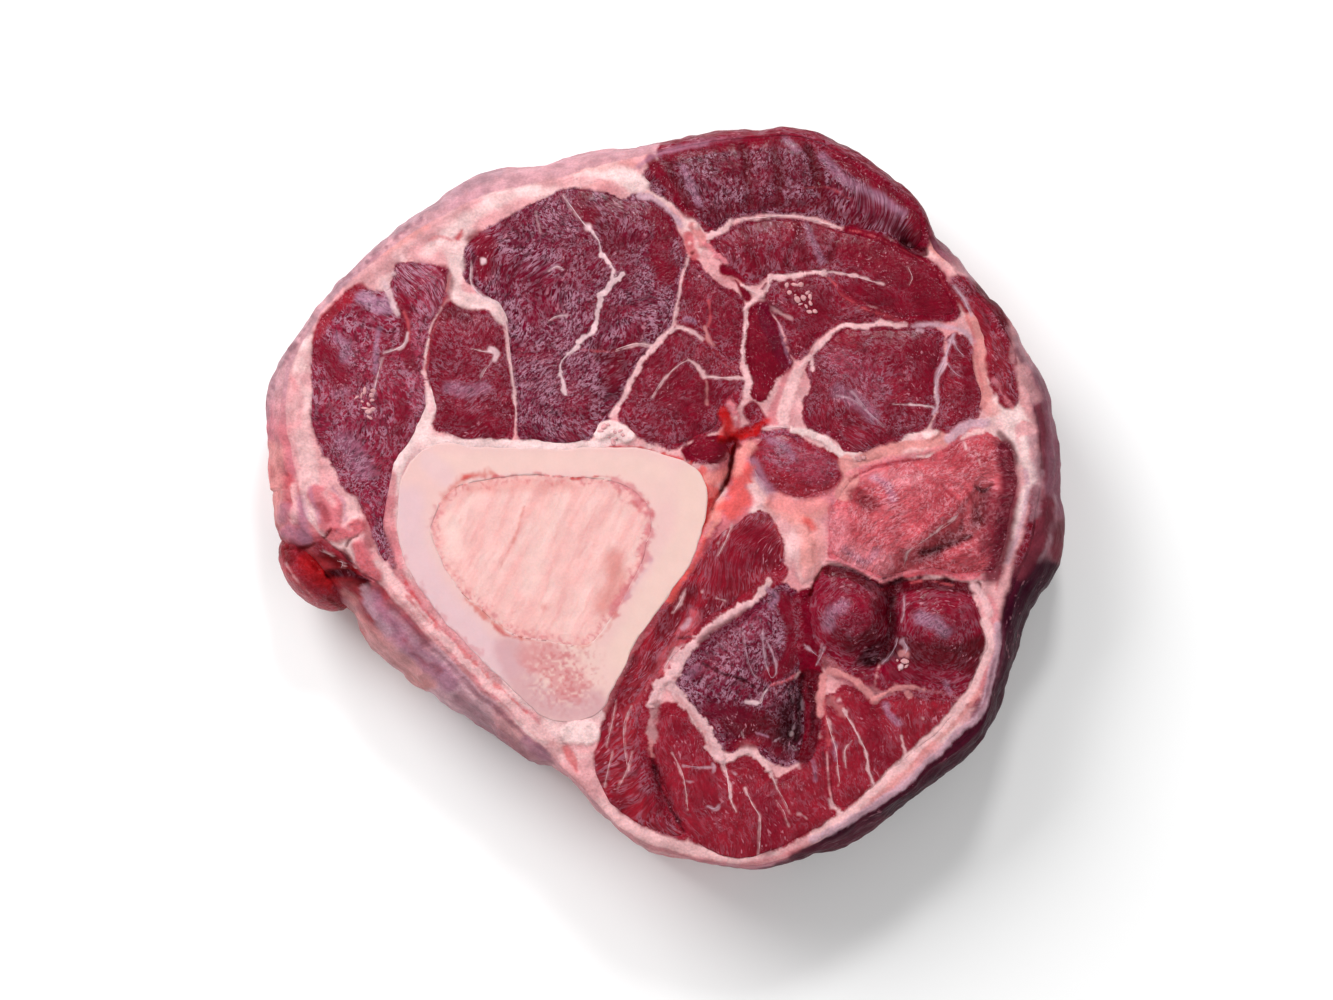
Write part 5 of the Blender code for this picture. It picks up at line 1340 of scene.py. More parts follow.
def refine(
    points: Points, triangles: Points, loops: list[Points]
) -> tuple[Points, Points, list[Points]]:
    """Split every triangle into four.

    Args:
        points: the points in the plane.
        triangles: rows of three indices.
        loops: the indices along each boundary loop, in order.

    Returns:
        The new points, triangles and boundary loops.
    """
    sides = np.vstack([triangles[:, [0, 1]], triangles[:, [1, 2]], triangles[:, [2, 0]]])
    ordered = np.sort(sides, axis=1)
    unique, where = np.unique(ordered, axis=0, return_inverse=True)
    where = where.reshape(-1)
    middles = points[unique].mean(axis=1)
    first = len(points)
    count = len(triangles)
    ab, bc, ca = (where[i * count : (i + 1) * count] + first for i in range(3))
    a, b, c = triangles.T
    split = np.vstack(
        [
            np.column_stack([a, ab, ca]),
            np.column_stack([ab, b, bc]),
            np.column_stack([ca, bc, c]),
            np.column_stack([ab, bc, ca]),
        ]
    )
    keys = unique[:, 0] * first + unique[:, 1]
    finer = []
    for loop in loops:
        pair = np.sort(np.column_stack([loop, np.roll(loop, -1)]), axis=1)
        found = np.searchsorted(keys, pair[:, 0] * first + pair[:, 1])
        finer.append(np.column_stack([loop, found + first]).reshape(-1))
    return np.vstack([points, middles]), split, finer


def fine_face(
    outlines: Sequence[Outline], step: float = COARSE_STEP
) -> tuple[Points, Points, list[Points]]:
    """A finely split face between the first outline and the holes after it.

    Args:
        outlines: the outer outline, then the holes.
        step: spacing of the points before they are refined, in millimetres.

    Returns:
        The points, the triangles and the indices along each outline.
    """
    counts = [max(12, round(o.length / step)) for o in outlines]
    loops = [o.sample(n) for o, n in zip(outlines, counts)]
    points, triangles = fill_face(loops, inner_points(loops, step))
    indices = []
    first = 0
    for count in counts:
        indices.append(np.arange(first, first + count))
        first += count
    for _ in range(REFINEMENTS):
        points, triangles, indices = refine(points, triangles, indices)
    for outline, index in zip(outlines, indices):
        points[index] = outline.sample(len(index))
    return points, triangles, indices


def drift(points: Points) -> Points:
    """How far the tissue strays sideways from its smooth outline at each point.

    Args:
        points: places in the plane, in millimetres.

    Returns:
        The shift of each point, in millimetres.
    """
    sway_x = 0.3 * lattice_noise(points, 4.0, 5) + 0.14 * lattice_noise(points, 1.6, 6)
    sway_y = 0.3 * lattice_noise(points, 4.0, 7) + 0.14 * lattice_noise(points, 1.6, 8)
    return np.column_stack([sway_x, sway_y])


def landform_height(points: Points) -> Points:
    """Height of all hills and hollows together at each point, in millimetres.

    Args:
        points: places on the cut face, in millimetres.

    Returns:
        One height for each point.
    """
    total = np.zeros(len(points))
    for form in LANDFORMS:
        turn = math.radians(form.turn_deg)
        dx, dy = points[:, 0] - form.x, points[:, 1] - form.y
        along = (dx * math.cos(turn) + dy * math.sin(turn)) / form.long_radius
        across = (dy * math.cos(turn) - dx * math.sin(turn)) / form.short_radius
        total += form.height * np.exp(-(along**2 + across**2))
    return total


@dataclass
class Coat:
    """What is painted on a set of points: colour, flesh share, sheen share and lift."""

    colour: Points
    flesh: Points
    sheen: Points
    lift: Points

    @classmethod
    def plain(cls, count: int, pigment: Pigment) -> Coat:
        """One pigment all over.

        Args:
            count: number of points.
            pigment: the pigment.

        Returns:
            The coat.
        """
        return cls(
            np.tile(pigment.linear(), (count, 1)),
            np.full(count, pigment.flesh),
            np.full(count, pigment.sheen),
            np.zeros(count),
        )

    def lay(self, pigment: Pigment, share: Points, where: Points | slice = slice(None)) -> None:
        """Lay a pigment over the points, by its share at each.

        Args:
            pigment: the pigment.
            share: how much of it each point gets, from 0 to 1.
            where: the points' indices, or all of them.
        """
        self.colour[where] += (pigment.linear() - self.colour[where]) * share[:, None]
        self.flesh[where] += (pigment.flesh - self.flesh[where]) * share
        self.sheen[where] += (pigment.sheen - self.sheen[where]) * share

    def pick(self, index: Points) -> Coat:
        """The coat of some of the points."""
        return Coat(self.colour[index], self.flesh[index], self.sheen[index], self.lift[index])

    @classmethod
    def joined(cls, coats: Sequence[Coat]) -> Coat:
        """Several coats one after the other."""
        parts = ("colour", "flesh", "sheen", "lift")
        return cls(*(np.concatenate([getattr(coat, part) for coat in coats]) for part in parts))

    def brush(self, points: Points, layer: Layer) -> None:
        """Lay the layer's strokes over points on the cut face, one after the other.

        Args:
            points: places on the cut face, in millimetres.
            layer: which strokes are laid.
        """
        ragged = lattice_noise(points, 1.3, 31) + 0.6 * lattice_noise(points, 0.6, 32)
        for stroke in STROKES:
            if stroke.layer is not layer:
                continue
            line = open_curve(on_face(stroke.picks))
            reach = stroke.half_width + stroke.soft + 2 * stroke.wobble
            where = within_box(points, line, reach)
            if not len(where):
                continue
            away = distance_to_line(points[where], line) + stroke.wobble * ragged[where]
            share = 1.0 - smooth_share((away - stroke.half_width) / stroke.soft + 0.5)
            self.lay(stroke.pigment, share * stroke.strength, where)
            self.lift[where] += stroke.lift * share


def paint_mesh(mesh: bpy.types.Mesh, coat: Coat, grain: Points) -> None:
    """Store a coat on a mesh, where the finishes read it.

    Args:
        mesh: the mesh to paint.
        coat: what is painted on its points.
        grain: place of each point in the pattern of fibres, in millimetres.
    """
    colour = np.hstack([coat.colour, np.ones((len(grain), 1))])
    layers = {
        "tint": ("FLOAT_COLOR", "color", colour),
        "flesh": ("FLOAT", "value", coat.flesh),
        "sheen": ("FLOAT", "value", coat.sheen),
        "fibres": ("FLOAT_VECTOR", "vector", grain),
    }
    for name, (kind, key, values) in layers.items():
        layer = mesh.attributes.new(name, kind, "POINT")
        layer.data.foreach_set(key, values.astype(np.float32).reshape(-1))


def make_mesh(
    name: str, points: Points, triangles: Points, coat: Coat, grain: Points | None = None
) -> bpy.types.Object:
    """A smooth mesh object in metres that carries its coat as attributes.

    Args:
        name: name of the object.
        points: places in space, in millimetres.
        triangles: rows of three indices, seen counterclockwise from outside.
        coat: what is painted on the points.
        grain: place of each point in the pattern of fibres, in millimetres. Without it the
            pattern lies evenly in space.

    Returns:
        The object, at the origin.
    """
    mesh = bpy.data.meshes.new(name)
    mesh.vertices.add(len(points))
    mesh.vertices.foreach_set("co", (points * MM).astype(np.float32).reshape(-1))
    mesh.loops.add(3 * len(triangles))
    mesh.loops.foreach_set("vertex_index", triangles.astype(np.int32).reshape(-1))
    mesh.polygons.add(len(triangles))
    mesh.polygons.foreach_set("loop_start", np.arange(0, 3 * len(triangles), 3, dtype=np.int32))
    mesh.update(calc_edges=True)
    mesh.validate()
    paint_mesh(mesh, coat, points if grain is None else grain)
    mesh.shade_smooth()
    piece = bpy.data.objects.new(name, mesh)
    bpy.context.scene.collection.objects.link(piece)
    return piece


@dataclass
class SliceFrame:
    """The outlines of the frame's solids, read from their meshes."""

    nodes: dict[str, bpy.types.Object]
    foot_loops: dict[str, list[Points]] = field(default_factory=dict)

    def loops(self, node: str) -> list[Points]:
        """Boundary loops of a solid's flat foot, the outer one first, in millimetres.

        Args:
            node: name of the solid.

        Returns:
            The loops' points, in order round each.
        """
        if node in self.foot_loops:
            return self.foot_loops[node]
        mesh = self.nodes[node].data
        mesh.calc_loop_triangles()
        places = np.empty(3 * len(mesh.vertices), np.float32)
        mesh.vertices.foreach_get("co", places)
        places = np.round(places.reshape(-1, 3).astype(float) / MM, 3)
        corners = np.empty(3 * len(mesh.loop_triangles), np.int32)
        mesh.loop_triangles.foreach_get("vertices", corners)
        unique, where = np.unique(places, axis=0, return_inverse=True)
        triangles = where.reshape(-1)[corners].reshape(-1, 3)
        flat = triangles[np.all(np.abs(unique[triangles][:, :, 2]) < 0.002, axis=1)]
        following: dict[int, int] = {}
        edges = {(int(t[i]), int(t[(i + 1) % 3])) for t in flat for i in range(3)}
        for start, end in edges:
            if (end, start) not in edges:
                following[start] = end
        found = []
        while following:
            start, point = following.popitem()
            chain = [start]
            while point != start:
                chain.append(point)
                point = following.pop(point)
            found.append(unique[chain][:, :2])
        found.sort(key=lambda loop: -abs(signed_area(loop)))
        self.foot_loops[node] = found
        return found

    def outline(self, node: str, index: int = 0) -> Outline:
        """One foot loop of a solid as a smooth outline in the middle of its gap."""
        half_gap = 0.15 if index == 0 else -0.15
        return Outline(smooth_curve(self.loops(node)[index], 6)).widened(half_gap)

    def wall_ring(self, height: float) -> tuple[Points, Points]:
        """Angles and radii of the side wall's points at a height, sorted by angle.

        Args:
            height: the height, in millimetres.

        Returns:
            The angles, in radians, and the radii, in millimetres.
        """
        mesh = self.nodes["fat_and_fascia"].data
        places = np.empty(3 * len(mesh.vertices), np.float32)
        mesh.vertices.foreach_get("co", places)
        places = np.unique(np.round(places.reshape(-1, 3).astype(float) / MM, 3), axis=0)
        ring = places[np.abs(places[:, 2] - height) < 0.01][:, :2]
        reach = np.linalg.norm(ring, axis=1)
        angle = np.arctan2(ring[:, 1], ring[:, 0])
        order = np.argsort(angle)
        return angle[order], reach[order]

    def rim_and_belly(self) -> tuple[Outline, Callable[[Points], Points]]:
        """The edge of the cut face, and the widest radius of the side for any angle.

        The solid's side is a share of the way from rim to belly at each height, so two of its
        rings give both.

        Returns:
            The rim, and a function that gives the radius for angles in radians.
        """
        angle_near, reach_near = self.wall_ring(29.0)
        angle_wide, reach_wide = self.wall_ring(16.0)
        angle = np.linspace(-math.pi, math.pi, 241)[:-1]
        wide = np.interp(angle, angle_wide, reach_wide, period=math.tau)
        outer = reach_near > np.interp(angle_near, angle, wide, period=math.tau) - RIM_REACH
        near = np.interp(angle, angle_near[outer], reach_near[outer], period=math.tau)
        rim = (near - RIM_SHARE * wide) / (1.0 - RIM_SHARE)
        loop = around(angle, rim)

        def belly(at: Points) -> Points:
            """Radius of the belly at each angle."""
            return np.interp(at, angle, wide, period=math.tau)

        return Outline(smooth_curve(loop, 5)), belly


def stitch(upper: Points, lower: Points, outward: bool) -> Points:
    """Triangles of a wall between two closed loops.

    Args:
        upper: indices round the upper loop, a whole multiple of the lower one's number.
        lower: indices round the lower loop.
        outward: True where the wall faces away from the middle of the loop.

    Returns:
        Rows of three indices.
    """
    factor = len(upper) // len(lower)
    following_upper = np.roll(upper, -1)
    share = np.arange(len(upper))
    nearest = lower[((share + factor // 2) // factor) % len(lower)]
    fans = np.column_stack([upper, nearest, following_upper])
    turn = factor // 2 if factor > 1 else 1
    corner = upper[(np.arange(len(lower)) * factor + turn) % len(upper)]
    if factor == 1:
        fans = np.column_stack([upper, lower, following_upper])
    joins = np.column_stack([corner, lower, np.roll(lower, -1)])
    walls = np.vstack([fans, joins])
    return walls if outward else walls[:, ::-1]


@dataclass
class Block:
    """A closed block under a painted face: the face, its side walls and a flat foot."""

    flat: Points
    triangles: Points
    loops: list[Points]
    height: Points
    coat: Coat
    wall: SideWall | None = None
    grain: Points | None = None

    def build(self, name: str) -> bpy.types.Object:
        """Close the block and make it a mesh object.

        Args:
            name: name of the object.

        Returns:
            The object, at the origin, with its coat as attributes.
        """
        top = np.column_stack([self.flat, THICKNESS + self.height])
        layers = [top]
        faces = [self.triangles]
        coats = [self.coat]
        count = len(top)
        foot_loops = []
        for index, loop in enumerate(self.loops):
            upper = loop
            if index == 0 and self.wall is not None:
                rows, coat = self.wall.rows(top[loop])
                for row in rows:
                    following = np.arange(count, count + len(row))
                    faces.append(stitch(upper, following, True))
                    layers.append(row)
                    count += len(row)
                    upper = following
                coats.append(coat)
                foot = self.wall.foot(top[loop])[::FINE_FACTOR]
            else:
                foot = self.flat[loop][::FINE_FACTOR]
            lower = np.arange(count, count + len(foot))
            faces.append(stitch(upper, lower, index == 0))
            layers.append(np.column_stack([foot, np.zeros(len(foot))]))
            coats.append(coats[0].pick(loop[::FINE_FACTOR]))
            foot_loops.append((foot, lower))
            count += len(foot)
        outlines = [foot for foot, _ in foot_loops]
        spread, patches = fill_face(outlines, inner_points(outlines, FOOT_STEP * 3))
        known = np.concatenate([lower for _, lower in foot_loops])
        inner = spread[len(known) :]
        numbers = np.concatenate([known, np.arange(count, count + len(inner))])
        faces.append(numbers[patches][:, ::-1])
        layers.append(np.column_stack([inner, np.zeros(len(inner))]))
        nearest = nearest_indices(inner, self.flat)
        coats.append(coats[0].pick(nearest))
        points = np.vstack(layers)
        points[:, :2] += drift(points[:, :2])
        fibres = points / np.array([3.0, 3.0, 1.0])
        fibres[: len(top)] = top if self.grain is None else self.grain
        return make_mesh(name, points, np.vstack(faces), Coat.joined(coats), fibres)


def seen_on_face(points: Points) -> Points:
    """Where on the plane of the cut face the eye of the studio sees points that lie lower.

    Args:
        points: places in space, in millimetres.

    Returns:
        The plane's places in front of them, in two dimensions.
    """
    eye = Studio().eye()
    share = (THICKNESS - points[:, 2:]) / (eye[2] - points[:, 2:])
    return points[:, :2] + (eye[:2] - points[:, :2]) * share


@dataclass
class SideWall:
    """The outside of the slice, from the rim of the cut face down to its foot."""

    belly: Callable[[Points], Points]
    depths: tuple[float, ...] = (
        0.2, 0.45, 0.75, 1.1, 1.6, 2.2, 2.9, 3.7, 4.6, 5.6, 6.7, 7.9, 9.2, 10.6, 12.1, 13.7,
        15.4, 17.2, 19.0, 21.0, 23.0, 25.0, 26.8, 28.2, 29.3,
    )

    def reach(self, rim: Points, depth: float) -> Points:
        """Distance from the middle to the wall at a depth, for each point of the rim.

        Args:
            rim: points round the edge of the cut face.
            depth: depth below that face, in millimetres.

        Returns:
            One distance for each point, in millimetres.
        """
        share = float(np.interp(depth, WALL_DEPTHS, WALL_SHARES))
        inset = float(np.interp(depth, FOOT_DEPTHS, FOOT_INSETS))
        angle = np.arctan2(rim[:, 1], rim[:, 0])
        start = np.linalg.norm(rim[:, :2], axis=1)
        return (start + share * (self.belly(angle) - start)) * inset

    def rows(self, rim: Points) -> tuple[list[Points], Coat]:
        """Rows of points down the wall with their coat.

        Args:
            rim: points round the edge of the cut face, in three dimensions.

        Returns:
            The rows from the top down, and one coat for all of them.
        """
        angle = np.arctan2(rim[:, 1], rim[:, 0])
        sink = rim[:, 2] - THICKNESS
        places, stations = [], []
        for depth in self.depths:
            at = np.column_stack([np.degrees(angle) * ARC_PER_DEGREE, np.full_like(angle, depth)])
            reach = self.reach(rim, depth) + self.relief(at) * smooth_share(np.array(depth / 2.0))
            height = THICKNESS - depth + sink * math.exp(-depth / 3.0)
            places.append(np.column_stack([around(angle, reach), height]))
            stations.append(at)
        where = np.concatenate(stations)
        coat = self.paint(where)
        joined = np.vstack(places)
        seen = seen_on_face(joined)
        hidden = np.tile(np.linalg.norm(rim[:, :2], axis=1), len(places))
        hidden = hidden - np.linalg.norm(seen, axis=1) > HIDDEN_REACH
        seen[hidden] = OUT_OF_SIGHT
        coat.brush(seen, Layer.FACE)
        outward = joined[:, :2] / np.linalg.norm(joined[:, :2], axis=1)[:, None]
        joined[:, :2] += outward * (coat.lift * np.minimum(where[:, 1] / 2.0, 1.0))[:, None]
        return list(joined.reshape(len(places), -1, 3)), coat

    def foot(self, rim: Points) -> Points:
        """The flat foot's outline."""
        return around(np.arctan2(rim[:, 1], rim[:, 0]), self.reach(rim, THICKNESS))

    def relief(self, at: Points) -> Points:
        """How far the wall stands out at each place, given as arc and depth in millimetres.

        Args:
            at: the places.

        Returns:
            How far out each is, in millimetres.
        """
        long_folds = layered_noise(at / np.array([3.2, 1.0]), 2.6, 71)
        lumps = layered_noise(at / np.array([1.4, 1.0]), 5.0, 73)
        foot = smooth_share((THICKNESS - at[:, 1]) / 4.0)
        return (0.55 * long_folds + 0.7 * lumps - 0.3) * foot

    def paint(self, at: Points) -> Coat:
        """The wall's coat at each place, given as arc and depth in millimetres.

        Args:
            at: the places.

        Returns:
            Their coat.
        """
        coat = Coat.plain(len(at), FAT_ROSE)
        degrees = at[:, 0] / ARC_PER_DEGREE
        sway = degrees + 16.0 * layered_noise(at, 12.0, 75)
        for part in WALL_PARTS:
            coat.lay(part.pigment, part.share(sway))
        streak = layered_noise(at / np.array([2.5, 1.0]), 4.0, 77, 2)
        fine = layered_noise(at / np.array([3.0, 1.0]), 2.6, 79, 1)
        coat.lay(LILAC, 0.4 * smooth_share((streak - 0.05) * 3.0))
        coat.lay(MEMBRANE, 0.35 * smooth_share((-streak - 0.1) * 3.0))
        coat.lay(FAT_PINK, 0.5 * smooth_share((fine - 0.25) * 3.0))
        for part in WALL_PARTS:
            coat.lay(part.pigment, part.share(sway) * part.cover)
        return coat


@dataclass(frozen=True)
class WallPart:
    """A stretch of the side wall between two angles, with the pigment that prevails there."""

    start_deg: float
    end_deg: float
    pigment: Pigment
    cover: float = 0.45

    def share(self, degrees: Points) -> Points:
        """Find how far each direction belongs to this stretch.

        Args:
            degrees: directions from the middle of the slice.

        Returns:
            Their shares, from 0 outside to 1 inside, with a soft border.
        """
        middle = (self.start_deg + self.end_deg) / 2
        half = (self.end_deg - self.start_deg) / 2
        away = np.abs((degrees - middle + 180.0) % 360.0 - 180.0)
        return smooth_share((half - away) / WALL_BORDER_DEG + 0.5)


WALL_PARTS = (
    WallPart(8.0, 42.0, FAT_PINK),
    WallPart(40.0, 92.0, Pigment(106, 26, 46, flesh=0.8, sheen=0.3), 0.65),
    WallPart(92.0, 172.0, Pigment(200, 148, 156), 0.6),
    WallPart(172.0, 190.0, FAT_ROSE, 0.5),
    WallPart(188.0, 207.0, Pigment(166, 54, 60, flesh=0.5, sheen=0.1), 0.6),
    WallPart(206.0, 238.0, Pigment(224, 174, 184), 0.6),
    WallPart(236.0, 276.0, FAT_PINK, 0.5),
    WallPart(274.0, 290.0, Pigment(192, 124, 134), 0.5),
    # The lower right of the wall: partly its own dark colour, partly painted shade where it faces away
    # from the key light
    WallPart(288.0, 334.0, Pigment(62, 22, 36, flesh=0.5), 0.75),
    WallPart(332.0, 382.0, Pigment(168, 108, 120), 0.5),
)


def face_texture(points: Points) -> Points:
    """Fine unevenness of the cut tissue, in millimetres."""
    return 0.1 * layered_noise(points, 3.0, 41) + 0.05 * layered_noise(points, 1.1, 43)


def seam_groove(edge: Points) -> Points:
    """How far the surface sinks towards a seam, from the distance to it."""
    return -GROOVE_DEPTH * np.exp(-edge / GROOVE_WIDTH)


@dataclass
class Muscle:
    """One muscle of the slice, cut across: a low swell of dark meat inside its seams."""

    node: str
    look: MuscleLook
    frame: SliceFrame

    def build(self) -> bpy.types.Object:
        """Shape and paint the muscle.

        Returns:
            The finished piece, which stands for the muscle's solid.
        """
        outline = self.frame.outline(self.node).widened(PIECE_LAP)
        flat, triangles, loops = fine_face([outline], MEAT_STEP)
        edge = distance_to_curves(flat, [outline.sample(3 * len(loops[0]))])
        edge[loops[0]] = 0.0
        coat = Coat.plain(len(flat), self.look.pigment)
        self.shade(flat, coat)
        coat.brush(flat, Layer.FACE)
        run = 1.0 - np.minimum(edge / CROWN_RUN, 1.0)
        relief = landform_height(flat) + coat.lift
        # Painted shade: darken the colour in the hollows and sunk strokes, the deeper the more
        coat.colour *= 1.0 - HOLLOW_SHADE * smooth_share(-relief / HOLLOW_DEPTH)[:, None]
        height = self.look.crown * (1.0 - run**2) + relief
        height += face_texture(flat) + seam_groove(edge)
        grain = self.fibres(flat)
        return Block(flat, triangles, loops, height, coat, grain=grain).build(f"{self.node}_meat")

    def fibres(self, flat: Points) -> Points:
        """Place of each point in the pattern of fibres, which runs its own way in each muscle.

        Args:
            flat: the muscle's points on the cut face.

        Returns:
            Three numbers for each point, in millimetres.
        """
        middle = flat.mean(axis=0)
        stray = np.column_stack([lattice_noise(flat, 7.0, 47), lattice_noise(flat, 7.0, 48)])
        strayed = flat - middle + 1.5 * stray
        if self.look.rings_about is not None:
            spoke = flat - np.array(self.look.rings_about)
            reach = np.linalg.norm(spoke, axis=1) + 0.5 * lattice_noise(flat, 4.0, 47)
            turn = np.arctan2(spoke[:, 1], spoke[:, 0])
            return np.column_stack([RING_STRETCH * np.cos(turn), reach, RING_STRETCH * np.sin(turn)])
        turn = np.radians(self.look.fibre_deg + 22.0 * lattice_noise(flat, 16.0, 49))
        along = strayed[:, 0] * np.cos(turn) + strayed[:, 1] * np.sin(turn)
        across = strayed[:, 1] * np.cos(turn) - strayed[:, 0] * np.sin(turn)
        return np.column_stack([along / self.look.stretch, across, np.full(len(flat), middle[0])])

    def shade(self, flat: Points, coat: Coat) -> None:
        """Lay the meat's own cloudy changes of colour over its base pigment.

        Args:
            flat: the muscle's points.
            coat: the coat to change.
        """
        clouds = layered_noise(flat, 9.0, 51)
        coat.lay(FLESH_WET, 0.4 * smooth_share((clouds - 0.12) * 3.0))
        coat.lay(FLESH_BROWN, 0.3 * smooth_share((-clouds - 0.15) * 3.0))


@dataclass
class TissueWeb:
    """The fat and connective tissue round and between the muscles, with the slice's side."""

    frame: SliceFrame
    inside_nodes: tuple[str, ...]
    node: str = "fat_and_fascia"

    def build(self) -> bpy.types.Object:
        """Shape and paint the tissue.

        Returns:
            The finished piece, which stands for the solid of fat and fascia.
        """
        rim, belly = self.frame.rim_and_belly()
        holes = [self.frame.outline(node).widened(-PIECE_LAP) for node in self.inside_nodes]
        flat, triangles, loops = fine_face([rim, *holes], WEB_STEP)
        seams = [h.sample(3 * len(loop)) for h, loop in zip(holes, loops[1:])]
        edge = distance_to_curves(flat, seams)
        for loop in loops[1:]:
            edge[loop] = 0.0
        brink = distance_to_curves(flat, [rim.sample(3 * len(loops[0]))])
        brink[loops[0]] = 0.0
        coat = Coat.plain(len(flat), FAT_PINK)
        self.shade(flat, brink, coat)
        self.draw_in(flat, holes, coat)
        coat.brush(flat, Layer.WEB)
        coat.brush(flat, Layer.FACE)
        height = landform_height(flat) + coat.lift + seam_groove(edge)
        height += (face_texture(flat) + 0.25 * layered_noise(flat, 5.0, 45)) * smooth_share(edge / 2)
        height -= 0.7 * np.exp(-brink / 0.9)
        wall = SideWall(belly)
        return Block(flat, triangles, loops, height, coat, wall).build(f"{self.node}_web")

    def shade(self, flat: Points, brink: Points, coat: Coat) -> None:
        """Lay the fat's own changes of colour over its base pigment.

        Args:
            flat: the web's points.
            brink: distance of each point to the rim, in millimetres.
            coat: the coat to change.
        """
        clouds = layered_noise(flat, 6.0, 53)
        coat.lay(FAT_WHITE, 0.7 * smooth_share(clouds * 2.5))
        coat.lay(FAT_ROSE, 0.4 * smooth_share((-clouds - 0.15) * 2.5))
        strands = layered_noise(np.column_stack([2.2 * brink, flat / 4.0]), 1.6, 93)
        outer = smooth_share((8.0 - brink) / 4.0)
        coat.lay(FAT_DULL, 0.6 * outer * smooth_share((strands - 0.08) * 3.0))
        coat.lay(FAT_TAN, 0.4 * outer * smooth_share((-strands - 0.15) * 3.0))

    def draw_in(self, flat: Points, holes: Sequence[Outline], coat: Coat) -> None:
        """Colour the tissue like the meat beside it wherever two muscles lie close together.

        Args:
            flat: the web's points.
            holes: outlines of the pieces inside the web, in the order of inside_nodes.
            coat: the coat to change.
        """
        reach = 7.0
        first = np.full(len(flat), reach)
        second = np.full(len(flat), reach)
        owner = np.full(len(flat), -1)
        for index, (node, hole) in enumerate(zip(self.inside_nodes, holes)):
            if node not in MUSCLE_LOOKS:
                continue
            ring = hole.sample(max(24, round(hole.length / 0.3)))
            where = within_box(flat, ring, reach)
            away = distance_to_curves(flat[where], [ring])
            closer = away < first[where]
            second[where] = np.where(closer, first[where], np.minimum(second[where], away))
            first[where] = np.minimum(first[where], away)
            owner[where[closer]] = index
        width = first + second
        ragged = 0.15 * lattice_noise(flat, 0.9, 91) + 0.15 * lattice_noise(flat, 3.0, 92)
        ragged += 0.1 * lattice_noise(flat, 0.45, 94)
        half_seam = np.interp(width, SEAM_SPANS, SEAM_HALVES) + ragged
        share = smooth_share(((second - first) / 2 - half_seam) / 0.3 + 0.5)
        share[first + second >= reach + 5.0] = 0.0
        share = np.maximum(share, smooth_share((0.35 + 2.0 * ragged - first) / 0.4 + 0.5))
        for index, node in enumerate(self.inside_nodes):
            where = np.nonzero((owner == index) & (share > 0.0))[0]
            if len(where):
                coat.lay(MUSCLE_LOOKS[node].pigment, share[where], where)


@dataclass
class BoneRing:
    """The sawn shaft of the bone: a pale ring, granular at its narrow end."""

    frame: SliceFrame
    node: str = "bone"
    spongy_middle: tuple[float, float] = (-20.0, -37.0)
    spongy_reach: float = 7.5

    def build(self) -> bpy.types.Object:
        """Shape and paint the bone.

        Returns:
            The finished piece, which stands for the bone's solid.
        """
        outer = self.frame.outline(self.node).widened(PIECE_LAP)
        hole = self.frame.outline("marrow").widened(-PIECE_LAP)
        flat, triangles, loops = fine_face([outer, hole])
        coat = Coat.plain(len(flat), BONE_CREAM)
        clouds = layered_noise(flat, 12.0, 55)
        coat.lay(BONE_WARM, 0.4 * smooth_share((clouds + 0.1) * 2.0))
        coat.brush(flat, Layer.CORE)
        self.speckle(flat, coat)
        height = coat.lift + 0.02 * layered_noise(flat, 2.0, 57)
        return Block(flat, triangles, loops, height, coat).build("bone_ring")

    def speckle(self, flat: Points, coat: Coat) -> None:
        """Scatter the light and dark grains of spongy bone over the ring's narrow end.

        Args:
            flat: the ring's points.
            coat: the coat to change.
        """
        reach = np.linalg.norm(flat - np.array(self.spongy_middle), axis=1)
        spongy = np.exp(-((reach / self.spongy_reach) ** 4))
        grain = lattice_noise(flat, 0.55, 58)
        coat.lay(BONE_WARM, 0.7 * spongy * smooth_share((grain - 0.25) * 3.0))
        coat.lay(SEAM_RED, 0.4 * spongy * smooth_share((-grain - 0.25) * 3.0))


@dataclass
class MarrowFill:
    """The fatty marrow in the bone, smeared in one direction by the saw."""

    frame: SliceFrame
    node: str = "marrow"
    smear_deg: float = 63.0
    smear_stretch: float = 7.0

    def build(self) -> bpy.types.Object:
        """Shape and paint the marrow.

        Returns:
            The finished piece, which stands for the marrow's solid.
        """
        outline = self.frame.outline(self.node).widened(PIECE_LAP)
        flat, triangles, loops = fine_face([outline])
        coat = Coat.plain(len(flat), MARROW_PINK)
        turn = math.radians(self.smear_deg)
        along = flat @ np.array([math.cos(turn), math.sin(turn)])
        across = flat @ np.array([-math.sin(turn), math.cos(turn)])
        smear = np.column_stack([along / self.smear_stretch, across])
        streak = layered_noise(smear, 1.4, 61)
        fine = layered_noise(smear, 0.6, 63, 2)
        coat.lay(MARROW_ROSE, 0.4 * smooth_share((streak - 0.05) * 2.5))
        coat.lay(MARROW_LIGHT, 0.45 * smooth_share((-streak - 0.1) * 2.5))
        coat.lay(MARROW_ROSE, 0.3 * smooth_share((fine - 0.2) * 3.0))
        edge = distance_to_curves(flat, [outline.sample(3 * len(loops[0]))])
        grain = lattice_noise(flat, 0.5, 66)
        rind = smooth_share((2.2 + 1.2 * layered_noise(flat, 1.6, 65) - edge) / 1.2)
        coat.lay(MARROW_ROSE, 0.45 * rind)
        coat.lay(FAT_ROSE, 0.5 * rind * smooth_share((grain - 0.2) * 3.0))
        coat.lay(MARROW_LIGHT, 0.4 * rind * smooth_share((-grain - 0.25) * 3.0))
        coat.brush(flat, Layer.CORE)
        height = coat.lift - 0.02 + 0.06 * streak + 0.05 * fine
        return Block(flat, triangles, loops, height, coat).build("marrow_fill")


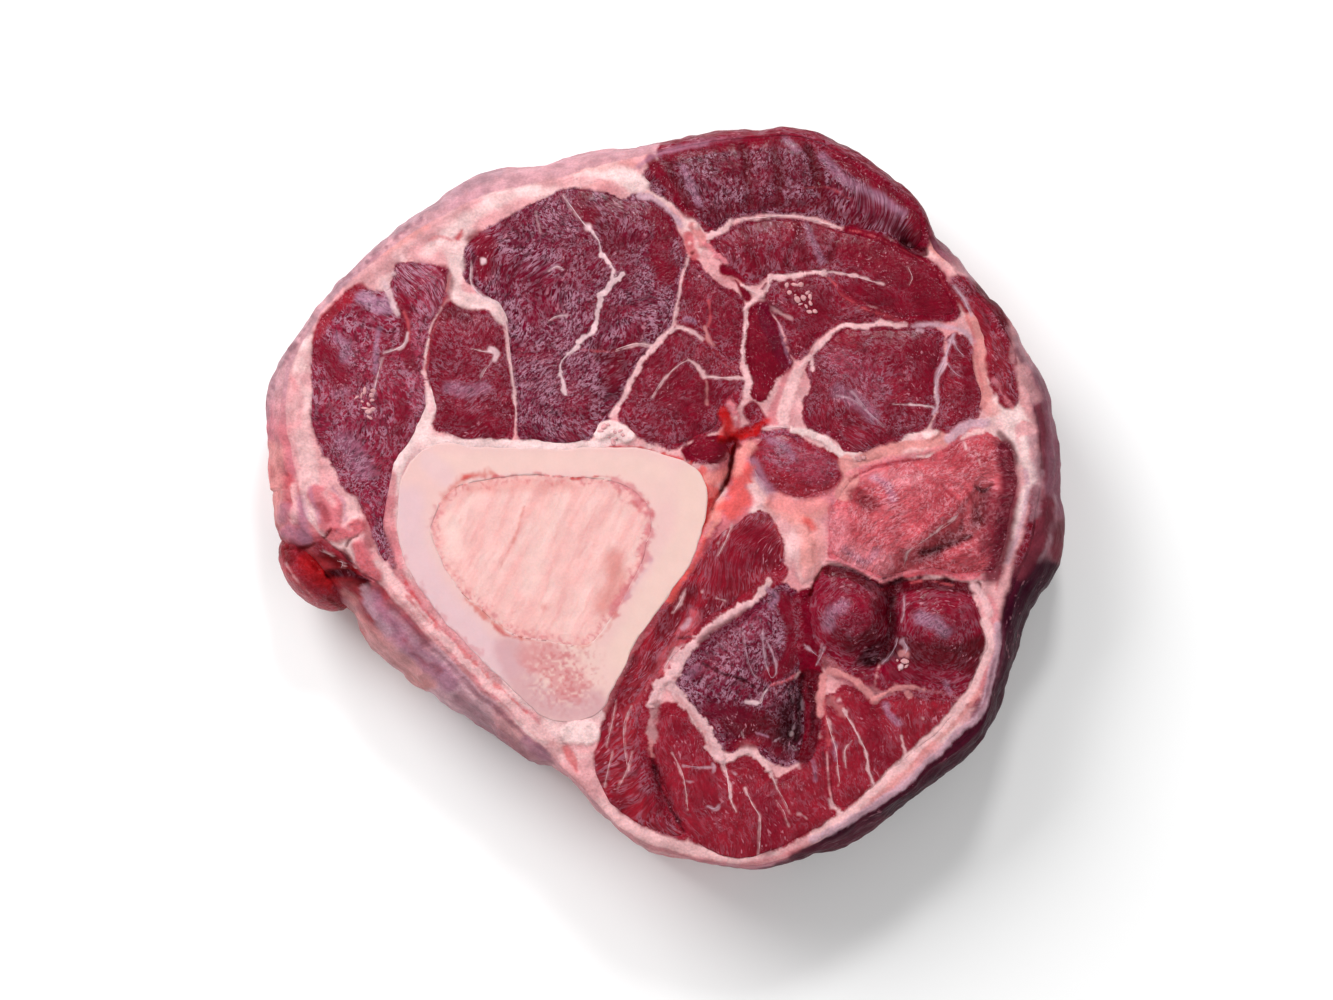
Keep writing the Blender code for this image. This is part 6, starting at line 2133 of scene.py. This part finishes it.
@dataclass
class SideLobe:
    """The smooth wet muscle that bulges out of the side, beside the cut bone."""

    middle: tuple[float, float, float] = (-71.5, -16.0, 14.5)
    half_sizes: tuple[float, float, float] = (9.5, 5.6, 11.5)
    turn_deg: float = -47.0
    glow_middle: tuple[float, float, float] = (-70.0, -17.0, 26.0)
    glow_reach: float = 5.0
    columns: int = 160
    rows: int = 96

    def ball(self) -> tuple[Points, Points]:
        """Make a round ball of rings.

        Returns:
            Its points, all at a distance of 1 from its middle, and its triangles.
        """
        tilt = (np.arange(self.rows) + 1) * math.pi / (self.rows + 1)
        turn = np.arange(self.columns) * math.tau / self.columns
        tilt_grid, turn_grid = (g.reshape(-1) for g in np.meshgrid(tilt, turn, indexing="ij"))
        flat = around(turn_grid, np.sin(tilt_grid))
        ball = np.column_stack([flat, np.cos(tilt_grid)])
        ball = np.vstack([ball, [[0, 0, 1]], [[0, 0, -1]]])
        rings = np.arange(self.rows * self.columns).reshape(self.rows, self.columns)
        faces = []
        for upper, lower in zip(rings, rings[1:]):
            after_upper, after_lower = np.roll(upper, -1), np.roll(lower, -1)
            faces.append(np.column_stack([upper, lower, after_upper]))
            faces.append(np.column_stack([lower, after_lower, after_upper]))
        top, bottom = len(ball) - 2, len(ball) - 1
        first, last = rings[0], rings[-1]
        faces.append(np.column_stack([np.full_like(first, top), first, np.roll(first, -1)]))
        faces.append(np.column_stack([last, np.full_like(last, bottom), np.roll(last, -1)]))
        return ball, np.vstack(faces)

    def build(self) -> bpy.types.Object:
        """Shape and paint the lobe.

        Returns:
            The finished piece, which stands for the lobe's solid.
        """
        ball, faces = self.ball()
        swell = 1.0 + 0.05 * layered_noise(ball * 10.0, 6.0, 81)
        swell += 0.02 * layered_noise(ball * 10.0, 1.6, 83)
        local = ball * swell[:, None] * np.array(self.half_sizes)
        turn_by = math.radians(self.turn_deg)
        cosine, sine = math.cos(turn_by), math.sin(turn_by)
        x = local[:, 0] * cosine - local[:, 1] * sine
        y = local[:, 0] * sine + local[:, 1] * cosine
        points = np.column_stack([x, y, local[:, 2]]) + np.array(self.middle)
        points[:, 2] = np.maximum(points[:, 2], 0.0)
        coat = Coat.plain(len(points), LOBE_MEAT)
        clouds = layered_noise(points, 5.0, 85)
        coat.lay(LOBE_DARK, 0.7 * smooth_share(clouds * 2.5))
        glow = np.linalg.norm(points - np.array(self.glow_middle), axis=1)
        coat.lay(LOBE_GLOW, 0.6 * smooth_share((self.glow_reach - glow) / 4.0))
        coat.brush(seen_on_face(points), Layer.FACE)
        points += (points - np.array(self.middle)) * (0.1 * coat.lift[:, None])
        points[:, 2] = np.maximum(points[:, 2], 0.0)
        return make_mesh("side_lobe_meat", points, faces, coat)


class Wire:
    """A shader socket that takes part in plain arithmetic."""

    def __init__(self, board: Board, socket: bpy.types.NodeSocket) -> None:
        """Keep the socket and the board that its node stands on."""
        self.board = board
        self.socket = socket

    def _maths(self, operation: str, *values: Wire | float) -> Wire:
        """Add one Math node for the operation on the values."""
        return self.board.node("ShaderNodeMath", {"operation": operation}, dict(enumerate(values)))

    def __add__(self, other: Wire | float) -> Wire:
        """Sum."""
        return self._maths("ADD", self, other)

    __radd__ = __add__

    def __mul__(self, other: Wire | float) -> Wire:
        """Product."""
        return self._maths("MULTIPLY", self, other)

    __rmul__ = __mul__

    def __sub__(self, other: Wire | float) -> Wire:
        """Difference."""
        return self._maths("SUBTRACT", self, other)

    def __rsub__(self, other: Wire | float) -> Wire:
        """Difference the other way round."""
        return self._maths("SUBTRACT", other, self)

    def __truediv__(self, other: Wire | float) -> Wire:
        """Quotient."""
        return self._maths("DIVIDE", self, other)

    def __rtruediv__(self, other: Wire | float) -> Wire:
        """Quotient the other way round."""
        return self._maths("DIVIDE", other, self)

    def __abs__(self) -> Wire:
        """Size without its sign."""
        return self._maths("ABSOLUTE", self)

    def __pow__(self, other: float) -> Wire:
        """Power."""
        return self._maths("POWER", self, other)

    def ramp(self, low: float, high: float, to_low: float = 0.0, to_high: float = 1.0) -> Wire:
        """Spread a range over another one, smoothly and without going past its ends.

        Args:
            low, high: the range.
            to_low, to_high: the other range.

        Returns:
            The new number.
        """
        settings = {"interpolation_type": "SMOOTHSTEP", "clamp": True}
        values = {0: self, 1: low, 2: high, 3: to_low, 4: to_high}
        return self.board.node("ShaderNodeMapRange", settings, values)


Value = Wire | float | tuple[float, ...]


@dataclass
class Board:
    """A material's nodes, laid by one method."""

    tree: bpy.types.NodeTree

    def node(
        self,
        kind: str,
        settings: dict[str, object] | None = None,
        values: dict[int | str, Value] | None = None,
        output: int | str = 0,
    ) -> Wire:
        """Add a node.

        Args:
            kind: the node's type.
            settings: its own settings, made before its sockets are set.
            values: a number, colour or wire for each socket, by number or name.
            output: the output that is wanted, by number or name.

        Returns:
            The output as a wire.
        """
        made = self.tree.nodes.new(kind)
        for name, setting in (settings or {}).items():
            setattr(made, name, setting)
        for key, value in (values or {}).items():
            if isinstance(value, Wire):
                self.tree.links.new(value.socket, made.inputs[key])
            else:
                made.inputs[key].default_value = value
        return Wire(self, made.outputs[output])

    def place(self) -> Wire:
        """Place on the piece, in millimetres."""
        return self.scaled(self.node("ShaderNodeTexCoord", output="Object"), 1.0 / MM)

    def position(self) -> Wire:
        """Place of each point of a mesh that grows, in millimetres."""
        return self.scaled(self.node("GeometryNodeInputPosition"), 1.0 / MM)

    def scaled(self, vector: Wire, factor: Value) -> Wire:
        """A vector, or a colour, made longer by a factor."""
        return self.vector("SCALE", {0: vector, 3: factor})

    def vector(self, operation: str, values: dict[int | str, Value]) -> Wire:
        """Vector arithmetic."""
        return self.node("ShaderNodeVectorMath", {"operation": operation}, values)

    def noise(
        self, place: Wire, cell: float, detail: float = 2.0, distortion: float = 0.0
    ) -> Wire:
        """Cloudy noise from 0 to 1 that changes over one cell, in millimetres.

        Args:
            place: where it is read.
            cell: size of one cell.
            detail: how many finer layers it has.
            distortion: how much it is swirled.

        Returns:
            The noise.
        """
        values = {"Vector": place, "Scale": 1.0 / cell, "Detail": detail, "Distortion": distortion}
        return self.node("ShaderNodeTexNoise", {"normalize": True}, values, "Fac")

    def shift(self, place: Wire, cell: float, amount: float) -> Wire:
        """The place, strayed by a noise of its own.

        Args:
            place: the place.
            cell: size of the noise's cells, in millimetres.
            amount: how far it strays, in millimetres.

        Returns:
            The strayed place.
        """
        values = {"Vector": place, "Scale": 1.0 / cell, "Detail": 1.0}
        cloud = self.node("ShaderNodeTexNoise", {}, values, "Color")
        middle = self.vector("SUBTRACT", {0: cloud, 1: (0.5, 0.5, 0.5)})
        return self.vector("ADD", {0: place, 1: self.scaled(middle, amount)})

    def attribute(self, name: str, output: str = "Fac") -> Wire:
        """What is painted on the piece under a name: a number, a vector or a colour."""
        return self.node("ShaderNodeAttribute", {"attribute_name": name}, output=output)

    def blend(self, share: Value, low: Value, high: Value, kind: str = "MIX") -> Wire:
        """Mix two colours by a share."""
        settings = {"data_type": "RGBA", "blend_type": kind, "clamp_factor": True}
        return self.node("ShaderNodeMix", settings, {0: share, 6: low, 7: high}, 2)

    def bump(self, height: Wire, distance: float, strength: float = 1.0) -> Wire:
        """A bumped normal for a height from 0 to 1 over a distance in millimetres."""
        values = {"Height": height, "Distance": distance * MM, "Strength": strength}
        return self.node("ShaderNodeBump", {}, values, "Normal")


def rgba(red: int, green: int, blue: int) -> tuple[float, float, float, float]:
    """A colour as seen, 0 to 255, as linear red, green, blue and a full alpha."""
    linear = linear_colour((red, green, blue))
    return (float(linear[0]), float(linear[1]), float(linear[2]), 1.0)


@dataclass(frozen=True)
class TissueFinish:
    """Raw tissue: wet, faintly see-through meat with fine glints, and duller fat.

    The pigment, the share of flesh and the share of sheen are painted on the piece. The glints
    are partly real, from bumps that mirror the glossy lamp, and partly painted light: pale lines
    and sparkles laid into the base colour by the sheen share, with painted shade in the crevices
    between them. The cells are in millimetres.
    """

    name: str
    # Painted highlights laid into the base colour: glint lines and sparkles
    glint_cell: float = 0.5
    glint_colour: tuple[int, int, int] = (176, 128, 148)
    glint_share: float = 0.76
    spark_cell: float = 0.5
    spark_colour: tuple[int, int, int] = (206, 138, 154)
    spark_share: float = 0.5
    cloudiness: float = 0.17
    flesh_bump: float = 0.5
    wrinkle_cell: float = 1.6
    wrinkle_height: float = 0.8
    fat_bump: float = 0.25
    roughness: float = 0.14
    coat: float = 0.05
    see_through: float = 0.1
    gloss: float = 0.16
    ridge_sharpness: float = 7.0
    patch_cell: float = 3.5
    break_cell: float = 0.8
    cloud_cell: float = 3.2
    fine_cell: float = 0.5
    spark_patch_cell: float = 5.5
    fat_cell: float = 1.3
    smear_cell: float = 1.7

    def material(self) -> bpy.types.Material:
        """Build the finish as a material.

        Returns:
            The material.
        """
        material = bpy.data.materials.new(self.name)
        material.use_nodes = True
        tree = material.node_tree
        tree.nodes.clear()
        board = Board(tree)
        place = board.place()
        flesh = board.attribute("flesh")
        sheen = board.attribute("sheen")
        strayed = board.shift(place, 1.1, 0.7)
        fibres = board.attribute("fibres", "Vector")
        grain = board.noise(board.shift(fibres, 1.1, 0.6), self.glint_cell, 2.0, 0.5)
        # Painted highlights: pale glint lines along the grain, in patches, by the sheen share
        ridge = 1.0 - abs(grain - 0.5) * self.ridge_sharpness
        strand = ridge.ramp(0.1, 0.85)
        patch = board.noise(place, self.patch_cell, 3.0).ramp(0.38, 0.58, 0.3, 1.0)
        broken = board.noise(fibres, self.break_cell, 1.0).ramp(0.38, 0.55, 0.15, 1.0)
        glint = strand * patch * broken * sheen
        cloud = board.noise(place, self.cloud_cell, 3.0)
        fine = board.noise(place, self.fine_cell, 2.0)
        tone = cloud.ramp(0.3, 0.7, 1.0 - self.cloudiness, 1.0 + self.cloudiness)
        tone = tone * fine.ramp(0.3, 0.7, 1.0 - 0.5 * self.cloudiness, 1.0 + 0.5 * self.cloudiness)
        # Painted shade in the crevices between the glints, by the sheen share
        hollow = board.noise(fibres, self.glint_cell * 1.4, 2.0).ramp(0.34, 0.56, 0.48, 1.1)
        tone = tone * (1.0 + (hollow - 1.0) * sheen)
        shaded = board.scaled(board.attribute("tint", "Color"), tone)
        colour = board.blend(glint * self.glint_share, shaded, rgba(*self.glint_colour))
        # Painted sparkles: small pale flecks on the flesh, in patches
        spark = board.noise(board.shift(fibres, 1.0, 0.6), self.spark_cell, 1.0).ramp(0.6, 0.72)
        spark = spark * board.noise(place, self.spark_patch_cell, 2.0).ramp(0.46, 0.66) * flesh
        colour = board.blend(spark * self.spark_share, colour, rgba(*self.spark_colour))
        wrinkle = board.noise(board.shift(fibres, 2.0, 1.2), self.wrinkle_cell, 2.0)
        flesh_height = grain * 0.35 + wrinkle * self.wrinkle_height
        fat_height = board.noise(strayed, self.fat_cell, 3.0) * 0.7 + fine * 0.3
        height = flesh_height * flesh * self.flesh_bump
        height = height + fat_height * (1.0 - flesh) * self.fat_bump
        normal = board.bump(height, 1.0)
        smear = board.noise(place, self.smear_cell, 2.0)
        rough = smear.ramp(0.3, 0.7, self.roughness - 0.04, self.roughness + 0.08)
        shader = board.node(
            "ShaderNodeBsdfPrincipled",
            {},
            {
                "Base Color": colour,
                "Roughness": rough,
                "Normal": normal,
                "IOR": 1.4,
                "Specular IOR Level": self.gloss,
                "Coat Weight": self.coat,
                "Coat Roughness": 0.12,
                "Subsurface Weight": self.see_through,
                "Subsurface Radius": (1.0, 0.32, 0.2),
                "Subsurface Scale": 0.0016,
            },
        )
        output = tree.nodes.new("ShaderNodeOutputMaterial")
        tree.links.new(shader.socket, output.inputs["Surface"])
        return material


MEAT = TissueFinish("raw_meat")
PALE_MEAT = TissueFinish(
    "pale_raw_meat",
    glint_colour=(238, 172, 186),
    glint_cell=0.6,
    glint_share=0.9,
    wrinkle_cell=1.3,
    wrinkle_height=1.1,
    flesh_bump=0.65,
)
FAT = TissueFinish(
    "raw_fat_and_fascia", roughness=0.4, see_through=0.15, gloss=0.03, fat_bump=0.4, coat=0.04
)
BONE = TissueFinish(
    "sawn_bone", fat_bump=0.02, roughness=0.4, gloss=0.1, see_through=0.12, cloudiness=0.02
)
MARROW = TissueFinish(
    "raw_marrow", fat_bump=0.15, roughness=0.4, coat=0.08, see_through=0.2, cloudiness=0.05
)
WET_LOBE = TissueFinish(
    "wet_side_lobe", flesh_bump=0.5, roughness=0.3, gloss=0.04, coat=0.03, spark_share=0.2
)


@dataclass
class Terrain:
    """The upper surface of the finished pieces, on which small pieces are laid."""

    pieces: Sequence[bpy.types.Object]

    def on_top(self, flat: Points) -> Points:
        """Find the places on the surface.

        Args:
            flat: places seen from above, in millimetres.

        Returns:
            The same places on the surface, in millimetres.
        """
        bpy.context.view_layer.update()
        down = Vector((0.0, 0.0, -1.0))
        heights = []
        for x, y in flat:
            start = Vector((x, y, 2.0 * THICKNESS)) * MM
            hits = [piece.ray_cast(start, down) for piece in self.pieces]
            heights.append(max((place.z for hit, place, _, _ in hits if hit), default=0.0) / MM)
        return np.column_stack([flat, heights])


@dataclass
class Growth:
    """A tree of geometry nodes with named sizes, which grows small pieces from a bare mesh."""

    name: str
    sizes: dict[str, float | int]
    tree: bpy.types.NodeTree = field(init=False)
    board: Board = field(init=False)

    def __post_init__(self) -> None:
        """Make the tree with one input for each size."""
        self.tree = bpy.data.node_groups.new(self.name, "GeometryNodeTree")
        self.board = Board(self.tree)
        sockets = self.tree.interface
        sockets.new_socket("Geometry", in_out="OUTPUT", socket_type="NodeSocketGeometry")
        sockets.new_socket("Geometry", in_out="INPUT", socket_type="NodeSocketGeometry")
        for label, size in self.sizes.items():
            kind = "NodeSocketInt" if isinstance(size, int) else "NodeSocketFloat"
            sockets.new_socket(label, in_out="INPUT", socket_type=kind)

    def given(self, label: str) -> Wire:
        """The tree's input of that name."""
        return self.board.node("NodeGroupInput", output=label)

    def finish(self, grown: Wire, material: bpy.types.Material) -> None:
        """End the tree.

        Args:
            grown: the pieces, which may still be instances.
            material: their finish.
        """
        real = self.board.node("GeometryNodeRealizeInstances", {}, {"Geometry": grown})
        values = {"Geometry": real, "Material": material}
        dressed = self.board.node("GeometryNodeSetMaterial", {}, values)
        output = self.tree.nodes.new("NodeGroupOutput")
        self.tree.links.new(dressed.socket, output.inputs[0])

    def grow(self, base: bpy.types.Mesh) -> bpy.types.Object:
        """Let the tree work on a mesh and keep the outcome as a plain mesh.

        Args:
            base: the bare mesh.

        Returns:
            The piece, at the origin.
        """
        piece = bpy.data.objects.new(self.name, base)
        bpy.context.scene.collection.objects.link(piece)
        modifier = piece.modifiers.new("growth", "NODES")
        modifier.node_group = self.tree
        for socket in self.tree.interface.items_tree:
            if socket.in_out == "INPUT" and socket.name in self.sizes:
                modifier[socket.identifier] = self.sizes[socket.name]
        graph = bpy.context.evaluated_depsgraph_get()
        shape = bpy.data.meshes.new_from_object(piece.evaluated_get(graph))
        piece.modifiers.remove(modifier)
        piece.data = shape
        shape.shade_smooth()
        return piece


@dataclass
class FatCrumbs:
    """Small grains of fat that the saw has left on the meat, in clusters."""

    terrain: Terrain
    corners: int = 12

    def build(self, material: bpy.types.Material) -> bpy.types.Object:
        """Scatter the grains.

        Args:
            material: their finish.

        Returns:
            The piece.
        """
        sizes = {"Spacing": 0.95 * MM, "Density": 2.0e6, "Radius": 0.62 * MM, "Seed": 5}
        growth = Growth("fat_crumbs", sizes)
        board = growth.board
        values = {
            "Mesh": growth.given("Geometry"),
            "Distance Min": growth.given("Spacing"),
            "Density Max": growth.given("Density"),
            "Seed": growth.given("Seed"),
        }
        kind = "GeometryNodeDistributePointsOnFaces"
        places = board.node(kind, {"distribute_method": "POISSON"}, values, "Points")
        values = {"Radius": growth.given("Radius"), "Subdivisions": 2}
        ball = board.node("GeometryNodeMeshIcoSphere", {}, values, "Mesh")
        values = {
            "Points": places,
            "Instance": ball,
            "Rotation": self.draw(growth, (0.0, 0.0, 0.0), (0.3, 0.3, math.tau)),
            "Scale": self.draw(growth, (0.35, 0.35, 0.2), (1.5, 1.2, 0.4)),
        }
        balls = board.node("GeometryNodeInstanceOnPoints", {}, values)
        balls = board.node("GeometryNodeRealizeInstances", {}, {"Geometry": balls})
        where = board.position()
        bent = board.vector("SUBTRACT", {0: board.shift(where, 0.7, 0.35), 1: where})
        values = {"Geometry": balls, "Offset": board.scaled(bent, MM)}
        growth.finish(board.node("GeometryNodeSetPosition", {}, values), material)
        return growth.grow(self.ground())

    def draw(self, growth: Growth, low: Sequence[float], high: Sequence[float]) -> Wire:
        """Draw three numbers at random for each grain."""
        values = {"Min": low, "Max": high, "Seed": growth.given("Seed")}
        return growth.board.node("FunctionNodeRandomValue", {"data_type": "FLOAT_VECTOR"}, values)

    def ground(self) -> bpy.types.Mesh:
        """A fan of triangles on the meat under each cluster.

        Returns:
            The fans as one bare mesh.
        """
        turn = np.arange(self.corners) * math.tau / self.corners
        ring = np.column_stack([np.cos(turn), np.sin(turn)])
        fan = np.vstack([[0.0, 0.0], ring])
        points, triangles = [], []
        for cluster in CRUMB_CLUSTERS:
            hub = len(points) * len(fan)
            triangles += [
                (hub, hub + 1 + n, hub + 1 + (n + 1) % self.corners) for n in range(self.corners)
            ]
            points.append(self.terrain.on_top(on_face([cluster.pick]) + cluster.reach * fan))
        places = np.vstack(points)
        coat = Coat.plain(len(places), FAT_PINK)
        mesh = bpy.data.meshes.new("crumb_ground")
        mesh.from_pydata(places * MM, [], triangles)
        paint_mesh(mesh, coat, places)
        return mesh


@dataclass
class Strands:
    """Veins and threads of membrane that stand out of the cut face, along painted strokes."""

    terrain: Terrain
    pigments: tuple[Pigment, ...]
    share: float = 0.4
    widest: float = 0.35
    sunk_share: float = 0.45

    def build(self, material: bpy.types.Material) -> bpy.types.Object:
        """Lay a thread along each stroke.

        Args:
            material: their finish.

        Returns:
            The piece.
        """
        growth = Growth("veins", {"Spacing": 0.35 * MM, "Roughness Cell": 1.1, "Sides": 7})
        board = growth.board
        curve = board.node("GeometryNodeMeshToCurve", {}, {"Mesh": growth.given("Geometry")})
        values = {"Curve": curve, "Length": growth.given("Spacing")}
        curve = board.node("GeometryNodeResampleCurve", {"mode": "LENGTH"}, values)
        where = board.position()
        values = {"Vector": where, "Scale": 1.0 / growth.given("Roughness Cell")}
        uneven = board.node("ShaderNodeTexNoise", {}, values, "Fac").ramp(0.3, 0.7, 0.6, 1.4)
        values = {"Name": "thickness"}
        radius = board.node("GeometryNodeInputNamedAttribute", {"data_type": "FLOAT"}, values)
        values = {"Resolution": growth.given("Sides"), "Radius": 1.0}
        ring = board.node("GeometryNodeCurvePrimitiveCircle", {}, values, "Curve")
        values = {"Curve": curve, "Profile Curve": ring, "Scale": radius * uneven, "Fill Caps": True}
        growth.finish(board.node("GeometryNodeCurveToMesh", {}, values), material)
        return growth.grow(self.paths())

    def paths(self) -> bpy.types.Mesh:
        """The middle lines of the threads, painted in their strokes' pigments.

        Returns:
            The lines as a mesh of edges, with the thickness at each point.
        """
        points, edges, coats, widths = [], [], [], []
        for stroke in STROKES:
            if stroke.layer is not Layer.FACE or stroke.pigment not in self.pigments:
                continue
            if len(stroke.picks) < 3 or stroke.half_width > self.widest:
                continue
            line = open_curve(on_face(stroke.picks))
            ends = np.minimum(np.arange(len(line)), np.arange(len(line))[::-1])
            width = self.share * stroke.half_width * np.clip(0.3 + 0.25 * ends, 0.3, 1.0)
            place = self.terrain.on_top(line)
            place[:, 2] -= self.sunk_share * width
            first = sum(len(part) for part in points)
            edges += [(first + n, first + n + 1) for n in range(len(line) - 1)]
            points.append(place)
            widths.append(width * MM)
            coats.append(Coat.plain(len(line), stroke.pigment))
        places = np.vstack(points)
        mesh = bpy.data.meshes.new("strand_paths")
        mesh.from_pydata(places * MM, edges, [])
        paint_mesh(mesh, Coat.joined(coats), places)
        layer = mesh.attributes.new("thickness", "FLOAT", "POINT")
        layer.data.foreach_set("value", np.concatenate(widths).astype(np.float32))
        return mesh


@dataclass(frozen=True)
class Lamp:
    """A soft square light that shines on the slice, with its sizes in millimetres and watts."""

    name: str
    place: tuple[float, float, float]
    size: float
    power: float
    glossy: bool = True

    def hang(self) -> None:
        """Put the light in the scene, where the wet surfaces mirror it only if it is glossy."""
        lamp = bpy.data.lights.new(self.name, "AREA")
        lamp.shape = "SQUARE"
        lamp.size = self.size * MM
        lamp.energy = self.power
        holder = bpy.data.objects.new(self.name, lamp)
        holder.location = Vector(self.place) * MM
        holder.visible_glossy = self.glossy
        aim = Vector((0.0, 0.0, THICKNESS)) * MM - holder.location
        holder.rotation_euler = aim.to_track_quat("-Z", "Y").to_euler()
        bpy.context.scene.collection.objects.link(holder)


@dataclass
class Studio:
    """Pale floor, soft lights and the camera."""

    lamps: tuple[Lamp, ...] = (
        Lamp("key_light", (-430.0, 430.0, 520.0), 460.0, 5.6, glossy=False),
        Lamp("fill_light", (420.0, -340.0, 600.0), 700.0, 1.7, glossy=False),
        Lamp("back_light", (60.0, 460.0, 560.0), 110.0, 1.6),
    )
    sky_strength: float = 0.42
    floor_reach: float = 2500.0
    floor_shade: float = 0.92
    floor_roughness: float = 0.9
    near_clip: float = 10.0

    def build(self) -> None:
        """Set up the floor, the lights and the camera."""
        self.floor()
        for lamp in self.lamps:
            lamp.hang()
        self.camera()
        world = bpy.data.worlds.new("studio")
        world.use_nodes = True
        background = world.node_tree.nodes["Background"]
        background.inputs["Color"].default_value = (1.0, 1.0, 1.0, 1.0)
        background.inputs["Strength"].default_value = self.sky_strength
        bpy.context.scene.world = world
        bpy.context.scene.view_settings.view_transform = "Standard"

    def floor(self) -> None:
        """Lay the floor."""
        half = self.floor_reach * MM
        mesh = bpy.data.meshes.new("floor")
        corners = [(-half, -half, 0.0), (half, -half, 0.0), (half, half, 0.0), (-half, half, 0.0)]
        mesh.from_pydata(corners, [], [(0, 1, 2, 3)])
        floor = bpy.data.objects.new("floor", mesh)
        bpy.context.scene.collection.objects.link(floor)
        material = bpy.data.materials.new("pale_floor")
        material.use_nodes = True
        shader = material.node_tree.nodes["Principled BSDF"]
        shader.inputs["Base Color"].default_value = (*[self.floor_shade] * 3, 1.0)
        shader.inputs["Roughness"].default_value = self.floor_roughness
        mesh.materials.append(material)

    def eye(self) -> Points:
        """The place of the camera, in millimetres.

        Returns:
            Its three coordinates.
        """
        rise = math.radians(EYE_ELEVATION_DEG)
        away = np.array([0.0, -math.cos(rise), math.sin(rise)]) * EYE_DISTANCE
        return np.array([*PICTURE_MIDDLE, THICKNESS]) + away

    def camera(self) -> None:
        """Place the camera."""
        lens = bpy.data.cameras.new("camera")
        lens.lens = LENS
        lens.sensor_width = SENSOR_WIDTH
        lens.clip_start = self.near_clip * MM
        camera = bpy.data.objects.new("camera", lens)
        camera.location = Vector(self.eye()) * MM
        camera.rotation_euler = (math.radians(90.0 - EYE_ELEVATION_DEG), 0.0, 0.0)
        bpy.context.scene.collection.objects.link(camera)
        bpy.context.scene.camera = camera


def hand_over(
    piece: bpy.types.Object, node: str | None, finish: bpy.types.Material
) -> bpy.types.Object:
    """Dress a piece and let it stand for its solid.

    Args:
        piece: the finished piece.
        node: the solid that it replaces, or None for a piece that only lies on others.
        finish: its material.

    Returns:
        The piece.
    """
    if not piece.data.materials:
        piece.data.materials.append(finish)
    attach(piece, "root")
    if node is not None:
        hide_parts(node)
    LOG.info("%s: %d faces", piece.name, len(piece.data.polygons))
    return piece


def main() -> None:
    """Build every piece of the slice over the frame's solids."""
    logging.basicConfig(level=logging.INFO, format="%(message)s")
    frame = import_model()
    slice_frame = SliceFrame(frame["nodes"])
    meats = {Slot.MUSCLE: MEAT.material(), Slot.PALE_MUSCLE: PALE_MEAT.material()}
    fat = FAT.material()
    pieces = []
    for node, look in MUSCLE_LOOKS.items():
        piece = Muscle(node, look, slice_frame).build()
        pieces.append(hand_over(piece, node, meats[look.slot]))
    web = TissueWeb(slice_frame, ("bone", *MUSCLE_LOOKS)).build()
    pieces.append(hand_over(web, "fat_and_fascia", fat))
    hand_over(BoneRing(slice_frame).build(), "bone", BONE.material())
    hand_over(MarrowFill(slice_frame).build(), "marrow", MARROW.material())
    hand_over(SideLobe().build(), "muscle_side_lobe", WET_LOBE.material())
    terrain = Terrain(pieces)
    hand_over(FatCrumbs(terrain).build(fat), None, fat)
    hand_over(Strands(terrain, (VEIN, LILAC_PALE, SEAM)).build(fat), None, fat)
    Studio().build()


if __name__ == "__main__":
    main()
